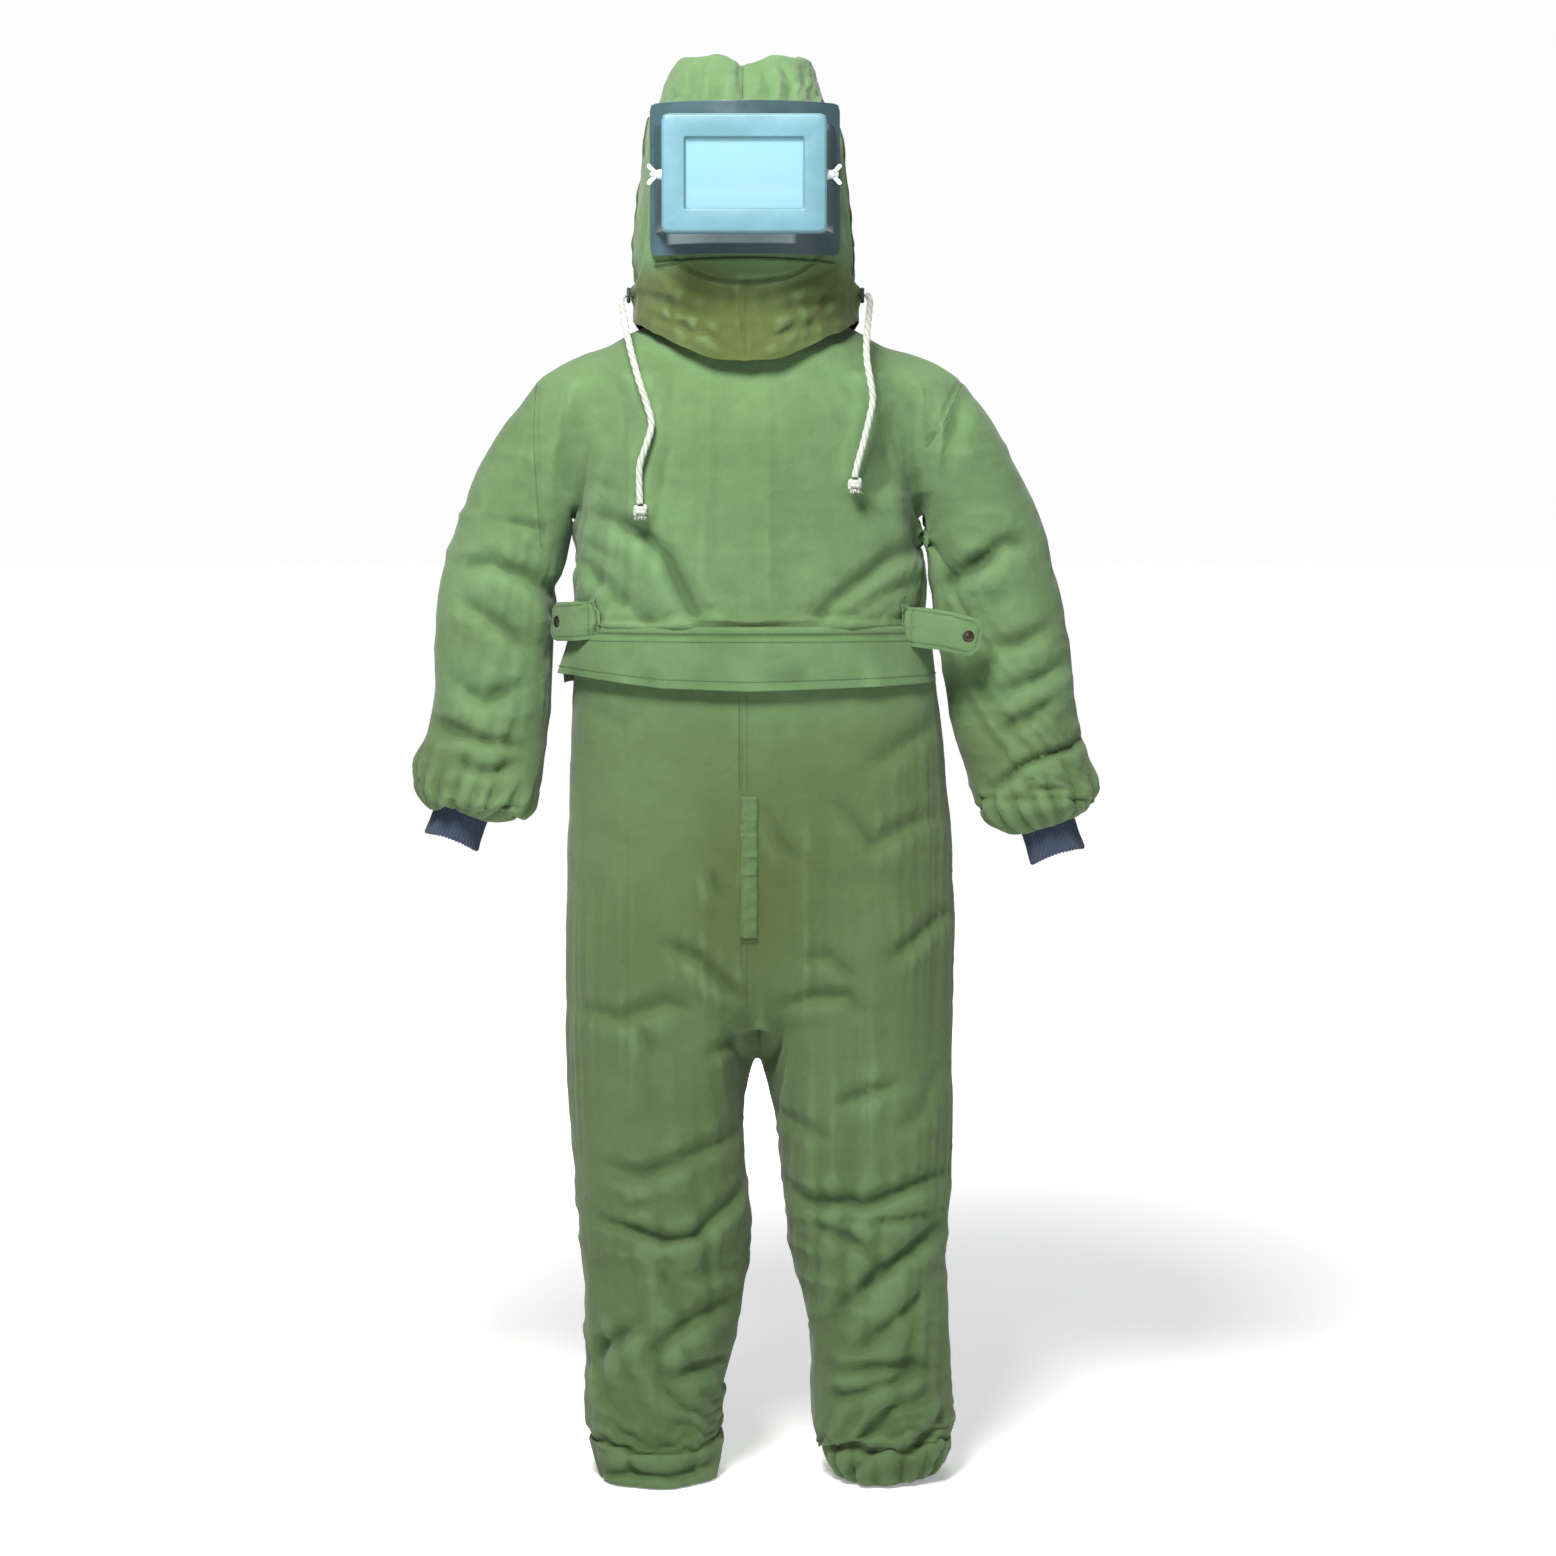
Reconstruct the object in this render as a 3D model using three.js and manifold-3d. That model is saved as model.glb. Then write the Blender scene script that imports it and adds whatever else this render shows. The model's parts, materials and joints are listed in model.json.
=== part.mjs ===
// A one-piece protective canvas suit: a hood with a bolted window, a jacket half with gathered sleeves,
// and a trouser half with a front placket. All sizes are in millimetres. Heights are counted from the
// soles of the trouser legs; the finished group is lowered so that its origin lies between the wearer's
// shoulders. +Z is up, the suit faces -Y, and the wearer's right side is at -X.
import * as THREE from "three";
import { mergeVertices } from "three/addons/utils/BufferGeometryUtils.js";
import Module from "manifold-3d";

const wasm = await Module();
wasm.setup();

// ---------------------------------------------------------------- driving sizes
const shinLength = 340; // sole to knee
const thighLength = 270; // knee to crotch
const riseLength = 465; // crotch to the waist seam
const bodiceLength = 375; // waist seam to the shoulder yoke
const hoodHeight = 345; // shoulder yoke to the crown
const hemDepth = 63; // the band that hangs below the waist seam
const chestHalfWidth = 209;
const chestHalfDepth = 126;
const hipHalfWidth = 238;
const hipHalfDepth = 124;
const legScale = 1; // share of the legs' widths
const sleeveScale = 1; // share of the sleeves' widths
const cloth = 3; // thickness of the lined canvas, with its seam allowance
const seamGap = 0.8; // between two pieces that are sewn together
const jointGap = 3; // between two pieces that move on each other
const ringSides = 18;

const bezelWidth = 190;
const bezelHeight = 134;
const bezelPlate = 3.6;
const bezelLip = 22; // depth of the bezel's side walls
const sightWidth = 145;
const sightHeight = 88;
const glassOverlap = 11; // how far the glass runs behind the bezel on each side
const glassThickness = 3;
const sealThickness = 2;
const shellWall = 2.4;
const fitGap = 0.4; // between rigid pieces that touch
const flangeWidth = 226;
const flangeHeight = 182;
const flangeBow = 46; // how far the middle of the flange stands before its edges
const windowHeight = 1630; // middle of the sight, above the soles
const windowFront = 206; // front face of the bezel, before the suit's middle plane
const flangeFront = 154; // middle of the flange, before the suit's middle plane
const clampRadius = 3; // bolt for a 6 mm wing nut
const clampSetback = 18.5; // bolt axis behind the bezel's front face
const bezelTravel = 30;

const cordDiameter = 8;
const cuffLength = 56;
const cuffRadius = 34;

const kneeHeight = shinLength;
const crotchHeight = kneeHeight + thighLength;
const waistHeight = crotchHeight + riseLength;
const yokeHeight = waistHeight + bodiceLength;
const crownHeight = yokeHeight + hoodHeight;
const neckPivotHeight = yokeHeight + 50;
const hipPivotHeight = crotchHeight + 20;
const hipReach = 138; // radius inside which the thigh turns in the seat
const kneeReach = 122;
const shoulderTurn = 50; // how far a sleeve swings up, in degrees
const windowDrop = yokeHeight - 1450; // the window follows the yoke

// ---------------------------------------------------------------- materials
const finish = (color, roughness, metalness = 0) =>
  new THREE.MeshStandardMaterial({ color, roughness, metalness });
const canvas = finish(0x74925f, 0.85);
const knit = finish(0x323e50, 0.95);
const elastic = finish(0x1d1f20, 0.8);
const teal = finish(0x44606c, 0.25);
const paleTeal = finish(0x7cc4d8, 0.3);
const tintedGlass = finish(0xb2e8f6, 0.05);
const rubber = finish(0x202224, 0.7);
const zinc = finish(0xc4c8cc, 0.35, 0.9);
const darkBrass = finish(0x3b3a34, 0.4, 0.8);
const cotton = finish(0xdfe6dc, 0.9);

// ---------------------------------------------------------------- solids
const suit = new THREE.Group();
suit.position.z = -yokeHeight;

// A closed geometry as a solid, turned so that its faces point outwards.
function solid(geometry) {
  const bare = geometry.clone();
  bare.deleteAttribute("normal");
  bare.deleteAttribute("uv");
  const merged = mergeVertices(bare, 1e-3);
  const corners = [];
  const index = merged.index.array;
  for (let i = 0; i < index.length; i += 3) {
    const [a, b, c] = [index[i], index[i + 1], index[i + 2]];
    if (a !== b && b !== c && a !== c) corners.push(a, b, c);
  }
  const made = (list) =>
    new wasm.Manifold(
      new wasm.Mesh({
        numProp: 3,
        vertProperties: merged.attributes.position.array,
        triVerts: new Uint32Array(list),
      }),
    );
  const first = made(corners);
  return first.volume() > 0 ? first : made(corners.reverse());
}

function geometryOf(shape) {
  const mesh = shape.getMesh();
  const places = new Float32Array(mesh.numVert * 3);
  for (let i = 0; i < mesh.numVert; i++) {
    const at = i * mesh.numProp;
    places.set(mesh.vertProperties.subarray(at, at + 3), i * 3);
  }
  const geometry = new THREE.BufferGeometry();
  geometry.setAttribute("position", new THREE.BufferAttribute(places, 3));
  geometry.setIndex(new THREE.BufferAttribute(mesh.triVerts, 1));
  geometry.computeVertexNormals();
  return geometry;
}

// Adds a piece to the suit under its own name, and keeps only its largest body.
function addPiece(name, shape, material) {
  const bodies = shape.decompose().sort((a, b) => b.volume() - a.volume());
  const mesh = new THREE.Mesh(geometryOf(bodies[0]), material);
  mesh.name = name;
  suit.add(mesh);
}

function block([x0, x1], [y0, y1], [z0, z1]) {
  const box = new THREE.BoxGeometry(x1 - x0, y1 - y0, z1 - z0);
  return solid(box.translate((x0 + x1) / 2, (y0 + y1) / 2, (z0 + z1) / 2));
}

const far = 1200; // reaches past every piece
const above = (z) => block([-far, far], [-far, far], [z, z + 2 * far]);
const below = (z) => block([-far, far], [-far, far], [z - 2 * far, z]);
const before = (y) => block([-far, far], [y - far, y], [-far, 2 * far]);
const behind = (y) => block([-far, far], [y, y + far], [-far, 2 * far]);
const leftOf = (x) => block([x, x + far], [-far, far], [-far, 2 * far]);
const rightOf = (x) => block([x - far, x], [-far, far], [-far, 2 * far]);

// A round bar through a point, along "x", "y" or "z".
function bar(axis, [x, y, z], radius, length, sides = 40) {
  const cylinder = new THREE.CylinderGeometry(radius, radius, length, sides);
  if (axis === "x") cylinder.rotateZ(Math.PI / 2);
  if (axis === "z") cylinder.rotateX(Math.PI / 2);
  return solid(cylinder.translate(x, y, z));
}

// ---------------------------------------------------------------- cloth tubes
// A ring is [height, x, y, half width, half depth, lean]. Lean tips the ring's plane about Y, in
// degrees; a leaning ring is square to a sleeve that runs outwards as it goes down.
const ringAt = (rings, share) => {
  const curve = (a, b, c) =>
    new THREE.CatmullRomCurve3(
      rings.map((r) => new THREE.Vector3(r[a], r[b], r[c] ?? 0)),
    ).getPoint(share);
  const place = curve(1, 2, 0);
  const size = curve(3, 4, 5);
  return { place, size };
};

// The shell of cloth through the rings, open at both ends, or closed over the last ring if capped.
function tube(rings, { grow = 0, wall = cloth, square = 2.3, capped = false, steps = 1, sides = ringSides } = {}) {
  const count = (rings.length - 1) * steps;
  const outer = [];
  const inner = [];
  for (let i = 0; i <= count; i++) {
    outer.push(new THREE.Vector2(2, i / count));
    inner.unshift(new THREE.Vector2(1, i / count));
  }
  const profile = capped
    ? [new THREE.Vector2(0, 1), ...inner, ...outer, new THREE.Vector2(0, 2)]
    : [...outer, ...inner, outer[0].clone()];
  const lathe = new THREE.LatheGeometry(profile, sides);
  const places = lathe.attributes.position;
  const known = outer.map((p) => ringAt(rings, p.y));
  for (let i = 0; i < places.count; i++) {
    const [x, share, z] = [places.getX(i), places.getY(i), places.getZ(i)];
    const reach = Math.hypot(x, z);
    const { place, size } = known[Math.round(Math.min(share, 1) * count)];
    const inside = reach < 0.5 ? share < 1.5 : reach < 1.5;
    const step = inside ? -wall : 0;
    const turn = Math.atan2(z, x);
    const bend = (value) => Math.sign(value) * Math.abs(value) ** (2 / square);
    const u = reach < 0.5 ? 0 : (size.x + grow + step) * bend(Math.cos(turn));
    const v = reach < 0.5 ? 0 : (size.y + grow + step) * bend(Math.sin(turn));
    const lean = THREE.MathUtils.degToRad(size.z);
    const sink = capped && inside && share > 0.999 ? wall : 0;
    places.setXYZ(
      i,
      place.x + u * Math.cos(lean),
      place.y + v,
      place.z - u * Math.sin(lean) - sink,
    );
  }
  return solid(lathe);
}

// Rings whose heights and widths follow a length and a scale.
const scaled = (rings, length, width, depth = width) =>
  rings.map(([h, x, y, w, d, lean = 0]) => [h * length, x, y, w * width, d * depth, lean]);

// ---------------------------------------------------------------- jacket
const bodiceRings = [
  [0, 6, 0, 1.06, 1.02],
  [0.2, 3, 0, 1.02, 1.02],
  [0.42, 0, 0, 0.99, 1.02],
  [0.64, 0, 0, 0.98, 1.0],
  [0.84, 0, 2, 0.99, 0.96],
  [0.93, 0, 4, 0.93, 0.88],
  [1.0, 0, 6, 0.78, 0.78],
  [1.06, 0, 6, 0.5, 0.62],
].map(([h, x, y, w, d]) => [waistHeight + h * bodiceLength, x, y, w * chestHalfWidth, d * chestHalfDepth]);

const shoulderHinge = [chestHalfWidth - 44, yokeHeight - 5]; // on top of the shoulder
const shoulderHeight = yokeHeight - 82;
const neckHalfWidth = 138;
const neckHalfDepth = 126;

function buildBodice() {
  const neckRings = [
    [yokeHeight - 60, 0, 0, neckHalfWidth + 3, neckHalfDepth + 3],
    [yokeHeight + 90, 0, 0, neckHalfWidth + 3, neckHalfDepth + 3],
  ];
  const neckPlug = tube(neckRings, { wall: neckHalfDepth, square: 2.5 });
  let shell = tube(bodiceRings).subtract(neckPlug);
  shell = shell.subtract(below(waistHeight + seamGap));
  for (const side of [-1, 1]) shell = shell.subtract(armhole(side));
  addPiece("bodice_front", shell.intersect(before(-seamGap / 2)), canvas);
  addPiece("bodice_back", shell.intersect(behind(seamGap / 2)), canvas);

  const hemRings = [
    [waistHeight - hemDepth, 4, 0, chestHalfWidth + 21, chestHalfDepth + 18],
    [waistHeight - hemDepth / 2, 4, 0, chestHalfWidth + 18, chestHalfDepth + 11],
    [waistHeight, 5, 0, chestHalfWidth + 15, chestHalfDepth + 5],
  ];
  const hem = tube(hemRings);
  addPiece("jacket_hem_front", hem.intersect(before(-seamGap / 2)), canvas);
  addPiece("jacket_hem_back", hem.intersect(behind(seamGap / 2)), canvas);
}

// ---------------------------------------------------------------- trousers
const seatRings = [
  [0.06, 14, 4, 1.0, 1.0],
  [0.3, 15, 4, 1.01, 1.03],
  [0.56, 15, 3, 0.98, 1.01],
  [0.82, 11, 1, 0.93, 0.99],
  [0.97, 6, 0, 0.89, 0.95],
].map(([h, x, y, w, d]) => [crotchHeight + h * riseLength, x, y, w * hipHalfWidth, d * hipHalfDepth]);

const legShare = crotchHeight; // the legs' rings are shares of the inside leg
const rightLegRings = [
  [0.02, -112, 0, 74, 84],
  [0.115, -115, 0, 84, 88],
  [0.26, -117, 0, 89, 90],
  [0.4, -105, 0, 92, 92],
  [0.557, -102, 2, 103, 98],
  [0.7, -101, 2, 107, 102],
  [0.9, -106, 2, 115, 112],
  [1.0, -107, 4, 116, 118],
  [1.26, -109, 4, 116, 122],
];
const leftLegRings = [
  [0.02, 178, 0, 62, 80],
  [0.115, 176, 0, 86, 88],
  [0.3, 167, 0, 86, 88],
  [0.4, 160, 0, 89, 90],
  [0.557, 149, 2, 99, 98],
  [0.7, 147, 2, 110, 102],
  [0.9, 136, 2, 115, 112],
  [1.0, 133, 4, 114, 118],
  [1.26, 132, 4, 117, 122],
];
const ankleHeight = 0.115 * legShare;
const crotchX = 12;
const centreSeamX = -3; // the seam down the middle of the front and the seat

function buildTrousers() {
  const seat = tube(seatRings).subtract(bar("x", [0, 4, hipPivotHeight], hipReach, 2 * far));
  const front = seat.intersect(before(-seamGap / 2));
  const back = seat.intersect(behind(seamGap / 2));
  addPiece("trouser_front_right", front.intersect(rightOf(centreSeamX - seamGap / 2)), canvas);
  addPiece("trouser_front_left", front.intersect(leftOf(centreSeamX + seamGap / 2)), canvas);
  addPiece("seat_right", back.intersect(rightOf(centreSeamX - seamGap / 2)), canvas);
  addPiece("seat_left", back.intersect(leftOf(centreSeamX + seamGap / 2)), canvas);

  const placketWidth = 22;
  const placketLength = 182;
  const placketTop = crotchHeight + 276;
  const placket = tube(seatRings, { grow: cloth + seamGap, wall: cloth })
    .intersect(before(0))
    .intersect(
      block(
        [centreSeamX - 3, centreSeamX - 3 + placketWidth],
        [-far, far],
        [placketTop - placketLength, placketTop],
      ),
    )
    .intersect(above(hipPivotHeight + hipReach - 40));
  addPiece("fly_placket", placket, canvas);
}

function buildLeg(name, rings, inner) {
  const all = scaled(rings, legShare, legScale);
  const whole = tube(all);
  const hipAxis = [0, 4, hipPivotHeight];
  const kneeAxis = [0, 2, kneeHeight];
  const turnsInHip = bar("x", hipAxis, hipReach - jointGap, 2 * far);
  const turnsInKnee = bar("x", kneeAxis, kneeReach - jointGap, 2 * far);
  const kneeHollow = bar("x", kneeAxis, kneeReach, 2 * far);

  // The two legs part at the middle of the crotch.
  const middle = inner < 0 ? leftOf(crotchX - jointGap / 2) : rightOf(crotchX + jointGap / 2);
  const thigh = whole
    .intersect(above(kneeHeight))
    .intersect(turnsInHip.add(below(hipPivotHeight)))
    .subtract(kneeHollow)
    .subtract(middle);
  addPiece(`${name}_thigh_front`, thigh.intersect(before(4 - seamGap / 2)), canvas);
  addPiece(`${name}_thigh_back`, thigh.intersect(behind(4 + seamGap / 2)), canvas);

  const shin = whole
    .intersect(turnsInKnee.add(below(kneeHeight)))
    .intersect(above(ankleHeight + seamGap));
  addPiece(`${name}_shin_front`, shin.intersect(before(-seamGap / 2)), canvas);
  addPiece(`${name}_shin_back`, shin.intersect(behind(seamGap / 2)), canvas);

  addPiece(`${name}_ankle_hem`, whole.intersect(below(ankleHeight)), canvas);
  const band = all[0];
  const elasticRings = [
    [band[0] + 4, band[1], band[2], band[3] - cloth - 1, band[4] - cloth - 1],
    [band[0] + 16, band[1], band[2], band[3] - cloth - 1, band[4] - cloth - 1],
  ];
  addPiece(`${name}_ankle_elastic`, tube(elasticRings, { wall: 2 }), elastic);
}

// ---------------------------------------------------------------- sleeves
// Heights below are counted down from the middle of the armhole, as shares of the sleeve's drop.
const sleeveDrop = 530;
const rightSleeveRings = [
  [-0.032, -166, 0, 68, 66, 78],
  [-0.012, -207, 0, 70, 67, 58],
  [0.085, -248, 2, 68, 66, 38],
  [0.2, -280, 4, 64, 64, 25],
  [0.326, -298, 6, 68, 64, 16],
  [0.445, -310, 8, 70, 65, 10],
  [0.56, -313, 6, 72, 65, 8],
  [0.66, -313, 2, 73, 65, 8],
  [0.74, -320, -4, 75, 65, 12],
  [0.823, -327, -10, 74, 66, 16],
  [0.893, -341, -16, 76, 66, 18],
  [0.96, -354, -20, cuffRadius + 18, cuffRadius + 16, 20],
];
const leftSleeveRings = [
  [-0.036, 166, 0, 68, 66, -78],
  [-0.014, 208, 0, 70, 67, -58],
  [0.08, 250, 2, 68, 66, -40],
  [0.22, 286, 4, 66, 64, -28],
  [0.36, 306, 6, 72, 65, -18],
  [0.49, 318, 8, 74, 65, -12],
  [0.6, 326, 6, 76, 65, -10],
  [0.747, 338, 0, 75, 66, -10],
  [0.87, 359, -8, 72, 66, -14],
  [0.935, 371, -14, 66, 64, -16],
  [0.995, 377, -18, cuffRadius + 16, cuffRadius + 14, -18],
];

// A sleeve's rings in place.
function sleeveRings(side) {
  return (side < 0 ? rightSleeveRings : leftSleeveRings).map(([h, x, y, w, d, lean]) => [
    shoulderHeight - h * sleeveDrop,
    x + side * (chestHalfWidth - 209 + w * (sleeveScale - 1)),
    y,
    w * sleeveScale,
    d * sleeveScale,
    lean,
  ]);
}

// The room that a sleeve takes as it swings up about the top of the shoulder.
function armhole(side) {
  const rings = sleeveRings(side).slice(0, 6);
  const [first, second] = rings;
  const within = first.map((value, i) => (i < 2 ? value - 0.12 * (second[i] - value) : value));
  const plug = tube([within, ...rings], { grow: jointGap, wall: 60, square: 2.1 });
  const [x, z] = [side * shoulderHinge[0], shoulderHinge[1]];
  let room = plug;
  for (let turn = 25; turn <= shoulderTurn; turn += 25) {
    const swung = plug.translate([-x, 0, -z]).rotate([0, side * -turn, 0]).translate([x, 0, z]);
    room = room.add(swung);
  }
  return room;
}

function buildSleeve(side, gatherStart) {
  const name = side < 0 ? "right" : "left";
  const all = sleeveRings(side);
  const whole = tube(all, { square: 2.1 });
  const gatherHeight = shoulderHeight - gatherStart * sleeveDrop;
  const sleeve = whole.intersect(above(gatherHeight + seamGap));
  addPiece(`${name}_sleeve_front`, sleeve.intersect(before(-seamGap / 2)), canvas);
  addPiece(`${name}_sleeve_back`, sleeve.intersect(behind(seamGap / 2)), canvas);
  addPiece(`${name}_sleeve_gather`, whole.intersect(below(gatherHeight)), canvas);

  const [endHeight, endX, endY, , , lean] = all.at(-1);
  const slope = Math.tan(THREE.MathUtils.degToRad(lean));
  const alongCuff = (drop, radius) => [
    endHeight - drop,
    endX - drop * slope,
    endY - drop * 0.06,
    radius,
    radius - 4,
    lean,
  ];
  addPiece(
    `${name}_wrist_elastic`,
    tube([alongCuff(-12, cuffRadius + 8), alongCuff(-2, cuffRadius + 8)], { wall: 2.5, square: 2 }),
    elastic,
  );
  addPiece(
    `${name}_knit_cuff`,
    tube(
      [
        alongCuff(-16, cuffRadius + 2),
        alongCuff(-16 + cuffLength / 2, cuffRadius),
        alongCuff(-16 + cuffLength, cuffRadius + 1),
      ],
      { square: 2 },
    ),
    knit,
  );
}

// ---------------------------------------------------------------- hood
const hoodRings = [
  [0.085, 0, 0, 130, 114],
  [0.19, 0, -2, 131, 117],
  [0.28, -2, -4, 139, 130],
  [0.42, -3, -6, 137, 138],
  [0.58, -2, -6, 131, 138],
  [0.72, -2, -4, 124, 133],
  [0.84, -2, 1, 113, 120],
  [0.94, 0, 6, 98, 98],
  [1.0, 0, 6, 84, 78],
].map(([h, x, y, w, d]) => [yokeHeight + h * hoodHeight, x, y, w, d]);

function buildHood() {
  const whole = tube(hoodRings, { capped: true, square: 2.5, steps: 1 });
  const windowCut = block(
    [-sightWidth / 2 - 22, sightWidth / 2 + 22],
    [-far, 0],
    [windowHeight + windowDrop - sightHeight / 2 - 26, windowHeight + windowDrop + sightHeight / 2 + 22],
  );
  const crownLine = yokeHeight + 0.84 * hoodHeight;
  const chinAt = [0, -neckHalfDepth, yokeHeight + 0.4 * hoodHeight];
  const chin = bar("y", chinAt, 92, 200, 48).intersect(before(-20));
  const chinOuter = bar("y", chinAt, 92 + seamGap, 200, 48).intersect(before(-20));
  const face = whole.intersect(before(-seamGap / 2)).intersect(below(crownLine)).subtract(windowCut);
  addPiece("hood_front", face.subtract(chinOuter.intersect(below(chinAt[2] - 12))), canvas);
  addPiece("chin_panel", face.intersect(chin).intersect(below(chinAt[2] - 12 - seamGap)), canvas);
  addPiece("hood_back", whole.intersect(behind(seamGap / 2)).intersect(below(crownLine)), canvas);
  addPiece("hood_crown", whole.intersect(above(crownLine + seamGap)), canvas);

  const collarRings = [
    [yokeHeight - 38, 0, 0, neckHalfWidth, neckHalfDepth],
    [yokeHeight, 0, 0, neckHalfWidth, neckHalfDepth],
    [yokeHeight + 38, 0, 0, neckHalfWidth, neckHalfDepth],
  ];
  addPiece("neck_collar", tube(collarRings, { square: 2.5 }), canvas);
}

// ---------------------------------------------------------------- window
const sightZ = windowHeight + windowDrop;

// A rounded rectangle in the XZ plane, with an optional opening, from its front face backwards.
function framePlate(width, height, corner, front, thickness, opening) {
  const outline = (w, h, r) => {
    const shape = new THREE.Shape();
    shape.absarc(w / 2 - r, h / 2 - r, r, 0, Math.PI / 2);
    shape.absarc(-w / 2 + r, h / 2 - r, r, Math.PI / 2, Math.PI);
    shape.absarc(-w / 2 + r, -h / 2 + r, r, Math.PI, 1.5 * Math.PI);
    shape.absarc(w / 2 - r, -h / 2 + r, r, 1.5 * Math.PI, 2 * Math.PI);
    shape.closePath();
    return shape;
  };
  const shape = outline(width, height, corner);
  if (opening) shape.holes.push(outline(opening[0], opening[1], opening[2]));
  const plate = new THREE.ExtrudeGeometry(shape, { depth: thickness, bevelEnabled: false, curveSegments: 2 });
  return solid(plate.rotateX(Math.PI / 2).translate(0, front + thickness, sightZ));
}

// The solid between two rectangles, one behind the other.
function frustum(front, frontSize, back, backSize) {
  const box = new THREE.BoxGeometry(2, 2, 2);
  const places = box.attributes.position;
  for (let i = 0; i < places.count; i++) {
    const atBack = places.getY(i) > 0;
    const [width, height] = atBack ? backSize : frontSize;
    places.setXYZ(
      i,
      (places.getX(i) * width) / 2,
      atBack ? back : front,
      sightZ + (places.getZ(i) * height) / 2,
    );
  }
  return solid(box);
}

const sealFront = -windowFront + bezelPlate + glassThickness + 2 * fitGap;
const housingFront = sealFront + sealThickness + fitGap;
const clampY = -windowFront + clampSetback;
const lipInside = 3;
const housingWidth = bezelWidth - 2 * lipInside - 2 * fitGap;
const housingHeight = bezelHeight - 2 * lipInside - 2 * fitGap;
const neckEnd = -windowFront + bezelLip + 2; // where the housing starts to flare
const bolt = (side, radius, length, centre) => bar("x", [side * centre, clampY, sightZ], radius, length, 16);

function buildWindow() {
  const bow = flangeBow;
  const half = flangeWidth / 2;
  const round = (half ** 2 + bow ** 2) / (2 * bow);
  const sweep = Math.asin(half / round);
  const centreY = -flangeFront + round;
  const sheet = new THREE.Shape();
  sheet.absarc(0, 0, round, -Math.PI / 2 - sweep, -Math.PI / 2 + sweep);
  sheet.absarc(0, 0, round - shellWall, -Math.PI / 2 + sweep, -Math.PI / 2 - sweep, true);
  sheet.closePath();
  const flange = solid(
    new THREE.ExtrudeGeometry(sheet, { depth: flangeHeight, bevelEnabled: false, curveSegments: 8 }).translate(
      0,
      centreY,
      sightZ - flangeHeight / 2,
    ),
  );
  const flare = 17;
  const rear = -flangeFront + bow;
  const grown = (extra, add) => [housingWidth + extra + add, housingHeight + extra + add];
  const outer = frustum(housingFront, grown(0, 0), neckEnd, grown(0, 0)).add(
    frustum(neckEnd, grown(0, 0), rear, grown(2 * flare, 0)),
  );
  const wall = -2 * shellWall;
  const inner = frustum(housingFront + shellWall, grown(0, wall), neckEnd, grown(0, wall)).add(
    frustum(neckEnd - 0.01, grown(0, wall), rear + 6, grown(2 * flare + 3, wall)),
  );
  const sight = framePlate(sightWidth, sightHeight, 3, -windowFront, 40);
  const behindFlange = bar("z", [0, centreY, sightZ], round - shellWall, 400, 64);
  let shell = outer.subtract(behindFlange).add(flange).subtract(inner).subtract(sight);
  let bezel = framePlate(bezelWidth, bezelHeight, 5, -windowFront, bezelPlate, [sightWidth, sightHeight, 3]).add(
    framePlate(bezelWidth, bezelHeight, 5, -windowFront, bezelLip, [
      bezelWidth - 2 * lipInside,
      bezelHeight - 2 * lipInside,
      1,
    ]),
  );
  const slot = clampRadius + fitGap;
  for (const side of [-1, 1]) {
    shell = shell.subtract(bolt(side, clampRadius + fitGap, 40, bezelWidth / 2));
    const slotBox = block(
      [side * (bezelWidth / 2) - 12, side * (bezelWidth / 2) + 12],
      [clampY, clampY + far],
      [sightZ - slot, sightZ + slot],
    );
    bezel = bezel.subtract(bolt(side, slot, 24, bezelWidth / 2)).subtract(slotBox);
  }
  addPiece("visor_shell", shell, teal);
  addPiece("window_bezel", bezel, paleTeal);

  const glassSize = [sightWidth + 2 * glassOverlap, sightHeight + 2 * glassOverlap];
  addPiece(
    "window_glass",
    framePlate(glassSize[0], glassSize[1], 3, -windowFront + bezelPlate + fitGap, glassThickness),
    tintedGlass,
  );
  addPiece(
    "glass_seal",
    framePlate(glassSize[0], glassSize[1], 3, sealFront, sealThickness, [sightWidth + 2, sightHeight + 2, 3]),
    rubber,
  );
  for (const side of [-1, 1]) buildClamp(side);
}

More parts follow.
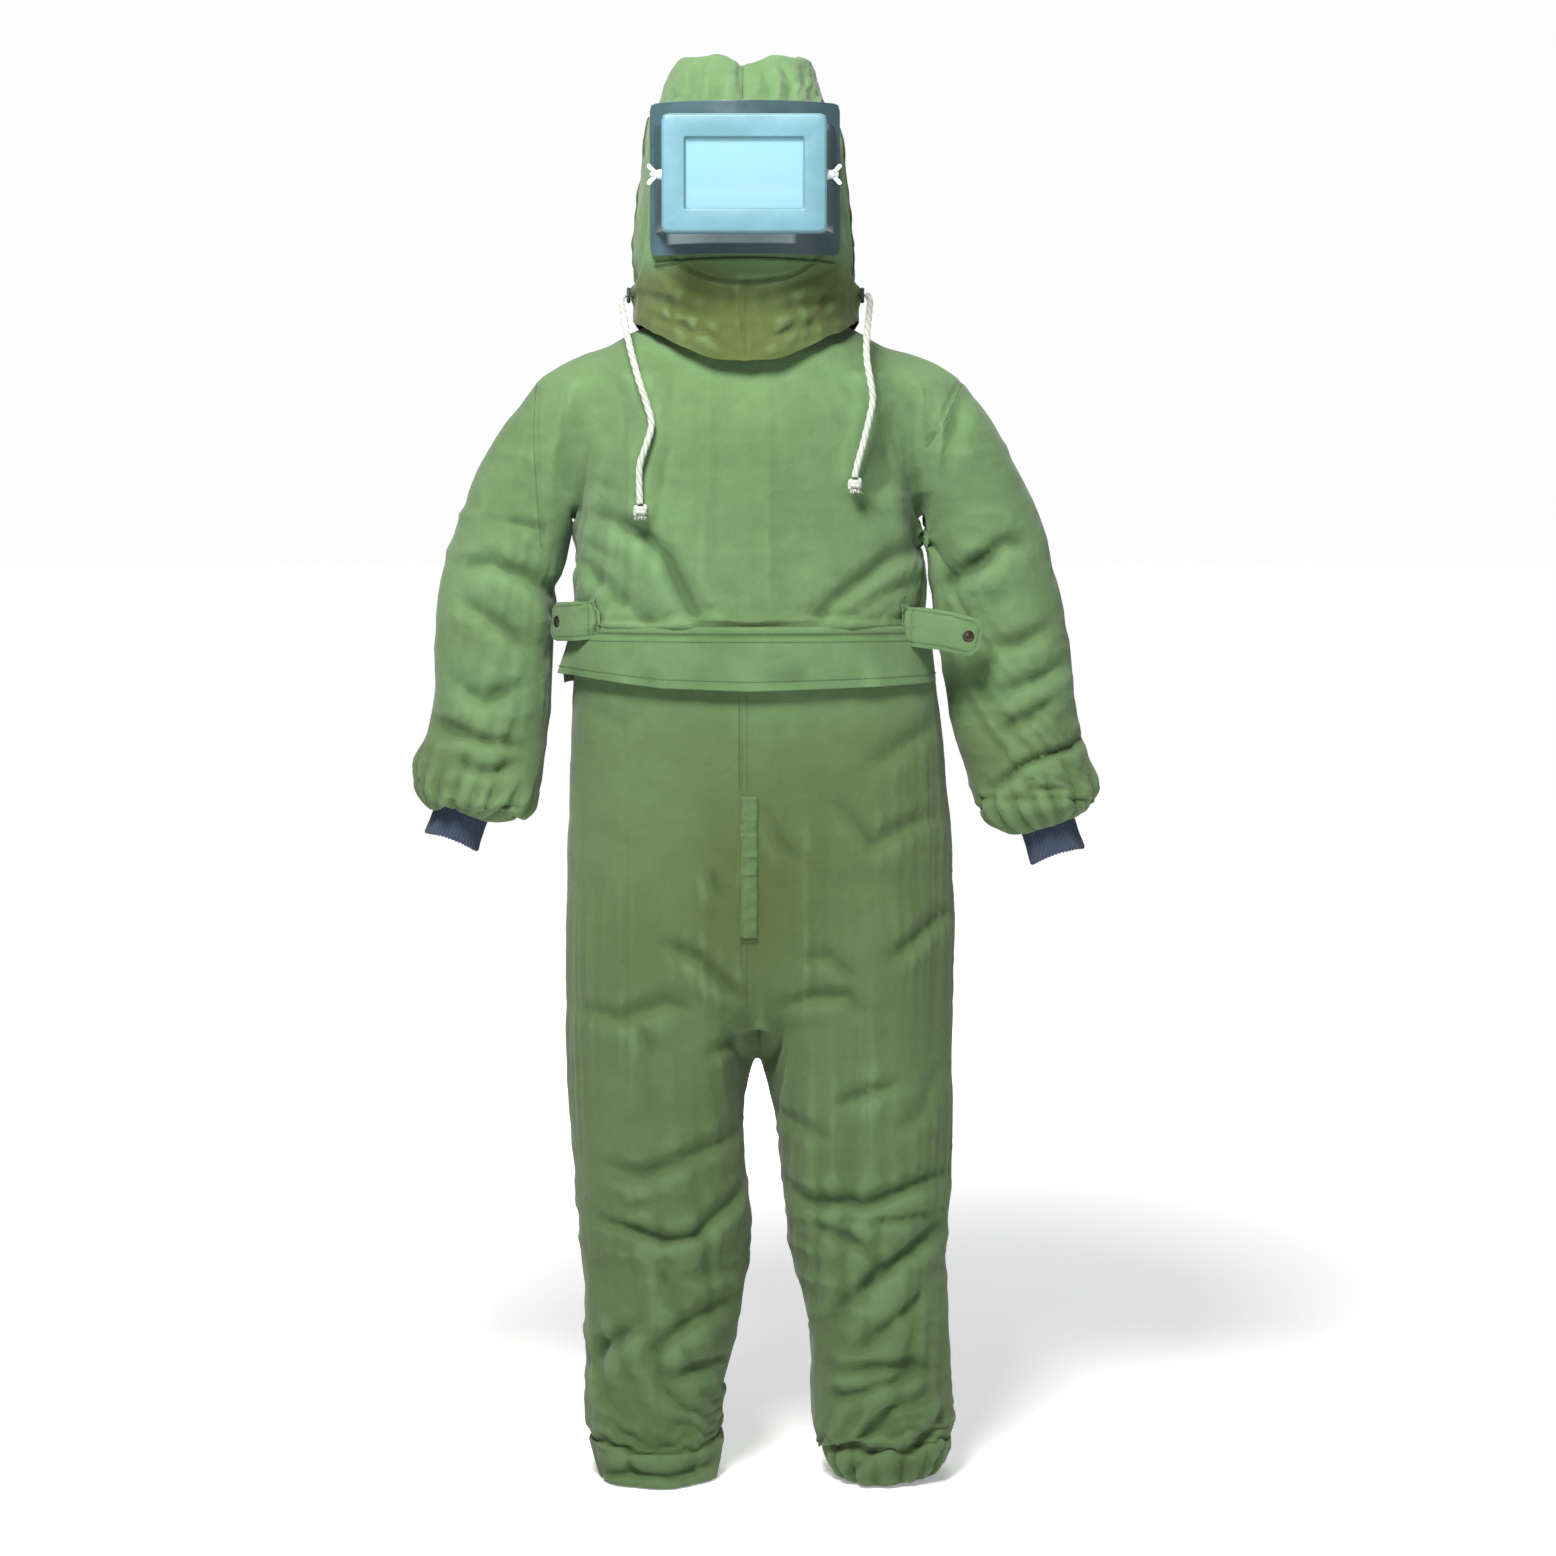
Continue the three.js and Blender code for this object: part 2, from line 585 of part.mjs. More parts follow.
// The bolt, washer and wing nut that hold the bezel on one side.
function buildClamp(side) {
  const name = side < 0 ? "right" : "left";
  const housingWall = housingWidth / 2 - shellWall;
  const outside = bezelWidth / 2;
  const headThickness = 3.5;
  const shankEnd = outside + 17;
  const headEnd = housingWall - fitGap;
  const shank = bolt(side, clampRadius, shankEnd - headEnd + 1, (shankEnd + headEnd - 1) / 2);
  const head = bar("x", [side * (headEnd - headThickness / 2), clampY, sightZ], 5.2, headThickness, 6);
  addPiece(`${name}_clamp_bolt`, shank.add(head), zinc);

  const washer = bolt(side, 6.5, 1.2, outside + fitGap + 0.6).subtract(bolt(side, clampRadius + fitGap, 60, outside));
  addPiece(`${name}_clamp_washer`, washer, zinc);

  const hubStart = outside + 1.2 + 2 * fitGap;
  const hubLength = 9;
  const hub = new THREE.CylinderGeometry(4.8, 6.4, hubLength, 16).rotateZ((-side * Math.PI) / 2);
  const wing = new THREE.Shape();
  wing.moveTo(0, 3);
  wing.lineTo(5, 3.5);
  wing.quadraticCurveTo(9, 6, 13, 11);
  wing.absarc(15, 9.6, 2.6, Math.PI * 0.8, -0.1, true);
  wing.quadraticCurveTo(14, 3.5, 9, 2.2);
  wing.lineTo(0, -1);
  wing.closePath();
  const wingDepth = 2.6;
  const blade = (turn) =>
    solid(
      new THREE.ExtrudeGeometry(wing, { depth: wingDepth, bevelEnabled: false, curveSegments: 3 })
        .translate(0, 0, -wingDepth / 2)
        .rotateX(Math.PI / 2 + turn)
        .rotateZ(side < 0 ? Math.PI : 0)
        .translate(side * (hubStart + 1), clampY, sightZ),
    );
  const nut = solid(hub.translate(side * (hubStart + hubLength / 2), clampY, sightZ))
    .add(blade(0))
    .add(blade(Math.PI))
    .subtract(bolt(side, clampRadius + fitGap, 60, outside));
  addPiece(`${name}_wing_nut`, nut, zinc);
}

// ---------------------------------------------------------------- waist tabs
const tabLength = 78;
const tabHeight = 48;
const tabThickness = 3.5;
const capRadius = 7;

// A strap with a chamfered end, sewn to the jacket along its near edge. Turn is the angle from the
// outward direction towards the back, and droop is how far its end sinks, both in degrees.
function buildTab(side, hinge, turn, droop) {
  const name = side < 0 ? "right" : "left";
  const chamfer = 12;
  const strap = new THREE.Shape();
  strap.moveTo(0, -tabHeight / 2);
  strap.lineTo(tabLength - chamfer, -tabHeight / 2);
  strap.lineTo(tabLength, -tabHeight / 2 + chamfer);
  strap.lineTo(tabLength, tabHeight / 2 - chamfer);
  strap.lineTo(tabLength - chamfer, tabHeight / 2);
  strap.lineTo(0, tabHeight / 2);
  strap.closePath();
  const place = (geometry) =>
    geometry
      .rotateY(THREE.MathUtils.degToRad(droop))
      .rotateZ(THREE.MathUtils.degToRad(turn))
      .scale(side, 1, 1)
      .translate(...hinge);
  const upright = (geometry) => geometry.rotateX(Math.PI / 2);
  const body = solid(
    place(upright(new THREE.ExtrudeGeometry(strap, { depth: tabThickness, bevelEnabled: false }))),
  );
  const capX = tabLength - 17;
  const capAt = (radius, thick, y) =>
    solid(place(new THREE.CylinderGeometry(radius, radius, thick, 20).translate(capX, y, 0)));
  const eye = capAt(3 + fitGap, 20, 0);
  addPiece(`${name}_waist_tab`, body.subtract(eye), canvas);
  const face = capAt(capRadius, 2, -tabThickness - fitGap - 1);
  const post = capAt(3, tabThickness + 3, -tabThickness / 2);
  addPiece(`${name}_tab_snap`, face.add(post), darkBrass);
}

// The stud that the tab's snap closes on, standing on the side of the jacket.
function buildStud(side) {
  const name = side < 0 ? "right" : "left";
  const z = waistHeight + 22;
  const wallX = ringAt(bodiceRings, 0).size.x;
  const x = side * (wallX + 4) + 4;
  const base = bar("x", [x, 30, z], capRadius, 2, 20);
  const post = bar("x", [x + side * 2.4, 30, z], 3, 4, 16);
  addPiece(`${name}_tab_stud`, base.add(post), darkBrass);
}

// ---------------------------------------------------------------- drawcord
const eyelets = { right: [-144, -36, 1496], left: [144, -36, 1496] };
const cordPaths = {
  right: [
    [-150, -38, 1496],
    [-153, -48, 1488],
    [-149, -66, 1470],
    [-143, -88, 1442],
    [-136, -106, 1415],
    [-128, -118, 1388],
    [-118, -124, 1358],
    [-113, -127, 1335],
    [-119, -128, 1312],
    [-127, -128, 1288],
    [-128, -128, 1262],
    [-127, -128, 1240],
  ],
  left: [
    [150, -38, 1496],
    [153, -48, 1488],
    [151, -66, 1470],
    [148, -88, 1442],
    [148, -104, 1415],
    [152, -112, 1390],
    [155, -115, 1366],
    [150, -119, 1340],
    [144, -122, 1315],
    [137, -124, 1290],
    [133, -125, 1272],
  ],
};

function buildCord(name) {
  const lift = windowDrop;
  const points = cordPaths[name].map(([x, y, z]) => new THREE.Vector3(x, y, z + lift));
  const section = new THREE.Shape();
  section.absarc(0, 0, cordDiameter / 2, 0, 2 * Math.PI);
  const path = new THREE.CatmullRomCurve3(points);
  const steps = Math.round(path.getLength() / (2.6 * cordDiameter));
  addPiece(
    `${name}_drawcord`,
    solid(new THREE.ExtrudeGeometry(section, { steps, extrudePath: path, curveSegments: 4 })),
    cotton,
  );
  const end = points.at(-1);
  const knot = new THREE.SphereGeometry(8, 10, 7).scale(1, 0.8, 1.1);
  addPiece(`${name}_cord_knot`, solid(knot.translate(end.x, end.y, end.z - 9.4)), cotton);
  const [x, y, z] = eyelets[name];
  const ring = new THREE.TorusGeometry(7.5, 2, 6, 14).rotateY(Math.PI / 2);
  addPiece(`${name}_cord_eyelet`, solid(ring.translate(x, y, z + lift)), elastic);
}

// ---------------------------------------------------------------- assembly
buildBodice();
buildTrousers();
buildLeg("right", rightLegRings, -1);
buildLeg("left", leftLegRings, 1);
buildSleeve(-1, 0.875);
buildSleeve(1, 0.9);
buildHood();
buildWindow();
buildTab(-1, [-(chestHalfWidth - 9), -(chestHalfDepth - 25), waistHeight + 22], 58, 2);
buildTab(1, [chestHalfWidth + 5, -(chestHalfDepth - 31), waistHeight + 18], 4, 14);
buildStud(-1);
buildStud(1);
buildCord("right");
buildCord("left");

const model = new THREE.Group();
model.add(suit);
export default model;
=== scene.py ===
"""Dresses the blasting suit's frame: hooded canvas suit, bolted window, drawcords, cuffs, tabs and stitching."""

import json
import math
from contextlib import contextmanager

import bpy
import bmesh
import numpy as np
from bpy.props import FloatProperty, FloatVectorProperty, IntProperty, PointerProperty
from mathutils import Matrix, Vector
from mathutils.bvhtree import BVHTree
from mathutils.kdtree import KDTree

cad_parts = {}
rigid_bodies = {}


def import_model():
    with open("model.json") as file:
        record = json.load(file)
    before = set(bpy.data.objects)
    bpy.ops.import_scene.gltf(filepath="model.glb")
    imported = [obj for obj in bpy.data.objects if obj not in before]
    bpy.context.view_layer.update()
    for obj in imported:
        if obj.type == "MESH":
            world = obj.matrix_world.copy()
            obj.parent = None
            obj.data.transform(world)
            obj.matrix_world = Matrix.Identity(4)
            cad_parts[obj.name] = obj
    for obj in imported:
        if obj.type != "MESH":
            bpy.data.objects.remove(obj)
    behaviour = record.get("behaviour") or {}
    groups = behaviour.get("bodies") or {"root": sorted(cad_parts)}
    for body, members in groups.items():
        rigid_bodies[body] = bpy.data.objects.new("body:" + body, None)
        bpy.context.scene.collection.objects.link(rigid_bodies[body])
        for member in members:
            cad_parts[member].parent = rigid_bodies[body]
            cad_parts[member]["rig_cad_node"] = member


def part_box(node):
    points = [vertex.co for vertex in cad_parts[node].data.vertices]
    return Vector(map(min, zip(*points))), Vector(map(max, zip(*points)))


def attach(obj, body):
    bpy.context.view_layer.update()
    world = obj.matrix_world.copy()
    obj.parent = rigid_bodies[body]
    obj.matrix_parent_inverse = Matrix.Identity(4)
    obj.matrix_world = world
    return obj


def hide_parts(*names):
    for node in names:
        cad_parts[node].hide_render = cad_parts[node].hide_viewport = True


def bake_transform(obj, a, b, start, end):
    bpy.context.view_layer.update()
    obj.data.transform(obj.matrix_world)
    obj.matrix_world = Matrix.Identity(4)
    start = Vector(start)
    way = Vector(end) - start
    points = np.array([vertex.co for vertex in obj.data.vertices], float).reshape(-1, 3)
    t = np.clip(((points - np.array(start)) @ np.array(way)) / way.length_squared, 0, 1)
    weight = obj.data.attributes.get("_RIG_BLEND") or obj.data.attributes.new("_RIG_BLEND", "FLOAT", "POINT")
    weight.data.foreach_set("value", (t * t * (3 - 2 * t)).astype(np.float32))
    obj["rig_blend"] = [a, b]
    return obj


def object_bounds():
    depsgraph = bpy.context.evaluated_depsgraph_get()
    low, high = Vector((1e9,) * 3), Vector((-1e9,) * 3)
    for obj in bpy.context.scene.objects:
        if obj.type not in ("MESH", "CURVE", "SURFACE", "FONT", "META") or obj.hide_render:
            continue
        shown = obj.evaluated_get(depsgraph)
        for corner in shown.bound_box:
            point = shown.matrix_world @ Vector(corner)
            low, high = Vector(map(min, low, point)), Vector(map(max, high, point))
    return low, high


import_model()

bl_info = {
    "name": "Blasting suit",
    "version": (1, 0, 0),
    "blender": (4, 5, 0),
    "location": "View3D > Sidebar > Suit",
    "description": "Builds a hooded canvas blasting suit on its packed frame",
    "category": "Object",
}

CAD_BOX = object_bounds()
YOKE = 1.450  # height of the origin above the soles
FINISHED = {}  # surfaces that later pieces are laid on, by name
FINISHES = {}  # materials by name
CLOTH = 0.0016  # thickness of the canvas
MOST_DRAPE = 0.022  # furthest that the simulation may move the cloth
HOOD_BEND = ((0, 0, 0.020), (0, 0, 0.090))  # where the cloth turns from the torso to the hood
SHIN_TOP = -1.04  # height at which the thigh's cloth ends


# ------------------------------------------------------------------ shaping
def soft_rows(rows, count):
    """Rows of a table, joined by a smooth curve and spaced evenly along it."""
    a = np.array([list(r) + [0] * (6 - len(r)) for r in rows], float)
    gap = np.linalg.norm(np.diff(a[:, :3], axis=0), axis=1)
    t = np.concatenate([[0], np.cumsum(np.maximum(gap, 1e-4))])
    m = np.zeros_like(a)
    m[1:-1] = (a[2:] - a[:-2]) / (t[2:] - t[:-2])[:, None]
    m[0] = (a[1] - a[0]) / (t[1] - t[0])
    m[-1] = (a[-1] - a[-2]) / (t[-1] - t[-2])
    s = np.linspace(0, t[-1], count)
    k = np.clip(np.searchsorted(t, s, side="right") - 1, 0, len(t) - 2)
    h = (t[k + 1] - t[k])[:, None]
    u = (s - t[k])[:, None] / h
    return (
        (2 * u**3 - 3 * u**2 + 1) * a[k]
        + (u**3 - 2 * u**2 + u) * h * m[k]
        + (-2 * u**3 + 3 * u**2) * a[k + 1]
        + (u**3 - u**2) * h * m[k + 1]
    )


def ring_points(rows, count=48, around=64, square=2.3):
    """Rings of (z, x, y, half width, half depth, lean in degrees) as a grid of points."""
    r = soft_rows(rows, count)
    th = whole_turn(around)
    bend = lambda v: np.sign(v) * np.abs(v) ** (2 / square)
    u = bend(np.cos(th))[None] * r[:, 3:4]
    v = bend(np.sin(th))[None] * r[:, 4:5]
    lean = np.radians(r[:, 5:6])
    return np.stack([r[:, 1:2] + u * np.cos(lean), r[:, 2:3] + v, r[:, 0:1] - u * np.sin(lean)], -1)


def grid_faces(rows, around, first=0):
    i, j = np.meshgrid(np.arange(rows - 1), np.arange(around), indexing="ij")
    k = (j + 1) % around
    faces = np.stack([i * around + j, i * around + k, (i + 1) * around + k, (i + 1) * around + j], -1)
    return faces.reshape(-1, 4) + first


def stuffed(points, first=None, last=None):
    """A grid of rings closed at both ends, as points and faces. The ends' middles may be given."""
    n, around = points.shape[:2]
    flat = points.reshape(-1, 3)
    faces = [tuple(f) for f in grid_faces(n, around).tolist()]
    a, b = len(flat), len(flat) + 1
    first = points[0].mean(0) if first is None else first
    last = points[-1].mean(0) if last is None else last
    flat = np.vstack([flat, first, last])
    for j in range(around):
        k = (j + 1) % around
        faces += [(a, k, j), (b, (n - 1) * around + j, (n - 1) * around + k)]
    return flat, faces


def new_mesh(name, points, faces):
    mesh = bpy.data.meshes.new(name)
    points = np.asarray(points, float)
    mesh.from_pydata(points.tolist(), [], [tuple(f) for f in (faces.tolist() if isinstance(faces,
        np.ndarray) else faces)])
    mesh.update()
    return mesh


def new_piece(name, mesh):
    piece = bpy.data.objects.new(name, mesh)
    bpy.context.scene.collection.objects.link(piece)
    return piece


def places(mesh):
    a = np.empty(len(mesh.vertices) * 3)
    mesh.vertices.foreach_get("co", a)
    return a.reshape(-1, 3)


def smooth_shaded(mesh):
    mesh.polygons.foreach_set("use_smooth", [True] * len(mesh.polygons))


@contextmanager
def opened(mesh):
    """Opens a mesh for editing and writes it back."""
    work = bmesh.new()
    work.from_mesh(mesh)
    yield work
    work.to_mesh(mesh)
    work.free()


def add_mark(mesh, name, values):
    """Gives every point a value that the finishes read."""
    mark = mesh.attributes.new(name, "FLOAT", "POINT")
    mark.data.foreach_set("value", np.asarray(values).astype(np.float32).ravel())


def turn_out(mesh):
    """Turns a closed shape round where its faces point inwards."""
    work = bmesh.new()
    work.from_mesh(mesh)
    if work.calc_volume(signed=True) < 0:
        bmesh.ops.reverse_faces(work, faces=work.faces)
        work.to_mesh(mesh)
    work.free()


def whole_turn(count):
    return np.linspace(0, 2 * math.pi, count, endpoint=False)


def run_along(line):
    """How far along a line each of its points lies."""
    return np.concatenate([[0], np.cumsum(np.linalg.norm(np.diff(line, axis=0), axis=1))])


def nearest_of(points):
    """A tree that finds the nearest of the points."""
    tree = KDTree(len(points))
    for i, p in enumerate(points):
        tree.insert(p, i)
    tree.balance()
    return tree


def ring_faces(rings, around):
    """Faces of a grid that closes on itself both ways."""
    faces = []
    for i in range(rings):
        k = (i + 1) % rings
        for j in range(around):
            m = (j + 1) % around
            faces.append((i * around + j, i * around + m, k * around + m, k * around + j))
    return faces


def doubled_faces(rows, across):
    """Faces of two like grids, front and back, joined round their edge."""
    faces, total = [], rows * across
    for i in range(rows - 1):
        for j in range(across - 1):
            a = i * across + j
            faces.append((a, a + 1, a + 1 + across, a + across))
            faces.append((a + total, a + across + total, a + 1 + across + total, a + 1 + total))
    loop = list(range(across)) + [i * across + across - 1 for i in range(1, rows)]
    loop += [(rows - 1) * across + j for j in range(across - 2, -1, -1)]
    loop += [i * across for i in range(rows - 2, 0, -1)]
    for a, b in zip(loop, loop[1:] + loop[:1]):
        faces.append((b, a, a + total, b + total))
    return faces


def settle_modifiers(piece):
    """Turns a piece's modifiers into its plain mesh."""
    bpy.context.view_layer.update()
    graph = bpy.context.evaluated_depsgraph_get()
    mesh = bpy.data.meshes.new_from_object(piece.evaluated_get(graph), depsgraph=graph)
    piece.modifiers.clear()
    old = piece.data
    piece.data = mesh
    bpy.data.meshes.remove(old)
    return piece


def face_out(mesh):
    with opened(mesh) as work:
        bmesh.ops.remove_doubles(work, verts=work.verts, dist=1e-6)
        bmesh.ops.recalc_face_normals(work, faces=work.faces)


def skin_of(parts, voxel, smoothing):
    """One closed skin round several stuffed forms, as a quad mesh."""
    points, faces, first = [], [], 0
    for p, f in parts:
        points.append(p)
        faces += [tuple(i + first for i in q) for q in f]
        first += len(p)
    piece = new_piece("form", new_mesh("form", np.vstack(points), faces))
    face_out(piece.data)
    remesh = piece.modifiers.new("remesh", "REMESH")
    remesh.mode, remesh.voxel_size = "VOXEL", voxel
    smooth = piece.modifiers.new("smooth", "SMOOTH")
    smooth.factor, smooth.iterations = 0.5, smoothing
    settle_modifiers(piece)
    mesh = piece.data
    quads = np.array([tuple(p.vertices) for p in mesh.polygons if len(p.vertices) == 4])
    skin = Skin(places(mesh), quads)
    bpy.data.objects.remove(piece)
    return skin


def ease(low, high, value):
    t = np.clip((value - low) / (high - low), 0, 1)
    return t * t * (3 - 2 * t)


def lattice_noise(points, scale, seed=0):
    """Smooth noise between -1 and 1 on points of any number, always the same for one seed."""
    p = np.asarray(points, float) / scale + seed * 17.31
    base = np.floor(p).astype(np.int64)
    f = p - base
    f = f * f * (3 - 2 * f)
    total = np.zeros(len(p))
    for dx in (0, 1):
        for dy in (0, 1):
            for dz in (0, 1):
                h = (
                    (base[:, 0] + dx) * 374761393
                    + (base[:, 1] + dy) * 668265263
                    + (base[:, 2] + dz) * 2147483647 + seed * 97
                )
                h = (h ^ (h >> 13)) * 1274126177
                h = ((h ^ (h >> 16)) & 0xFFFF) / 32767.5 - 1
                w = (
                    (f[:, 0] if dx else 1 - f[:, 0])
                    * (f[:, 1] if dy else 1 - f[:, 1])
                    * (f[:, 2] if dz else 1 - f[:, 2])
                )
                total += w * h
    return total


class Skin:
    """A quad mesh held as arrays."""

    def __init__(self, co, quads):
        self.co, self.quads = np.array(co, float), np.array(quads)
        pairs = np.sort(np.stack([self.quads, np.roll(self.quads, -1, 1)], -1).reshape(-1, 2), 1)
        self.edges, index = np.unique(pairs, axis=0, return_inverse=True)
        self.quad_edges = index.reshape(-1, 4)

    def normals(self):
        c, q = self.co, self.quads
        face = np.cross(c[q[:, 2]] - c[q[:, 0]], c[q[:, 3]] - c[q[:, 1]])
        total = np.zeros_like(c)
        for axis in range(3):
            total[:, axis] = np.bincount(q.ravel(), np.repeat(face[:, axis], 4), len(c))
        return total / np.maximum(np.linalg.norm(total, axis=1), 1e-12)[:, None]

    def averaged(self, values):
        """The mean of each point's neighbours."""
        a, b = self.edges[:, 0], self.edges[:, 1]
        count = np.bincount(a, minlength=len(self.co)) + np.bincount(b, minlength=len(self.co))
        columns = []
        for v in np.atleast_2d(values.T):
            columns.append((np.bincount(a, v[b], len(self.co)) + np.bincount(b, v[a], len(self.co))) / np.maximum(count,
                1))
        out = np.stack(columns, -1)
        return out if values.ndim > 1 else out[:, 0]

    def relax(self, times, share=0.5, where=None):
        for _ in range(times):
            step = (self.averaged(self.co) - self.co) * share
            self.co = self.co + (step if where is None else step * where[:, None])

    def finer(self):
        """One subdivision. Points keep their order: old points, middles of edges, middles of faces."""
        c, q, e = self.co, self.quads, self.edges
        middle = c[q].mean(1)
        n = len(c)
        near = np.zeros((len(e), 3))
        uses = np.bincount(self.quad_edges.ravel(), minlength=len(e))
        for axis in range(3):
            near[:, axis] = np.bincount(self.quad_edges.ravel(), np.repeat(middle[:, axis], 4), len(e))
        edge_mean = c[e].mean(1)
        on_edge = np.where((uses == 2)[:, None], (c[e].sum(1) + near) / 4, edge_mean)
        valence = np.bincount(q.ravel(), minlength=n)
        face_sum, edge_sum = np.zeros((n, 3)), np.zeros((n, 3))
        for axis in range(3):
            face_sum[:, axis] = np.bincount(q.ravel(), np.repeat(middle[:, axis], 4), n)
            edge_sum[:, axis] = np.bincount(e.ravel(), np.repeat(edge_mean[:, axis], 2), n)
        edge_count = np.bincount(e.ravel(), minlength=n)
        v = np.maximum(valence, 1)[:, None]
        moved = (face_sum / v + 2 * edge_sum / np.maximum(edge_count, 1)[:, None] + (v - 3) * c) / v
        kept = (valence < 3) | (valence != edge_count)
        moved = np.where(kept[:, None], c, moved)
        points = np.vstack([moved, on_edge, middle])
        em = n + self.quad_edges
        fm = (n + len(e) + np.arange(len(q)))[:, None]
        quads = np.concatenate(
            [np.stack([q[:, i], em[:, i], fm[:, 0], em[:, i - 1]], -1)[:, None] for i in range(4)], 1
        ).reshape(-1, 4)
        return Skin(points, quads)

    def tree(self):
        return BVHTree.FromPolygons([Vector(p) for p in self.co], self.quads.tolist())


def crease(skin, folds, strength, back=False, seed=0):
    """Presses folds, each a line of (x, z) with its depth and width in millimetres, into one side of the cloth."""
    co, no = skin.co, skin.normals()
    facing = no[:, 1] if back else -no[:, 1]
    side = ease(-0.25, 0.35, facing)
    wander = np.stack([lattice_noise(co, 0.05, seed + 1), lattice_noise(co, 0.05, seed + 2)], -1) * 0.004
    spot = co[:, [0, 2]] + wander
    push = np.zeros(len(co))
    for line, depth, width in folds:
        line = np.array(line)
        a_mm, w = depth * strength / 1000, width / 1000
        pieces = np.diff(line, axis=0)
        lengths = np.linalg.norm(pieces, axis=1)
        run = run_along(line)
        low, high = line.min(0) - 5 * w, line.max(0) + 5 * w
        near = np.nonzero(((spot > low) & (spot < high)).all(1) & (side > 0))[0]
        if not len(near):
            continue
        best = np.full(len(near), 1e9)
        sign, where = np.zeros(len(near)), np.zeros(len(near))
        for i, piece in enumerate(pieces):
            rel = spot[near] - line[i]
            t = np.clip(rel @ piece / lengths[i] ** 2, 0, 1)
            away = rel - t[:, None] * piece
            d = np.linalg.norm(away, axis=1)
            closer = d < best
            cross = piece[0] * rel[:, 1] - piece[1] * rel[:, 0]
            if piece[0] < 0:
                cross = -cross
            best = np.where(closer, d, best)
            sign = np.where(closer, -np.sign(cross), sign)
            where = np.where(closer, (run[i] + t * lengths[i]) / run[-1], where)
        s = best * sign
        taper = np.maximum(np.clip(4 * where * (1 - where), 0, 1) ** 0.6, 0.12)
        lengthways = np.where((where <= 0) | (where >= 1), np.exp(-((best / (1.2 * w)) ** 2)), 1)
        shape = (
            -np.exp(-((s / w) ** 2))
            + 0.6 * np.exp(-(((s - 1.7 * w) / (1.35 * w)) ** 2))
            + 0.3 * np.exp(-(((s + 1.9 * w) / (1.5 * w)) ** 2))
        )
        push[near] += a_mm * taper * lengthways * shape
    return push * side, no


def press(skin, folds, strength, back=False, seed=0, zone=1.0):
    """Moves the cloth by its creases, less where the zone is below 1."""
    push, normals = crease(skin, folds, strength, back, seed)
    skin.co = skin.co + normals * (push * zone)[:, None]


def hold_values(count, pins):
    """How firmly each point is held in the simulation: the firmest of the pins."""
    return np.clip(np.max(np.stack([np.broadcast_to(p, (count,)) for p in pins]), 0), 0, 1)


def drape(skin, hold, grow, inset, frames, pressure=0.6, stiff=1.2):
    """Lets the cloth hang and buckle over a smaller form inside it, by Blender's cloth simulation."""
    co, no = skin.co, skin.normals()
    piece = new_piece("hanging", new_mesh("hanging", co, skin.quads))
    inner = new_piece("inside", new_mesh("inside", co - no * inset, skin.quads))
    thin = inner.modifiers.new("thin", "DECIMATE")
    thin.ratio = 0.25
    settle_modifiers(inner)
    inner.modifiers.new("Collision", "COLLISION")
    inner.collision.thickness_outer = 0.003
    inner.collision.cloth_friction = 8
    group = piece.vertex_groups.new(name="hold")
    rounded = np.round(hold, 2)
    for value in np.unique(rounded):
        if value > 0:
            group.add(np.nonzero(rounded == value)[0].tolist(), float(value), "REPLACE")
    piece.shape_key_add(name="Basis")
    cut = piece.shape_key_add(name="cut")
    cut.data.foreach_set("co", (co * np.array(grow)).ravel())
    cut.value = 0
    cloth = piece.modifiers.new("Cloth", "CLOTH")
    s = cloth.settings
    s.quality, s.mass = 5, 0.35
    s.tension_stiffness = s.compression_stiffness = 12
    s.shear_stiffness, s.bending_stiffness = 5, stiff
    s.tension_damping = s.compression_damping = s.shear_damping = 8
    s.bending_damping, s.air_damping = 1.0, 4
    s.vertex_group_mass, s.pin_stiffness = "hold", 1.0
    s.rest_shape_key = cut
    s.use_pressure, s.uniform_pressure_force = True, pressure
    c = cloth.collision_settings
    c.use_collision, c.distance_min, c.collision_quality, c.use_self_collision = True, 0.003, 2, False
    cloth.point_cache.frame_start, cloth.point_cache.frame_end = 1, frames
    scene = bpy.context.scene
    scene.frame_start, scene.frame_end = 1, frames
    for number in range(1, frames + 1):
        scene.frame_set(number)
    graph = bpy.context.evaluated_depsgraph_get()
    mesh = bpy.data.meshes.new_from_object(piece.evaluated_get(graph), depsgraph=graph)
    after = places(mesh)
    move = after - co
    far = np.linalg.norm(move, axis=1)
    skin.co = co + move * np.minimum(1, MOST_DRAPE / np.maximum(far, 1e-9))[:, None]
    bpy.data.objects.remove(piece)
    bpy.data.objects.remove(inner)
    bpy.data.meshes.remove(mesh)
    scene.frame_set(1)


# ------------------------------------------------------------------ lined cloth pieces
def unwrap(points, faces, centre, radius, along=None):
    """UV corners in metres: distance round a centre line, and height or the length along it."""
    cx, cy = centre(points)
    turn = np.arctan2(points[:, 0] - cx, -(points[:, 1] - cy))
    run = points[:, 2] if along is None else along(points)
    corner = turn[faces]
    first = corner[:, :1]
    corner = corner + 2 * math.pi * np.round((first - corner) / (2 * math.pi))
    return np.stack([corner * radius, run[faces]], -1)


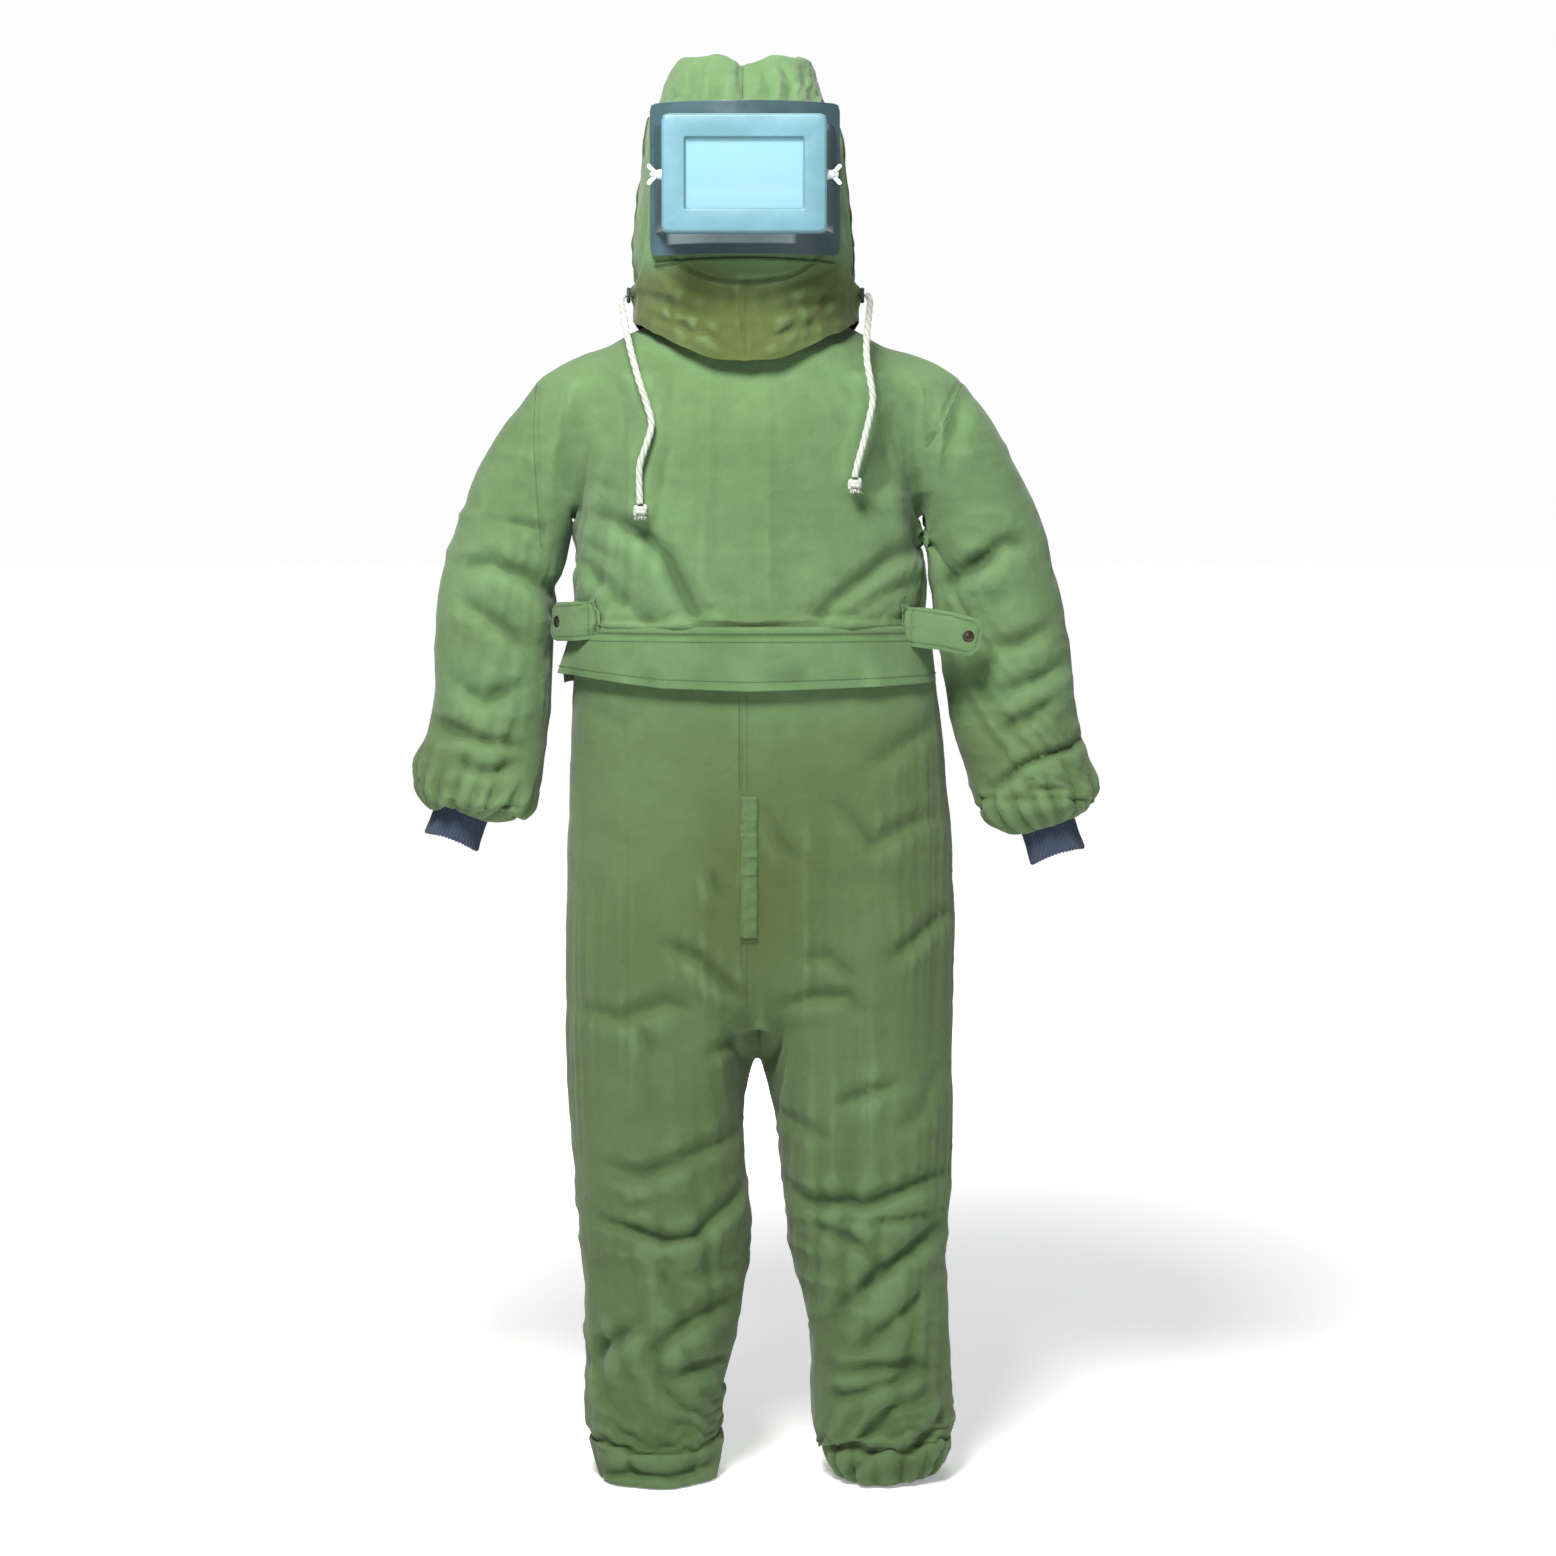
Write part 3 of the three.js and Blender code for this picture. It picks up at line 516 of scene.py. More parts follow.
def lined_piece(name, coarse, fine, chosen, finish, centre, radius, along=None, marks=None):
    """Cuts the chosen coarse quads out of the cloth as one closed, lined piece that shades as the whole does."""
    n, ne = len(coarse.co), len(coarse.edges)
    picked = np.nonzero(chosen)[0]
    whole_normals = fine.normals()
    outer_faces = fine.quads.reshape(-1, 4, 4)[picked].reshape(-1, 4)
    used_outer = np.unique(outer_faces)
    inner_src = coarse.quads[picked]
    used_inner = np.unique(inner_src)
    to_outer = np.full(len(fine.co), -1)
    to_outer[used_outer] = np.arange(len(used_outer))
    to_inner = np.full(n, -1)
    to_inner[used_inner] = np.arange(len(used_inner)) + len(used_outer)
    normals_c = whole_normals[:n]
    inside = fine.co[:n] - normals_c * CLOTH
    points = np.vstack([fine.co[used_outer], inside[used_inner]])
    normals = np.vstack([whole_normals[used_outer], -normals_c[used_inner]])
    quads = np.vstack([to_outer[outer_faces], to_inner[inner_src][:, ::-1]])
    use = np.bincount(coarse.quad_edges[picked].ravel(), minlength=ne)
    rim = []
    on_rim = use[coarse.quad_edges[picked]] == 1
    for row, col in zip(*np.nonzero(on_rim)):
        q = inner_src[row]
        a, b = q[col], q[(col + 1) % 4]
        m = n + coarse.quad_edges[picked[row], col]
        oa, ob, om, ia, ib = to_outer[a], to_outer[b], to_outer[m], to_inner[a], to_inner[b]
        rim += [(om, oa, ia), (om, ia, ib), (ob, om, ib)]
    faces = quads.tolist() + rim
    mesh = bpy.data.meshes.new(name)
    mesh.from_pydata(points.tolist(), [], faces)
    mesh.update()
    smooth_shaded(mesh)
    uv = mesh.uv_layers.new(name="cloth")
    corners = unwrap(points, quads, centre, radius, along).reshape(-1, 2)
    if rim:
        extra = unwrap(points, np.array(rim), centre, radius, along).reshape(-1, 2)
        corners = np.vstack([corners, extra])
    uv.data.foreach_set("uv", corners.astype(np.float32).ravel())
    for mark, values in (marks or {}).items():
        add_mark(mesh, mark, np.concatenate([values[used_outer], values[:n][used_inner]]))
    mesh.normals_split_custom_set_from_vertices(normals.tolist())
    mesh.materials.append(finish)
    return new_piece(name, mesh)


def own_weights(piece, values):
    """Replaces a blended piece's shares of its second body."""
    attribute = piece.data.attributes.get("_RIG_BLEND")
    attribute.data.foreach_set("value", np.asarray(values, np.float32))


def even_border(skin, keep, rounds=30):
    """Straightens the line along which the chosen quads are cut from the cloth."""
    use = np.bincount(skin.quad_edges[keep].ravel(), minlength=len(skin.edges))
    all_use = np.bincount(skin.quad_edges.ravel(), minlength=len(skin.edges))
    rim = skin.edges[(use == 1) & (all_use == 2)]
    count = np.bincount(rim.ravel(), minlength=len(skin.co))
    two = count == 2
    for _ in range(rounds):
        total = np.zeros_like(skin.co)
        np.add.at(total, rim[:, 0], skin.co[rim[:, 1]])
        np.add.at(total, rim[:, 1], skin.co[rim[:, 0]])
        skin.co[two] += 0.5 * (total[two] / 2 - skin.co[two])
    near = np.zeros(len(skin.co), bool)
    touching = (count > 0)[skin.edges].any(1)
    near[skin.edges[touching].ravel()] = True
    near &= count == 0
    degree = np.maximum(np.bincount(skin.edges.ravel(), minlength=len(skin.co)), 1)
    for _ in range(4):
        total = np.zeros_like(skin.co)
        np.add.at(total, skin.edges[:, 0], skin.co[skin.edges[:, 1]])
        np.add.at(total, skin.edges[:, 1], skin.co[skin.edges[:, 0]])
        skin.co[near] = 0.4 * skin.co[near] + 0.6 * (total / degree[:, None])[near]


# ------------------------------------------------------------------ node writing
def srgb(r, g, b):
    lin = lambda v: ((v / 255 + 0.055) / 1.055) ** 2.4 if v > 10 else v / 255 / 12.92
    return (lin(r), lin(g), lin(b), 1.0)


def tinted(colour, times, plus=0.0):
    """A paler or darker tone of a colour."""
    return tuple(min(1, c * times + plus) for c in colour[:3]) + (1,)


class Wire:
    """A value in a material. Arithmetic on it adds the Math nodes."""

    def __init__(self, finish, socket):
        self.finish, self.socket = finish, socket

    def _do(self, operation, *values, **extra):
        return self.finish.math(operation, *values, **extra)

    def __add__(self, other):
        return self._do("ADD", self, other)

    __radd__ = __add__

    def __mul__(self, other):
        return self._do("MULTIPLY", self, other)

    __rmul__ = __mul__

    def __sub__(self, other):
        return self._do("SUBTRACT", self, other)

    def __rsub__(self, other):
        return self._do("SUBTRACT", other, self)

    def sine(self):
        return self._do("SINE", self)

    def size(self):
        return self._do("ABSOLUTE", self)

    def clipped(self):
        return self._do("ADD", self, 0.0, use_clamp=True)

    def between(self, low, high):
        """0 below low, 1 above high, and a smooth step between them."""
        return Wire(self.finish, self.finish.node(
            "ShaderNodeMapRange",
            {"interpolation_type": "SMOOTHSTEP"},
            {"Value": self, "From Min": low, "From Max": high, "To Min": 0.0, "To Max": 1.0},
        ).outputs["Result"])


class Finish:
    """A material under construction."""

    def __init__(self, name):
        self.material = bpy.data.materials.new(name)
        self.material.use_nodes = True
        self.tree = self.material.node_tree
        self.tree.nodes.clear()
        self.output = self.tree.nodes.new("ShaderNodeOutputMaterial")

    def node(self, kind, settings=None, inputs=None):
        node = self.tree.nodes.new(kind)
        for key, value in (settings or {}).items():
            setattr(node, key, value)
        for key, value in (inputs or {}).items():
            if isinstance(value, Wire):
                self.tree.links.new(value.socket, node.inputs[key])
            else:
                node.inputs[key].default_value = value
        return node

    def math(self, operation, *values, **extra):
        node = self.node("ShaderNodeMath", {"operation": operation, **extra}, dict(enumerate(values)))
        return Wire(self, node.outputs[0])

    def spot(self):
        """Object coordinates."""
        return Wire(self, self.node("ShaderNodeTexCoord").outputs["Object"])

    def uv(self):
        return Wire(self, self.node("ShaderNodeUVMap", {"uv_map": "cloth"}).outputs["UV"])

    def mark(self, name):
        return Wire(self, self.node("ShaderNodeAttribute", {"attribute_name": name}).outputs["Fac"])

    def parts(self, vector):
        node = self.node("ShaderNodeSeparateXYZ", None, {"Vector": vector})
        return [Wire(self, node.outputs[i]) for i in range(3)]

    def placed(self, vector, scale=(1, 1, 1), turn=(0, 0, 0)):
        node = self.node("ShaderNodeMapping", None, {"Vector": vector, "Scale": scale, "Rotation": turn})
        return Wire(self, node.outputs[0])

    def noise(self, vector, scale, detail=3.0, rough=0.55, twist=0.0):
        node = self.node("ShaderNodeTexNoise", None, {"Vector": vector, "Scale": scale, "Detail": detail,
            "Roughness": rough, "Distortion": twist})
        return Wire(self, node.outputs["Fac"] if "Fac" in node.outputs else node.outputs[0])

    def mix(self, share, a, b):
        node = self.node("ShaderNodeMix", {"data_type": "RGBA"}, {0: share, 6: a, 7: b})
        return Wire(self, node.outputs[2])

    def bump(self, height, strength, distance, under=None):
        inputs = {"Height": height, "Strength": strength, "Distance": distance}
        if under is not None:
            inputs["Normal"] = under
        return Wire(self, self.node("ShaderNodeBump", None, inputs).outputs[0])

    def surface(self, **inputs):
        names = {k.replace("_", " "): v for k, v in inputs.items()}
        shader = self.node("ShaderNodeBsdfPrincipled", None, names)
        self.tree.links.new(shader.outputs[0], self.output.inputs["Surface"])
        return self.material


def canvas_finish(name, fresh, worn, deep, olive, weave=1.0):
    """Dyed cotton canvas: a twill weave and uneven dye, painted shade in the hollows, and paler worn ridges that partly
    carry a painted highlight.
    """
    f = Finish(name)
    u, v, _ = f.parts(f.uv())
    spot = f.spot()
    ridge, tone = f.mark("ridge"), f.mark("tone")
    warp = (u * (2 * math.pi / 0.00105)).sine()
    weft = (v * (2 * math.pi / 0.00095)).sine()
    twill = ((u + v) * (2 * math.pi / 0.0021)).sine()
    threads = warp * 0.35 + weft * 0.35 + twill * 0.3
    slub = f.noise(f.placed(f.uv(), scale=(260, 2600, 1)), 1.0,
        2.0) * 0.5 + f.noise(f.placed(f.uv(), scale=(2600, 260, 1)), 1.0, 2.0) * 0.5
    cloud = f.noise(spot, 5.0, 4.0, 0.6)
    blotch = f.noise(spot, 17.0, 4.0, 0.62, 0.4)
    speck = f.noise(spot, 420.0, 2.0)
    dye = f.mix((cloud * 0.62 + blotch * 0.38).between(0.34, 0.68), fresh, worn)
    dye = f.mix((tone * 1.0).clipped(), dye, olive)
    # painted shade: hollows of the cloth are darkened towards the deep colour, more where the blotches are
    hollow_shade = (ridge * -1.0).between(0.0, 1.2) * (0.45 + 0.4 * blotch)
    dye = f.mix(hollow_shade.clipped(), dye, deep)
    # partly wear, partly painted highlight: ridges are lightened towards a paler worn green and made a little glossier
    wear_and_highlight = ridge.between(0.15, 1.1) * (cloud * 0.5 + blotch * 0.35)
    dye = f.mix((wear_and_highlight * 0.7).clipped(), dye, tinted(worn, 1.32, 0.012))
    dye = f.mix((slub - 0.5).size() * 0.5 + (speck - 0.5).size() * 0.35, dye, tinted(fresh, 0.62))
    dye = f.mix((threads * 0.04 * weave + 0.04), dye, tinted(fresh, 0.4))
    wrinkle = f.noise(spot, 46.0, 5.0, 0.6, 0.8)
    crumple = f.noise(f.placed(spot, scale=(1.0, 1.0, 0.45), turn=(0.0, 0.5, 0.3)), 120.0, 4.0, 0.55, 0.5)
    normal = f.bump(wrinkle, 0.32, 0.0055)
    normal = f.bump(crumple, 0.22, 0.0016, normal)
    normal = f.bump(threads * 0.5 + slub, 0.22 * weave, 0.0003, normal)
    rough = (0.97 - 0.16 * wear_and_highlight + (speck - 0.5) * 0.1).clipped()
    return f.surface(Base_Color=dye, Roughness=rough, Normal=normal, Sheen_Weight=0.12, Sheen_Roughness=0.5,
        Specular_IOR_Level=0.22)


def knit_finish(name, colour):
    f = Finish(name)
    u, v, _ = f.parts(f.uv())
    spot = f.spot()
    stitch = (v * (2 * math.pi / 0.0016) + (u * (2 * math.pi / 0.0022)).sine() * 1.4).sine()
    fuzz = f.noise(spot, 900.0, 3.0)
    wide = f.noise(spot, 40.0, 3.0)
    tint = f.mix((fuzz * 0.5 + wide * 0.4).clipped(), tinted(colour, 0.55), tinted(colour, 1.7))
    tint = f.mix((stitch * -0.5 + 0.1).clipped(), tint, tinted(colour, 0.35))
    normal = f.bump(stitch, 0.35, 0.0005)
    normal = f.bump(fuzz, 0.2, 0.0006, normal)
    return f.surface(Base_Color=tint, Roughness=(0.9 + 0.08 * fuzz).clipped(), Normal=normal, Sheen_Weight=0.35,
        Sheen_Roughness=0.4)


def plastic_finish(name, colour, dark, rough=0.28, painted_reflection=0.0, coat=0.15):
    """Moulded plastic with fine blasting pits, scuffs along its length and a dusty film."""
    f = Finish(name)
    spot = f.spot()
    x, y, z = f.parts(spot)
    film = f.noise(spot, 14.0, 4.0, 0.6)
    pit = f.noise(spot, 900.0, 2.0)
    scuff = f.noise(f.placed(spot, scale=(1, 1, 18), turn=(0.0, 0.35, 0.0)), 60.0, 3.0, 0.7)
    scratches = scuff.between(0.6, 0.72) * film.between(0.35, 0.7)
    tint = f.mix(film.between(0.3, 0.75), dark, colour)
    tint = f.mix(scratches * 0.35, tint, tinted(colour, 1.6, 0.06))
    # painted reflection: a pale strip along the bottom of the flange, under the window, in place of the lights'
    # reflection on the gloss
    if painted_reflection:
        band = z.between(0.1005, 0.1035) * (1 - z.between(0.1125, 0.1155)) * x.between(-0.096,
            -0.088) * (1 - x.between(0.056, 0.064))
        band = band * y.between(-0.19, -0.12).size()
        tint = f.mix((band * (0.45 + 0.5 * f.noise(spot, 38.0, 3.0))).clipped() * painted_reflection, tint, srgb(196, 214, 216))
    normal = f.bump(pit, 0.12, 0.0003)
    normal = f.bump(scuff, 0.1, 0.0006, normal)
    gloss = (rough + 0.22 * film + 0.25 * scratches + (pit - 0.5) * 0.12).clipped()
    return f.surface(Base_Color=tint, Roughness=gloss, Normal=normal, Coat_Weight=coat, Coat_Roughness=0.25,
        Specular_IOR_Level=0.5)


def metal_finish(name, colour, dark, rough=0.35, metallic=0.9):
    f = Finish(name)
    spot = f.spot()
    grain = f.noise(spot, 1400.0, 3.0)
    bloom = f.noise(spot, 190.0, 4.0, 0.65)
    tint = f.mix(bloom.between(0.38, 0.7), colour, dark)
    normal = f.bump(grain, 0.15, 0.0003)
    return f.surface(Base_Color=tint, Metallic=(metallic - 0.35 * bloom.between(0.6, 0.8)).clipped(),
        Roughness=(rough + 0.3 * bloom).clipped(), Normal=normal)


def lens_finish(name):
    f = Finish(name)
    spot = f.spot()
    haze = f.noise(spot, 9.0, 3.0)
    fine = f.noise(spot, 700.0, 2.0)
    tint = f.mix(haze.between(0.3, 0.7) * 0.5, srgb(94, 128, 138), srgb(100, 132, 141))
    # painted light: the glass is given a pale cyan glow in place of light passing through it
    glow = f.mix(haze.between(0.3, 0.7) * 0.5, srgb(168, 226, 245), srgb(176, 231, 247))
    return f.surface(Base_Color=tint, Roughness=(0.07 + 0.05 * haze + (fine - 0.5) * 0.02).clipped(),
        Emission_Color=glow, Emission_Strength=0.30, Coat_Weight=0.4, Coat_Roughness=0.05,
        Normal=f.bump(fine, 0.02, 0.0001))


def cotton_finish(name):
    f = Finish(name)
    spot = f.spot()
    fibre = f.noise(f.placed(f.uv(), scale=(900, 240, 1)), 1.0, 3.0)
    grime = f.noise(spot, 60.0, 3.0)
    hollow = f.mark("ridge")
    tint = f.mix((fibre * 0.5 + grime.between(0.45, 0.75) * 0.4).clipped(), srgb(176, 182, 174), srgb(140, 146, 134))
    # painted shade: the cord is darkened in the hollows of its twist
    tint = f.mix(((hollow * -1.0).between(0.0, 1.0) * 0.7).clipped(), tint, srgb(84, 88, 76))
    normal = f.bump(fibre, 0.4, 0.0006)
    return f.surface(Base_Color=tint, Roughness=(0.88 + 0.1 * fibre).clipped(), Normal=normal, Sheen_Weight=0.3,
        Sheen_Roughness=0.5)


def rubber_finish(name, colour, uneven=0.4):
    f = Finish(name)
    spot = f.spot()
    dust = f.noise(spot, 120.0, 4.0, 0.6)
    fine = f.noise(spot, 1200.0, 2.0)
    tint = f.mix(dust.between(0.4, 0.8) * uneven, colour, tinted(colour, 2.2, 0.02))
    return f.surface(Base_Color=tint, Roughness=(0.62 + 0.25 * dust).clipped(),
        Normal=f.bump(fine + dust, 0.15, 0.0005))


def thread_finish(name, colour):
    f = Finish(name)
    spot = f.spot()
    twist = f.noise(spot, 1500.0, 2.0)
    fade = f.noise(spot, 25.0, 2.0)
    tint = f.mix((twist * 0.4 + fade * 0.4).clipped(), colour, tinted(colour, 1.6))
    return f.surface(Base_Color=tint, Roughness=(0.8 + 0.1 * twist).clipped(), Normal=f.bump(twist, 0.2, 0.0002),
        Sheen_Weight=0.2)


def floor_finish(name):
    f = Finish(name)
    spot = f.spot()
    shade = f.noise(spot, 1.2, 3.0)
    tint = f.mix(shade, (0.90, 0.905, 0.905, 1), (0.93, 0.93, 0.93, 1))
    x, y, _ = f.parts(spot)
    away = (x * x + y * y).between(1.0, 9.0)
    glow = f.mix(away, (0.30, 0.30, 0.30, 1), (0.89, 0.89, 0.89, 1))
    return f.surface(Base_Color=tint, Roughness=(0.85 + 0.1 * shade).clipped(), Emission_Color=glow,
        Emission_Strength=1.0)


def make_finishes(colours):
    green, shade, navy = tuple(colours.canvas), tuple(colours.canvas_worn), tuple(colours.knit)
    # the dark green of the painted shade in the canvas's hollows
    deep = tinted(green, 0.42)
    olive = tuple(colours.olive)
    F = FINISHES
    F["canvas"] = canvas_finish("green_canvas", green + (1,), shade + (1,), deep, olive + (1,))
    F["knit"] = knit_finish("navy_knit", navy + (1,))
    F["elastic"] = rubber_finish("elastic_band", srgb(44, 48, 46))
    F["shell"] = plastic_finish("teal_plastic", tuple(colours.shell) + (1,), tinted(colours.shell, 0.62), 0.2,
        painted_reflection=1.0)
    F["bezel"] = plastic_finish("pale_teal_plastic", tuple(colours.bezel) + (1,), tinted(colours.bezel, 0.8), 0.26)
    F["lens"] = lens_finish("clear_lens")
    F["rubber"] = rubber_finish("black_rubber", srgb(34, 37, 38))
    F["zinc"] = metal_finish("zinc_steel", srgb(205, 208, 214), srgb(150, 154, 160))
    F["wing"] = metal_finish("pale_wing_steel", srgb(228, 230, 234), srgb(186, 190, 198), 0.45, 0.35)
    F["brass"] = metal_finish("dark_brass", srgb(74, 70, 56), srgb(38, 36, 30), 0.3, 0.85)
    F["cotton"] = cotton_finish("white_cotton")
    F["thread"] = thread_finish("canvas_thread", srgb(70, 96, 58))
    F["dark_thread"] = thread_finish("dark_thread", srgb(38, 54, 33))
    F["piping"] = canvas_finish("dark_piping", srgb(52, 74, 44), srgb(66, 90, 54), srgb(24, 34, 20), srgb(60, 72, 40))
    F["floor"] = floor_finish("pale_floor")


# ------------------------------------------------------------------ repeated pieces (Geometry Nodes)
def nodes_tree(name, sizes):
    tree = bpy.data.node_groups.new(name, "GeometryNodeTree")
    tree.interface.new_socket("Geometry", in_out="INPUT", socket_type="NodeSocketGeometry")
    tree.interface.new_socket("Geometry", in_out="OUTPUT", socket_type="NodeSocketGeometry")
    for label, kind, default in sizes:
        socket = tree.interface.new_socket(label, in_out="INPUT", socket_type=kind)
        if default is not None:
            socket.default_value = default
    return tree, tree.nodes.new("NodeGroupInput"), tree.nodes.new("NodeGroupOutput")


def add_node(tree, kind, settings=None, links=None):
    node = tree.nodes.new(kind)
    for key, value in (settings or {}).items():
        setattr(node, key, value)
    for key, value in (links or {}).items():
        if isinstance(value, bpy.types.NodeSocket):
            tree.links.new(value, node.inputs[key])
        else:
            node.inputs[key].default_value = value
    return node


def run_tree(piece, tree, values):
    """Gives a piece the tree, sets its inputs by their identifiers, and keeps the plain result."""
    modifier = piece.modifiers.new("build", "NODES")
    modifier.node_group = tree
    ids = {i.name: i.identifier for i in tree.interface.items_tree if i.item_type == "SOCKET" and i.in_out == "INPUT"}
    for label, value in values.items():
        modifier[ids[label]] = value
    return settle_modifiers(piece)


def stitch_tree():
    """Sews a row of short thread bars along each line it is given."""
    tree, start, end = nodes_tree("sewn_rows", [
        ("Pitch", "NodeSocketFloat", 0.0034),
        ("Length", "NodeSocketFloat", 0.0024),
        ("Thread", "NodeSocketFloat", 0.0005),
        ("Seed", "NodeSocketInt", 3),
        ("Thread material", "NodeSocketMaterial", None),
    ])
    g = start.outputs
    curve = add_node(tree, "GeometryNodeMeshToCurve", None, {"Mesh": g["Geometry"]})
    spaced = add_node(tree, "GeometryNodeResampleCurve", {"mode": "LENGTH"},
        {"Curve": curve.outputs[0], "Length": g["Pitch"]})
    points = add_node(tree, "GeometryNodeCurveToPoints", {"mode": "EVALUATED"}, {"Curve": spaced.outputs[0]})
    bead = add_node(tree, "GeometryNodeMeshIcoSphere", None, {"Radius": 1.0, "Subdivisions": 1})
    half = add_node(tree, "ShaderNodeMath", {"operation": "MULTIPLY"}, {0: g["Length"], 1: 0.5})
    jitter = add_node(tree, "FunctionNodeRandomValue", {"data_type": "FLOAT"},
        {"Min": 0.85, "Max": 1.12, "Seed": g["Seed"]})
    long_ = add_node(tree, "ShaderNodeMath", {"operation": "MULTIPLY"}, {0: half.outputs[0], 1: jitter.outputs[1]})
    size = add_node(tree, "ShaderNodeCombineXYZ", None, {"X": g["Thread"], "Y": g["Thread"], "Z": long_.outputs[0]})
    laid = add_node(tree, "GeometryNodeInstanceOnPoints", None,
        {"Points": points.outputs["Points"], "Instance": bead.outputs[0], "Rotation": points.outputs["Rotation"],
        "Scale": size.outputs[0]})
    real = add_node(tree, "GeometryNodeRealizeInstances", None, {"Geometry": laid.outputs[0]})
    done = add_node(tree, "GeometryNodeSetMaterial", None, {"Geometry": real.outputs[0],
        "Material": g["Thread material"]})
    tree.links.new(done.outputs[0], end.inputs[0])
    return tree


def rib_tree():
    """Raises ribs round a knitted tube, and pinches the ribs unevenly."""
    tree, start, end = nodes_tree("knitted_ribs", [
        ("Ribs", "NodeSocketFloat", 44.0),
        ("Depth", "NodeSocketFloat", 0.0011),
        ("Unevenness", "NodeSocketFloat", 0.0012),
        ("Knit material", "NodeSocketMaterial", None),
    ])
    g = start.outputs
    turn = add_node(tree, "GeometryNodeInputNamedAttribute", {"data_type": "FLOAT"}, {"Name": "turn"})
    angle = add_node(tree, "ShaderNodeMath", {"operation": "MULTIPLY"}, {0: turn.outputs[0], 1: g["Ribs"]})
    wave = add_node(tree, "ShaderNodeMath", {"operation": "COSINE"}, {0: angle.outputs[0]})
    rib = add_node(tree, "ShaderNodeMath", {"operation": "MULTIPLY"}, {0: wave.outputs[0], 1: g["Depth"]})
    where = add_node(tree, "GeometryNodeInputPosition")
    rough = add_node(tree, "ShaderNodeTexNoise", None, {"Vector": where.outputs[0], "Scale": 60.0, "Detail": 2.0})
    centred = add_node(tree, "ShaderNodeMath", {"operation": "SUBTRACT"}, {0: rough.outputs[0], 1: 0.5})
    uneven = add_node(tree, "ShaderNodeMath", {"operation": "MULTIPLY"}, {0: centred.outputs[0], 1: g["Unevenness"]})
    lift = add_node(tree, "ShaderNodeMath", {"operation": "ADD"}, {0: rib.outputs[0], 1: uneven.outputs[0]})
    normal = add_node(tree, "GeometryNodeInputNormal")
    push = add_node(tree, "ShaderNodeVectorMath", {"operation": "SCALE"},
        {0: normal.outputs[0], "Scale": lift.outputs[0]})
    moved = add_node(tree, "GeometryNodeSetPosition", None, {"Geometry": g["Geometry"], "Offset": push.outputs[0]})
    real = add_node(tree, "GeometryNodeRealizeInstances", None, {"Geometry": moved.outputs[0]})
    done = add_node(tree, "GeometryNodeSetMaterial", None, {"Geometry": real.outputs[0],
        "Material": g["Knit material"]})
    tree.links.new(done.outputs[0], end.inputs[0])
    return tree


TREES = {}


def sew(name, lines, thread="thread", pitch=0.0036, length=0.0026, width=0.00055):
    """One piece of stitching along the lines, which are arrays of points on the cloth."""
    points, edges, first = [], [], 0
    for line in lines:
        line = np.asarray(line, float)
        if len(line) < 2:
            continue
        points.append(line)
        edges += [(first + i, first + i + 1) for i in range(len(line) - 1)]
        first += len(line)
    mesh = bpy.data.meshes.new(name)
    mesh.from_pydata(np.vstack(points).tolist(), edges, [])
    piece = new_piece(name, mesh)
    if "stitch" not in TREES:
        TREES["stitch"] = stitch_tree()
    run_tree(piece, TREES["stitch"], {"Pitch": pitch, "Length": length, "Thread": width, "Seed": 3,
        "Thread material": FINISHES[thread]})
    smooth_shaded(piece.data)
    return piece


def laid_on(surface, line, step=0.004, lift=0.0004, from_back=False):
    """A line of (x, z) put on the front of a finished surface, or on its back."""
    tree = FINISHED[surface]
    line = np.array(line, float)
    run = run_along(line)
    out = []
    for s in np.arange(0, run[-1] + 1e-9, step):
        x, z = np.interp(s, run, line[:, 0]), np.interp(s, run, line[:, 1])
        way = -1 if from_back else 1
        hit, normal, _, _ = tree.ray_cast(Vector((x, -1.0 * way, z)), Vector((0, way, 0)), 2.0)
        if hit is not None:
            out.append(np.array(hit) + np.array(normal) * lift)
    return np.array(out)


def take_weights(piece, a, b, source, start, end):
    """Blends a small piece between two bodies just as the cloth under it does."""
    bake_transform(piece, a, b, start, end)
    if source is not None:
        co = places(source.data)
        values = np.empty(len(co), np.float32)
        source.data.attributes["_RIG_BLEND"].data.foreach_get("value", values)
        tree = nearest_of(co)
        own_weights(piece, [values[tree.find(p)[1]] for p in places(piece.data)])
    return piece


# ------------------------------------------------------------------ the suit's own tables, in metres
# A ring is (height above the soles, x, y, half width, half depth, lean in degrees).
TRUNK = [
    (0.614, 0.016, 0.004, 0.238, 0.112), (0.640, 0.018, 0.004, 0.244, 0.126), (0.700, 0.018, 0.004, 0.247, 0.127),
    (0.800, 0.018, 0.003, 0.245, 0.127),
    (0.900, 0.016, 0.003, 0.238, 0.125), (1.000, 0.012, 0.001, 0.229, 0.122), (1.070, 0.006, 0.000, 0.220, 0.123),
    (1.100, 0.004, 0.000, 0.219, 0.128), (1.160, 0.002, 0.000, 0.219, 0.131), (1.230, 0.000, 0.000, 0.216, 0.130),
    (1.310, 0.000, 0.000, 0.211, 0.127), (1.380, 0.000, 0.002, 0.204, 0.121), (1.414, 0.000, 0.004, 0.190, 0.111),
    (1.440, 0.000, 0.006, 0.163, 0.099), (1.466, 0.000, 0.006, 0.110, 0.080),
]
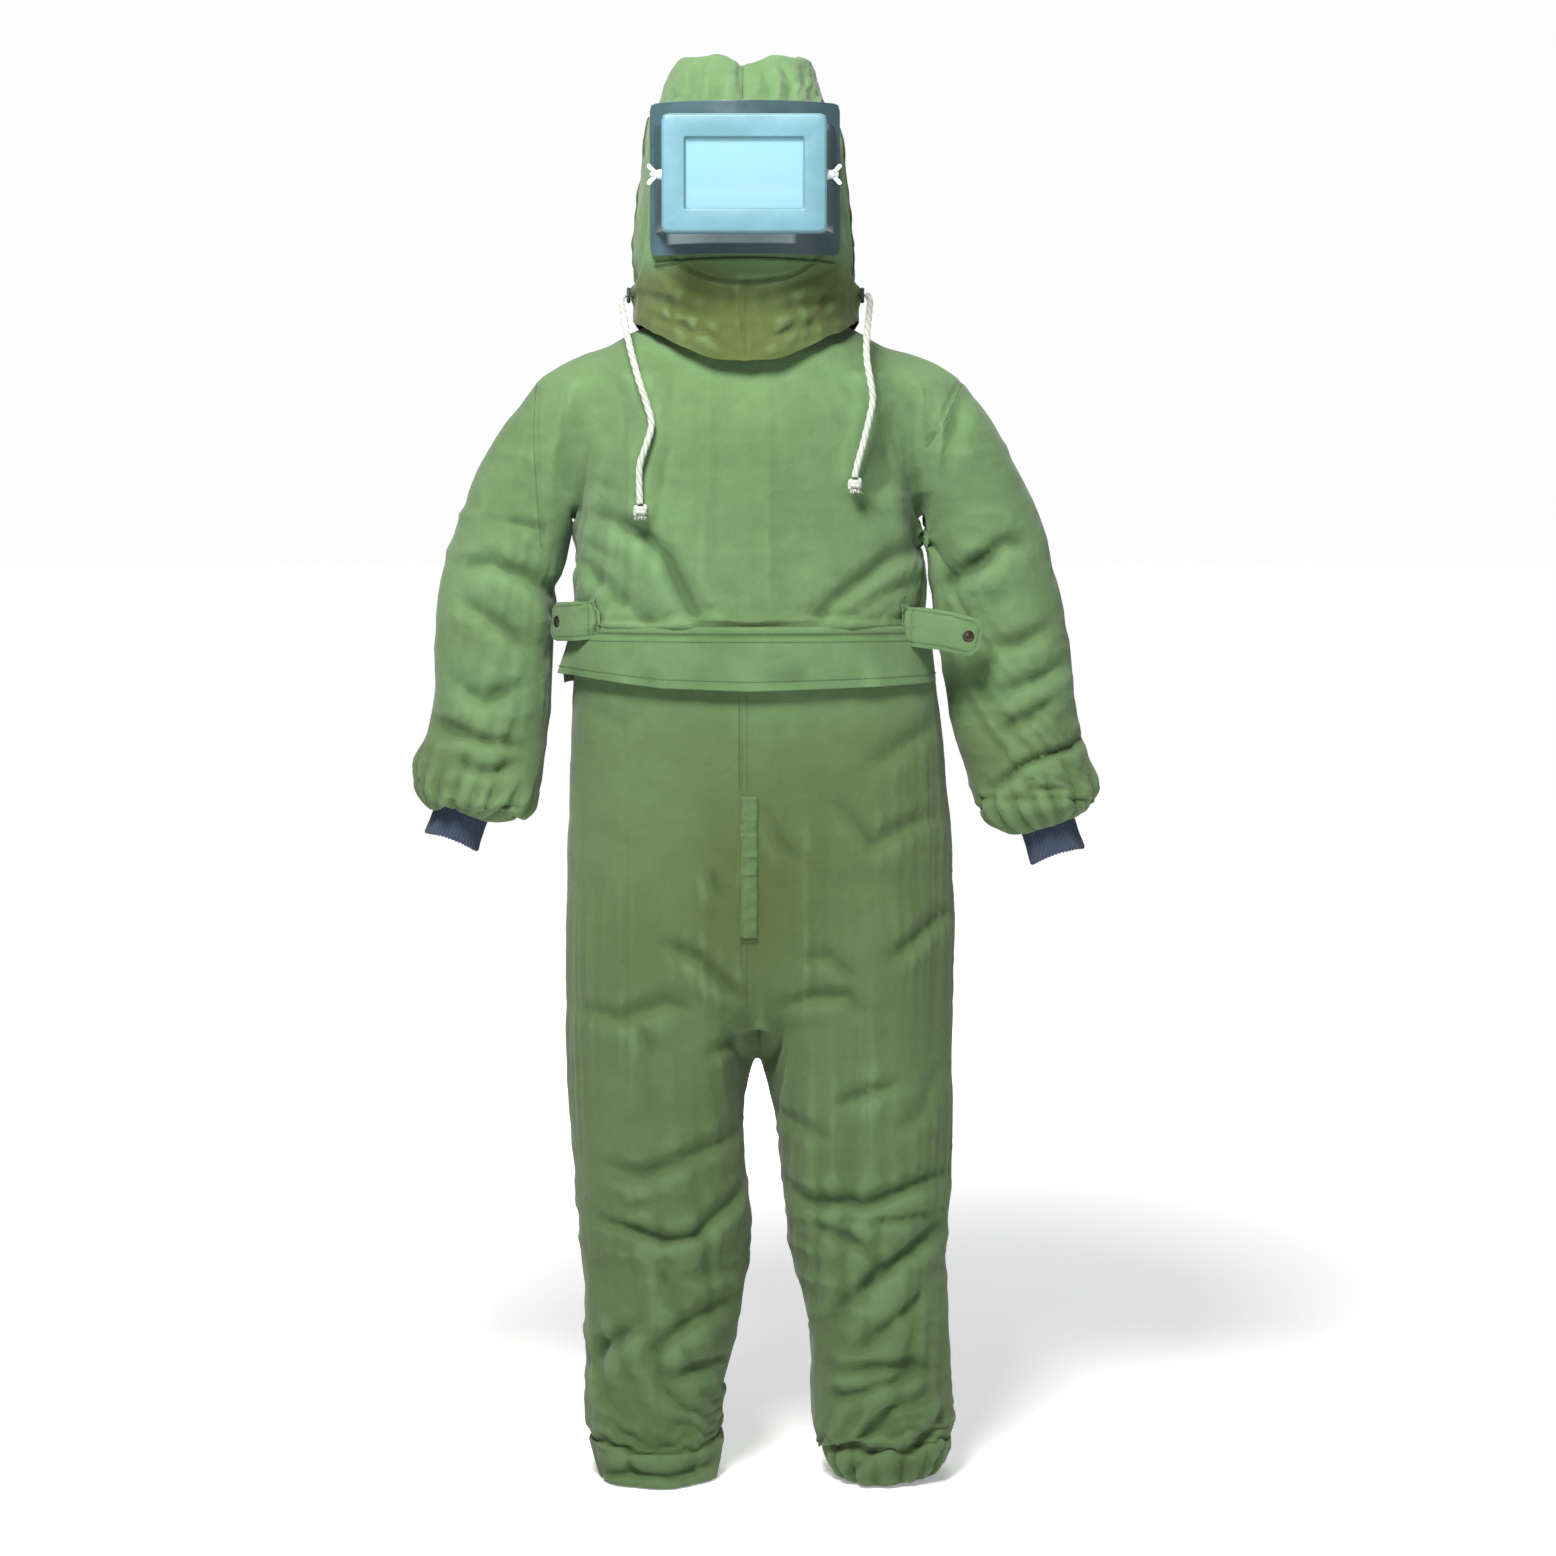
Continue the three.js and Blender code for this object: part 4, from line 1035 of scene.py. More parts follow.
RIGHT_LEG = [
    (0.010, -0.112, 0, 0.076, 0.084), (0.040, -0.1135, 0, 0.081, 0.086), (0.070, -0.115, 0, 0.085, 0.088),
    (0.159, -0.1105, 0, 0.0905, 0.090), (0.244, -0.099, 0, 0.098, 0.092), (0.340, -0.0995, 0.002, 0.1105, 0.098),
    (0.440, -0.108, 0.002, 0.1115, 0.102), (0.540, -0.115, 0.002, 0.1160, 0.112), (0.610, -0.109, 0.004, 0.121, 0.117),
    (0.700, -0.108, 0.004, 0.119, 0.120), (0.770, -0.109, 0.004, 0.114, 0.118),
]
LEFT_LEG = [
    (0.012, 0.176, 0, 0.060, 0.076), (0.036, 0.178, 0, 0.074, 0.085), (0.070, 0.173, 0, 0.089, 0.089),
    (0.110, 0.169, 0, 0.093, 0.090), (0.183, 0.167, 0, 0.091, 0.088), (0.244, 0.1615, 0, 0.0925, 0.090),
    (0.340, 0.1485, 0.002, 0.1035, 0.098), (0.440, 0.150, 0.002, 0.1155, 0.102), (0.540, 0.140, 0.002, 0.1145, 0.112),
    (0.610, 0.136, 0.004, 0.121, 0.117), (0.700, 0.136, 0.004, 0.119, 0.120), (0.770, 0.134, 0.004, 0.114, 0.118),
]
# Sleeves: share of the 0.53 m drop below the armhole, then millimetres and degrees.
RIGHT_SLEEVE = [
    (-0.030, -110, 0, 50, 52, 80), (-0.004, -162, 0, 64, 64, 70), (0.030, -200, 0, 69, 66, 54),
    (0.105, -241, 2, 69, 66, 36),
    (0.200, -276, 4, 67, 64, 25), (0.326, -303, 6, 69, 64, 16), (0.445, -318, 8, 73, 65, 10),
    (0.560, -320, 6, 74, 65, 8),
    (0.660, -319, 2, 75, 65, 8), (0.740, -325, -4, 76, 65, 12), (0.823, -330, -10, 78, 66, 16),
    (0.888, -341, -16, 83, 68, 18),
    (0.925, -346, -18, 74, 62, 19), (0.962, -354, -20, 40, 38, 20),
]
LEFT_SLEEVE = [
    (-0.030, 110, 0, 50, 52, -80), (-0.004, 166, 0, 64, 64, -70), (0.030, 208, 0, 69, 66, -54),
    (0.105, 250, 2, 69, 66, -38),
    (0.220, 288, 4, 67, 64, -28), (0.360, 313, 6, 72, 65, -18), (0.490, 326, 8, 76, 65, -12),
    (0.600, 335, 6, 77, 65, -10),
    (0.747, 344, 0, 76, 66, -10), (0.850, 359, -7, 74, 64, -13), (0.905, 365, -11, 80, 67, -15),
    (0.955, 372, -15, 70, 61, -17),
    (0.997, 377, -18, 40, 37, -18),
]
HOOD = [
    (1.385, 0, 0, 0.146, 0.134), (1.415, 0, 0, 0.143, 0.131), (1.440, 0, 0, 0.141, 0.127), (1.462, 0, 0, 0.140, 0.123),
    (1.485, 0.001, 0, 0.138, 0.120), (1.505, 0.000, -0.001, 0.140, 0.122), (1.530, -0.002, -0.003, 0.142, 0.128),
    (1.560, -0.003, -0.005, 0.140, 0.134), (1.600, -0.003, -0.006, 0.135, 0.137), (1.650, -0.002, -0.006, 0.130, 0.137),
    (1.700, -0.004, -0.003, 0.118, 0.131), (1.740, -0.005, 0.002, 0.106, 0.117), (1.770, -0.005, 0.005, 0.097, 0.100),
    (1.788, -0.001, 0.006, 0.090, 0.088), (1.795, -0.001, 0.006, 0.084, 0.080),
]

# Folds: a line of (x, z), how deep in millimetres, how wide in millimetres.
TRUNK_FOLDS = [
    (((-0.203, -0.224), (-0.163, -0.227), (-0.125, -0.246), (-0.094, -0.28), (-0.069, -0.33), (-0.05, -0.367)), 12, 15),
    (((-0.216, -0.271), (-0.188, -0.292), (-0.144, -0.33), (-0.106, -0.361)), 8, 13),
    (((-0.2, -0.255), (-0.163, -0.28)), 4, 10), (((0.219, -0.255), (0.175, -0.28), (0.131, -0.311), (0.094, -0.343),
    (0.081, -0.367)), 10, 15),
    (((0.225, -0.292), (0.169, -0.318), (0.106, -0.361)), 7, 13),
    (((0.169, -0.136), (0.181, -0.18), (0.156, -0.205)), 5, 12),
    (((-0.206, -0.086), (-0.216, -0.13), (-0.219, -0.18), (-0.203, -0.224)), 12, 13),
    (((0.2, -0.068), (0.219, -0.136), (0.212, -0.193), (0.216, -0.242), (0.234, -0.305)), 12, 13),
    (((-0.206, -0.18), (-0.156, -0.193)), 4, 10), (((0.138, -0.205), (0.169, -0.224), (0.181, -0.236)), 4, 9),
    (((-0.3, -0.23), (-0.253, -0.242), (-0.25, -0.261)), 7, 10),
    (((-0.353, -0.286), (-0.312, -0.283), (-0.269, -0.299), (-0.225, -0.33)), 12, 15),
    (((-0.35, -0.33), (-0.3, -0.361), (-0.263, -0.393)), 10, 14),
    (((-0.369, -0.424), (-0.319, -0.449), (-0.269, -0.43)), 10, 14),
    (((-0.394, -0.48), (-0.344, -0.492), (-0.3, -0.505), (-0.269, -0.517)), 11, 12),
    (((-0.362, -0.524), (-0.312, -0.539), (-0.275, -0.53)), 11, 12),
    (((-0.25, -0.33), (-0.225, -0.38), (-0.25, -0.405)), 6, 10),
    (((0.238, -0.318), (0.281, -0.286), (0.319, -0.261), (0.356, -0.255)), 14, 15),
    (((0.269, -0.074), (0.25, -0.13), (0.238, -0.193)), 6, 14),
    (((0.384, -0.355), (0.338, -0.38), (0.294, -0.386)), 9, 13),
    (((0.4, -0.405), (0.35, -0.43), (0.306, -0.449)), 10, 13),
    (((0.388, -0.449), (0.35, -0.474), (0.312, -0.492)), 9, 12),
    (((0.309, -0.561), (0.344, -0.53), (0.406, -0.511), (0.428, -0.496)), 12, 8),
    (((-0.206, -0.455), (-0.15, -0.48), (-0.106, -0.449)), 4, 18),
    (((0.144, -0.53), (0.194, -0.505), (0.238, -0.48)), 6, 16),
    (((0.025, -0.58), (0.044, -0.624), (0.075, -0.655)), 6, 14),
    (((0.106, -0.568), (0.156, -0.624), (0.206, -0.605), (0.244, -0.593)), 8, 15),
    (((-0.044, -0.655), (-0.025, -0.699)), 5, 12),
    (((-0.106, -0.749), (-0.056, -0.768), (-0.019, -0.805), (0.006, -0.824)), 10, 14),
    (((0.169, -0.774), (0.219, -0.736), (0.256, -0.711)), 8, 14),
    (((0.069, -0.768), (0.106, -0.761), (0.144, -0.792)), 6, 12),
    (((-0.209, -0.83), (-0.153, -0.841), (-0.098, -0.819), (-0.059, -0.83)), 8, 14),
    (((-0.137, -0.847), (-0.115, -0.886)), 5, 11), (((-0.181, -1.024), (-0.126, -1.036), (-0.07, -1.013), (-0.009,
    -0.991)), 10, 14),
    (((-0.198, -1.091), (-0.148, -1.102), (-0.103, -1.119), (-0.059, -1.113), (-0.003, -1.063)), 13, 13),
    (((-0.153, -1.08), (-0.115, -1.074)), 5, 9),
    (((-0.198, -1.291), (-0.17, -1.258), (-0.131, -1.219)), 12, 15),
    (((-0.12, -1.263), (-0.07, -1.224), (-0.015, -1.197)), 12, 15),
    (((-0.098, -1.297), (-0.059, -1.286), (-0.026, -1.28)), 10, 13),
    (((-0.187, -1.424), (-0.148, -1.419), (-0.098, -1.424), (-0.042, -1.413)), 8, 9),
    (((-0.148, -1.397), (-0.142, -1.419)), 5, 8), (((-0.109, -1.158), (-0.098, -1.18)), 5, 10),
    (((-0.048, -0.891), (-0.003, -0.863)), 6, 12), (((0.041, -0.83), (0.08, -0.813), (0.13, -0.813), (0.152, -0.841)),
    8, 14),
    (((0.108, -0.952), (0.147, -0.936), (0.191, -0.924)), 8, 13),
    (((0.047, -1.058), (0.085, -1.074), (0.141, -1.074), (0.191, -1.058), (0.252, -1.041)), 14, 14),
    (((0.102, -1.097), (0.158, -1.094), (0.208, -1.091), (0.252, -1.086)), 8, 10),
    (((0.074, -1.102), (0.13, -1.119), (0.169, -1.152)), 8, 12),
    (((0.102, -1.23), (0.13, -1.197), (0.174, -1.152), (0.219, -1.119), (0.247, -1.102)), 15, 15),
    (((0.13, -1.269), (0.18, -1.224), (0.224, -1.18)), 8, 12),
    (((0.097, -1.286), (0.141, -1.286), (0.197, -1.28), (0.247, -1.297)), 10, 12),
    (((0.102, -1.324), (0.163, -1.308), (0.219, -1.291)), 11, 12),
    (((0.097, -1.397), (0.141, -1.38), (0.18, -1.336), (0.235, -1.313)), 12, 13),
    (((0.124, -1.424), (0.158, -1.391), (0.197, -1.363)), 8, 11),
    (((0.202, -1.397), (0.235, -1.358), (0.252, -1.347)), 8, 10),
    (((0.03, -0.969), (0.063, -0.974), (0.108, -0.997)), 6, 13),
    (((0.185, -0.991), (0.219, -0.958), (0.235, -0.913)), 6, 13),
]
HOOD_FOLDS = [
    (((-0.006, 0.336), (-0.007, 0.305), (-0.006, 0.270)), 7, 6),
    (((0.040, 0.322), (0.053, 0.296), (0.050, 0.270)), 7, 7),
    (((0.070, 0.326), (0.073, 0.296), (0.083, 0.270)), 8, 8),
    (((-0.048, 0.330), (-0.060, 0.302), (-0.068, 0.270)), 6, 10),
    (((0.016, 0.312), (0.027, 0.288), (0.025, 0.270)), 5, 7), (((-0.030, 0.300), (-0.034, 0.270)), 4, 7),
    (((-0.085, 0.318), (-0.092, 0.290)), 5, 8), (((-0.128, 0.048), (-0.080, 0.028), (-0.024, 0.018)), 9, 9),
    (((-0.126, 0.026), (-0.070, 0.002), (-0.020, -0.010)), 8, 8),
    (((0.126, 0.050), (0.080, 0.032), (0.022, 0.022)), 9, 9),
    (((0.122, 0.026), (0.066, 0.002), (0.020, -0.008)), 8, 8),
    (((-0.112, 0.078), (-0.064, 0.050), (-0.012, 0.038)), 7, 9),
    (((0.112, 0.078), (0.064, 0.054), (0.014, 0.042)), 7, 9),
    (((-0.060, 0.012), (-0.030, -0.012), (-0.004, -0.030)), 6, 7),
    (((0.070, 0.016), (0.040, -0.010), (0.008, -0.026)), 6, 7),
    (((-0.105, 0.060), (-0.086, 0.020), (-0.060, -0.010)), 6, 8),
    (((0.105, 0.062), (0.094, 0.030), (0.072, -0.004)), 6, 8),
    (((-0.040, 0.066), (0.000, 0.058), (0.045, 0.068)), 5, 7),
]
HOOD_SIDE_FOLDS = [
    (((-0.10, 0.10), (-0.02, 0.13), (0.07, 0.12)), 7, 11), (((-0.09, 0.16), (0.00, 0.19), (0.09, 0.18)), 7, 12),
    (((-0.06, 0.30), (-0.01, 0.24), (0.02, 0.19)), 6, 11), (((0.06, 0.30), (0.05, 0.24), (0.08, 0.20)), 6, 10),
    (((-0.08, 0.075), (0.00, 0.060), (0.09, 0.075)), 7, 9), (((-0.04, 0.31), (0.03, 0.28), (0.08, 0.24)), 5, 10),
]
CORDS = {
    "right": [(-150, -38, 46), (-153, -48, 38), (-149, -66, 20), (-143, -88, -8), (-136, -106, -35), (-128, -118, -62),
              (-118, -124, -92), (-113, -127, -115), (-119, -128, -138), (-127, -128, -162), (-128, -128, -188),
              (-127, -128, -210)],
    "left": [(150, -38, 46), (153, -48, 38), (151, -66, 20), (148, -88, -8), (148, -104, -35), (152, -112, -60),
             (155, -115, -84), (150, -119, -110), (144, -122, -135), (137, -124, -160), (133, -125, -178)],
}
CROTCH_X, CROTCH_Z = 0.012, -0.840
WAIST_Z = -0.373


def from_soles(rows):
    return [(r[0] - YOKE,) + tuple(r[1:]) for r in rows]


def back_folds():
    """The folds of the back: those of the front, mirrored and a little lower."""
    return [(tuple((-px * 0.97 + 0.018, pz - 0.012) for px, pz in line), depth * 0.8, width * 1.05)
            for line, depth, width in TRUNK_FOLDS if not (-0.80 < line[0][1] < -0.60)]


def sleeve_rows(rows):
    return [(1.368 - h * 0.530 - YOKE, x / 1000, y / 1000, w / 1000, d / 1000, lean) for h, x, y, w, d, lean in rows]


def centre_line(rows):
    """Where a tube's middle is at each height."""
    table = np.array(sorted((r[0], r[1], r[2]) for r in rows))
    return lambda p: (np.interp(p[:, 2], table[:, 0], table[:, 1]), np.interp(p[:, 2], table[:, 0], table[:, 2]))


def along_line(rows):
    """How far down a tube's middle line a point is, by its height."""
    table = np.array([(r[0], r[1], r[2]) for r in rows])
    run = run_along(table)
    return lambda p: -np.interp(-p[:, 2], -table[:, 0], run)


def catmull(points, count):
    """A smooth line through the points, in metres, spaced evenly."""
    p = np.array(points, float) / 1000
    p = np.vstack([2 * p[0] - p[1], p, 2 * p[-1] - p[-2]])
    out = []
    for i in range(1, len(p) - 2):
        t = np.linspace(0, 1, 24, endpoint=False)[:, None]
        a, b, c, d = p[i - 1], p[i], p[i + 1], p[i + 2]
        out.append(0.5 * (2 * b + (c - a) * t + (2 * a - 5 * b + 4 * c - d) * t**2 + (3 * b - a - 3 * c + d) * t**3))
    line = np.vstack(out + [p[-2:-1]])
    run = run_along(line)
    s = np.linspace(0, run[-1], count)
    return np.stack([np.interp(s, run, line[:, i]) for i in range(3)], -1), run[-1]


def frames_along(line):
    """A steady pair of crosswise directions at each point of a line."""
    tangent = np.gradient(line, axis=0)
    tangent /= np.linalg.norm(tangent, axis=1)[:, None]
    side = np.cross(tangent[0], (0.0, 0.0, 1.0))
    if np.linalg.norm(side) < 1e-3:
        side = np.array((1.0, 0.0, 0.0))
    sides = []
    for t in tangent:
        side = side - t * (side @ t)
        side /= np.linalg.norm(side)
        sides.append(side.copy())
    sides = np.array(sides)
    return tangent, sides, np.cross(tangent, sides)


def swept_tube(name, line, radii, around, finish, ridge=None):
    """A closed tube along a line. Radii are one for each ring, or one for each point of each ring."""
    line = np.asarray(line, float)
    n = len(line)
    radii = np.asarray(radii, float)
    radii = np.broadcast_to(radii.reshape(-1, 1) if radii.ndim < 2 else radii, (n, around))
    _, a, b = frames_along(line)
    th = whole_turn(around)
    points = line[:, None] + radii[..., None] * (np.cos(th)[None, :, None] * a[:, None] + np.sin(th)[None,
        :, None] * b[:, None])
    flat, faces = stuffed(points, line[0], line[-1])
    run = run_along(line)
    mesh = new_mesh(name, flat, faces)
    smooth_shaded(mesh)
    uv = mesh.uv_layers.new(name="cloth")
    r = float(np.median(radii))
    for p in mesh.polygons:
        vs = list(p.vertices)
        base = vs[0] % around if vs[0] < n * around else vs[1] % around
        for loop, v in zip(p.loop_indices, vs):
            if v >= n * around:
                u, w = base, (0 if v == n * around else n - 1)
            else:
                u, w = v % around, v // around
                if u - base > around / 2:
                    u -= around
                if base - u > around / 2:
                    u += around
            uv.data[loop].uv = (u * 2 * math.pi * r / around, run[w])
    if ridge is not None:
        values = np.broadcast_to(np.asarray(ridge, float), (n, around)).ravel()
        add_mark(mesh, "ridge", np.concatenate([values, [0, 0]]))
    mesh.materials.append(finish)
    turn_out(mesh)
    return new_piece(name, mesh)


def ride_and_slot(piece, body, slot, *nodes):
    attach(piece, body)
    if nodes:
        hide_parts(*nodes)
    return piece


# ------------------------------------------------------------------ sizes and colours
class SuitSizes(bpy.types.PropertyGroup):
    """Sizes of the cloth and its details."""

    thread_grid: FloatProperty(name="Cloth grid", description="Spacing of the draped cloth's points", default=0.008,
        min=0.006, max=0.02, unit="LENGTH")
    fold_strength: FloatProperty(name="Fold depth", description="Share of each fold's full depth that is pressed in",
        default=1.0, min=0, max=1.5)
    ease_share: FloatProperty(name="Ease",
        description="Share by which the cloth is cut longer than the body it hangs on", default=0.028, min=0, max=0.1)
    drape_frames: IntProperty(name="Drape steps", description="Steps of the cloth simulation", default=14, min=4,
        max=40)
    hood_frames: IntProperty(name="Hood drape steps", description="Steps of the hood's cloth simulation", default=12,
        min=4, max=40)
    cord_diameter: FloatProperty(name="Cord", description="Diameter of the drawcords", default=0.008, min=0.004,
        max=0.012, unit="LENGTH")
    cuff_ribs: IntProperty(name="Cuff ribs", description="Ribs round each knitted cuff", default=46, min=20, max=80)
    stitch_pitch: FloatProperty(name="Stitch pitch", description="Distance from stitch to stitch", default=0.0036,
        min=0.002, max=0.01, unit="LENGTH")


class SuitColours(bpy.types.PropertyGroup):
    """Colours of the finishes."""

    canvas: FloatVectorProperty(name="Canvas", description="Green of the fresh canvas", subtype="COLOR", size=3,
        default=srgb(80, 107, 70)[:3], min=0, max=1)
    canvas_worn: FloatVectorProperty(name="Worn canvas", description="Green where the dye has faded", subtype="COLOR",
        size=3, default=srgb(94, 124, 84)[:3], min=0, max=1)
    olive: FloatVectorProperty(name="Olive", description="Tone of the collar and of dusty canvas", subtype="COLOR",
        size=3, default=srgb(70, 79, 38)[:3], min=0, max=1)
    knit: FloatVectorProperty(name="Knit", description="Navy of the cuffs", subtype="COLOR", size=3,
        default=srgb(47, 60, 82)[:3], min=0, max=1)
    shell: FloatVectorProperty(name="Visor shell", description="Dark teal of the visor's housing", subtype="COLOR",
        size=3, default=srgb(56, 80, 87)[:3], min=0, max=1)
    bezel: FloatVectorProperty(name="Bezel", description="Pale teal of the window's frame", subtype="COLOR", size=3,
        default=srgb(86, 126, 139)[:3], min=0, max=1)


def sizes():
    return bpy.context.scene.suit_sizes


class SUIT_OT_stage(bpy.types.Operator):
    """Sets up the camera, the soft lights, the floor and the finishes"""

    bl_idname = "suit.stage"
    bl_label = "Stage"

    def execute(self, context):
        scene = context.scene
        scene.view_settings.view_transform = "Standard"
        make_finishes(scene.suit_colours)
        camera = bpy.data.cameras.new("camera")
        camera.sensor_width, camera.angle = 36, math.radians(24.4)
        camera.clip_end = 200
        holder = bpy.data.objects.new("camera", camera)
        scene.collection.objects.link(holder)
        holder.location = (0.04, -4.5, -0.20)
        holder.rotation_euler = (Vector((0.04, 0, -0.553)) - holder.location).to_track_quat("-Z", "Y").to_euler()
        scene.camera = holder

        def lamp(name, place, aim, size, power, colour=(1, 1, 1)):
            light = bpy.data.lights.new(name, "AREA")
            light.shape, light.size, light.energy, light.color = "DISK", size, power, colour
            item = bpy.data.objects.new(name, light)
            scene.collection.objects.link(item)
            item.location = place
            item.rotation_euler = (Vector(aim) - Vector(place)).to_track_quat("-Z", "Y").to_euler()

        lamp("key_light", (-0.4, -1.55, 1.3), (0, 0, -0.3), 0.8, 112, (1.0, 0.985, 0.95))
        lamp("fill_light", (3.2, -3.4, 0.2), (0, 0, -0.8), 2.6, 14, (0.95, 0.98, 1.0))
        lamp("top_light", (0.3, 1.2, 3.0), (0, 0, -0.3), 2.0, 40)
        lamp("back_light", (0.5, 4.0, 1.4), (0, 0, -0.5), 2.6, 40)
        world = bpy.data.worlds.new("studio")
        scene.world = world
        world.use_nodes = True
        tree = world.node_tree
        tree.nodes.clear()
        out = tree.nodes.new("ShaderNodeOutputWorld")
        seen, lit, pick, path = (tree.nodes.new(k) for k in ("ShaderNodeBackground", "ShaderNodeBackground",
            "ShaderNodeMixShader", "ShaderNodeLightPath"))
        seen.inputs[0].default_value, seen.inputs[1].default_value = (0.985, 0.985, 0.985, 1), 1.0
        lit.inputs[0].default_value, lit.inputs[1].default_value = (0.95, 0.98, 1.0, 1), 0.13
        tree.links.new(path.outputs["Is Camera Ray"], pick.inputs[0])
        tree.links.new(lit.outputs[0], pick.inputs[1])
        tree.links.new(seen.outputs[0], pick.inputs[2])
        tree.links.new(pick.outputs[0], out.inputs[0])

        low = CAD_BOX[0][2]
        work = bmesh.new()
        bmesh.ops.create_circle(work, cap_ends=True, segments=96, radius=60.0)
        mesh = bpy.data.meshes.new("floor")
        work.to_mesh(mesh)
        work.free()
        mesh.transform(Matrix.Translation((0, 0, low - 0.001)))
        mesh.materials.append(FINISHES["floor"])
        new_piece("floor", mesh)
        return {"FINISHED"}


class SUIT_OT_cords(bpy.types.Operator):
    """Lays the two drawcords, their frayed knots and the eyelets they leave by"""

    bl_idname = "suit.cords"
    bl_label = "Drawcords"

    def execute(self, context):
        d = sizes().cord_diameter
        for side, sign in (("right", -1), ("left", 1)):
            line, length = catmull(CORDS[side], 150)
            around = 24
            run = np.linspace(0, length, len(line))
            th = whole_turn(around)
            twist = th[None] * 3 + run[:, None] * (2 * math.pi / 0.0125)
            lobes = np.abs(np.cos(twist / 2))
            radii = d / 2 * (0.80 + 0.26 * lobes)
            # the ridge mark sets where the cotton gets painted shade in the hollows of the twist
            cord = swept_tube(f"{side}_drawcord_rope", line, radii, around, FINISHES["cotton"],
                ridge=(lobes - 0.62) * 1.6)
            ride_and_slot(cord, "torso", "white_cotton", f"{side}_drawcord")
            FINISHED[f"{side}_cord"] = line

            # the knot: three turns of the cord's end, with a brush of strands below it
            end = line[-1]
            t = np.linspace(0, 1, 90)
            turn = t * 2 * math.pi * 2.6
            wrap = np.stack([
                end[0] + 0.0052 * np.cos(turn),
                end[1] + 0.0044 * np.sin(turn),
                end[2] - 0.0035 - 0.0085 * t,
            ], -1)
            thick = 0.0033 * (1 + 0.08 * np.sin(t * 90))
            # the ridge mark gives painted shade between the turns of the knot
            knot = swept_tube(f"{side}_knot_turns", wrap, thick, 12, FINISHES["cotton"],
                ridge=np.sin(t * 90)[:, None] * 0.3)
            points, faces, first = [], [], 0
            rng = np.random.default_rng(5 if sign < 0 else 9)
            for _ in range(26):
                a = rng.uniform(0, 2 * math.pi)
                r0, r1 = rng.uniform(0, 0.0035), rng.uniform(0.004, 0.0088)
                fall = rng.uniform(0.007, 0.0105)
                s = np.linspace(0, 1, 6)
                base = np.stack([
                    end[0] + np.cos(a) * (r0 + (r1 - r0) * s**1.4),
                    end[1] + np.sin(a) * (r0 + (r1 - r0) * s**1.4) * 0.7,
                    end[2] - 0.0095 - fall * s,
                ], -1)
                u, w = frames_along(base)[1:]
                ring = whole_turn(5)
                rad = (0.0009 * (1 - 0.55 * s))[:, None, None]
                tube = base[:, None] + rad * (np.cos(ring)[None, :, None] * u[:, None] + np.sin(ring)[None,
                    :, None] * w[:, None])
                flat, f = stuffed(tube)
                points.append(flat)
                faces += [tuple(i + first for i in q) for q in f]
                first += len(flat)
            mesh = new_mesh(f"{side}_knot_brush", np.vstack(points), faces)
            face_out(mesh)
            smooth_shaded(mesh)
            mesh.uv_layers.new(name="cloth")
            mesh.materials.append(FINISHES["cotton"])
            brush = new_piece(f"{side}_knot_brush", mesh)
            ride_and_slot(knot, "torso", "white_cotton", f"{side}_cord_knot")
            ride_and_slot(brush, "torso", "white_cotton")

            # eyelet: a worked loop of dark cord round the hole
            ex, ey, ez = sign * 0.144, -0.036, 0.046
            t = whole_turn(40)
            loop = np.stack([np.full_like(t, ex), ey + 0.0075 * np.cos(t), ez + 0.0075 * np.sin(t)], -1)
            ring_th = whole_turn(12)
            out = np.stack([np.zeros_like(t), np.cos(t), np.sin(t)], -1)
            r = 0.0021 * (1 + 0.16 * np.cos(ring_th[None] * 2 + t[:, None] * 22))
            torus = loop[:, None] + r[..., None] * (np.cos(ring_th)[None,
                :, None] * out[:, None] + np.sin(ring_th)[None, :, None] * np.array((1.0, 0, 0)))
            mesh = new_mesh(f"{side}_eyelet_ring", torus.reshape(-1, 3), ring_faces(40, 12))
            face_out(mesh)
            smooth_shaded(mesh)
            mesh.materials.append(FINISHES["elastic"])
            ride_and_slot(new_piece(f"{side}_eyelet_ring", mesh), "torso", "elastic_band", f"{side}_cord_eyelet")
        return {"FINISHED"}


# ------------------------------------------------------------------ the suit's cloth
def trunk_side(z, y, sign):
    """Where the side of the trunk is at a height and depth."""
    t = np.array(from_soles(TRUNK))
    cx, hw, hd = (np.interp(z, t[:, 0], t[:, i]) for i in (1, 3, 4))
    return cx + sign * hw * (1 - np.minimum(1, np.abs(y / hd)) ** 2.4) ** (1 / 2.4)


def part_of(p):
    """Which panel group each point belongs to: 0 jacket, 1 seat, 2/3 right and left sleeve, 4/5 thighs, 6/7 shins."""
    x, y, z = p.T
    label = np.where(z > WAIST_Z, 0, 1)
    for sign, number in ((-1, 2), (1, 3)):
        upper = sign * x > 0.165 + 0.36 * np.maximum(-z, 0)
        lower = sign * (x - trunk_side(z, y, sign)) > 0.008
        label = np.where(np.where(z > -0.115, upper, lower) & (z > -0.70), number, label)
    leg = z < CROTCH_Z
    label = np.where(leg & (z >= -1.04), np.where(x < CROTCH_X, 4, 5), label)
    return np.where(z < SHIN_TOP, np.where(x < CROTCH_X, 6, 7), label)


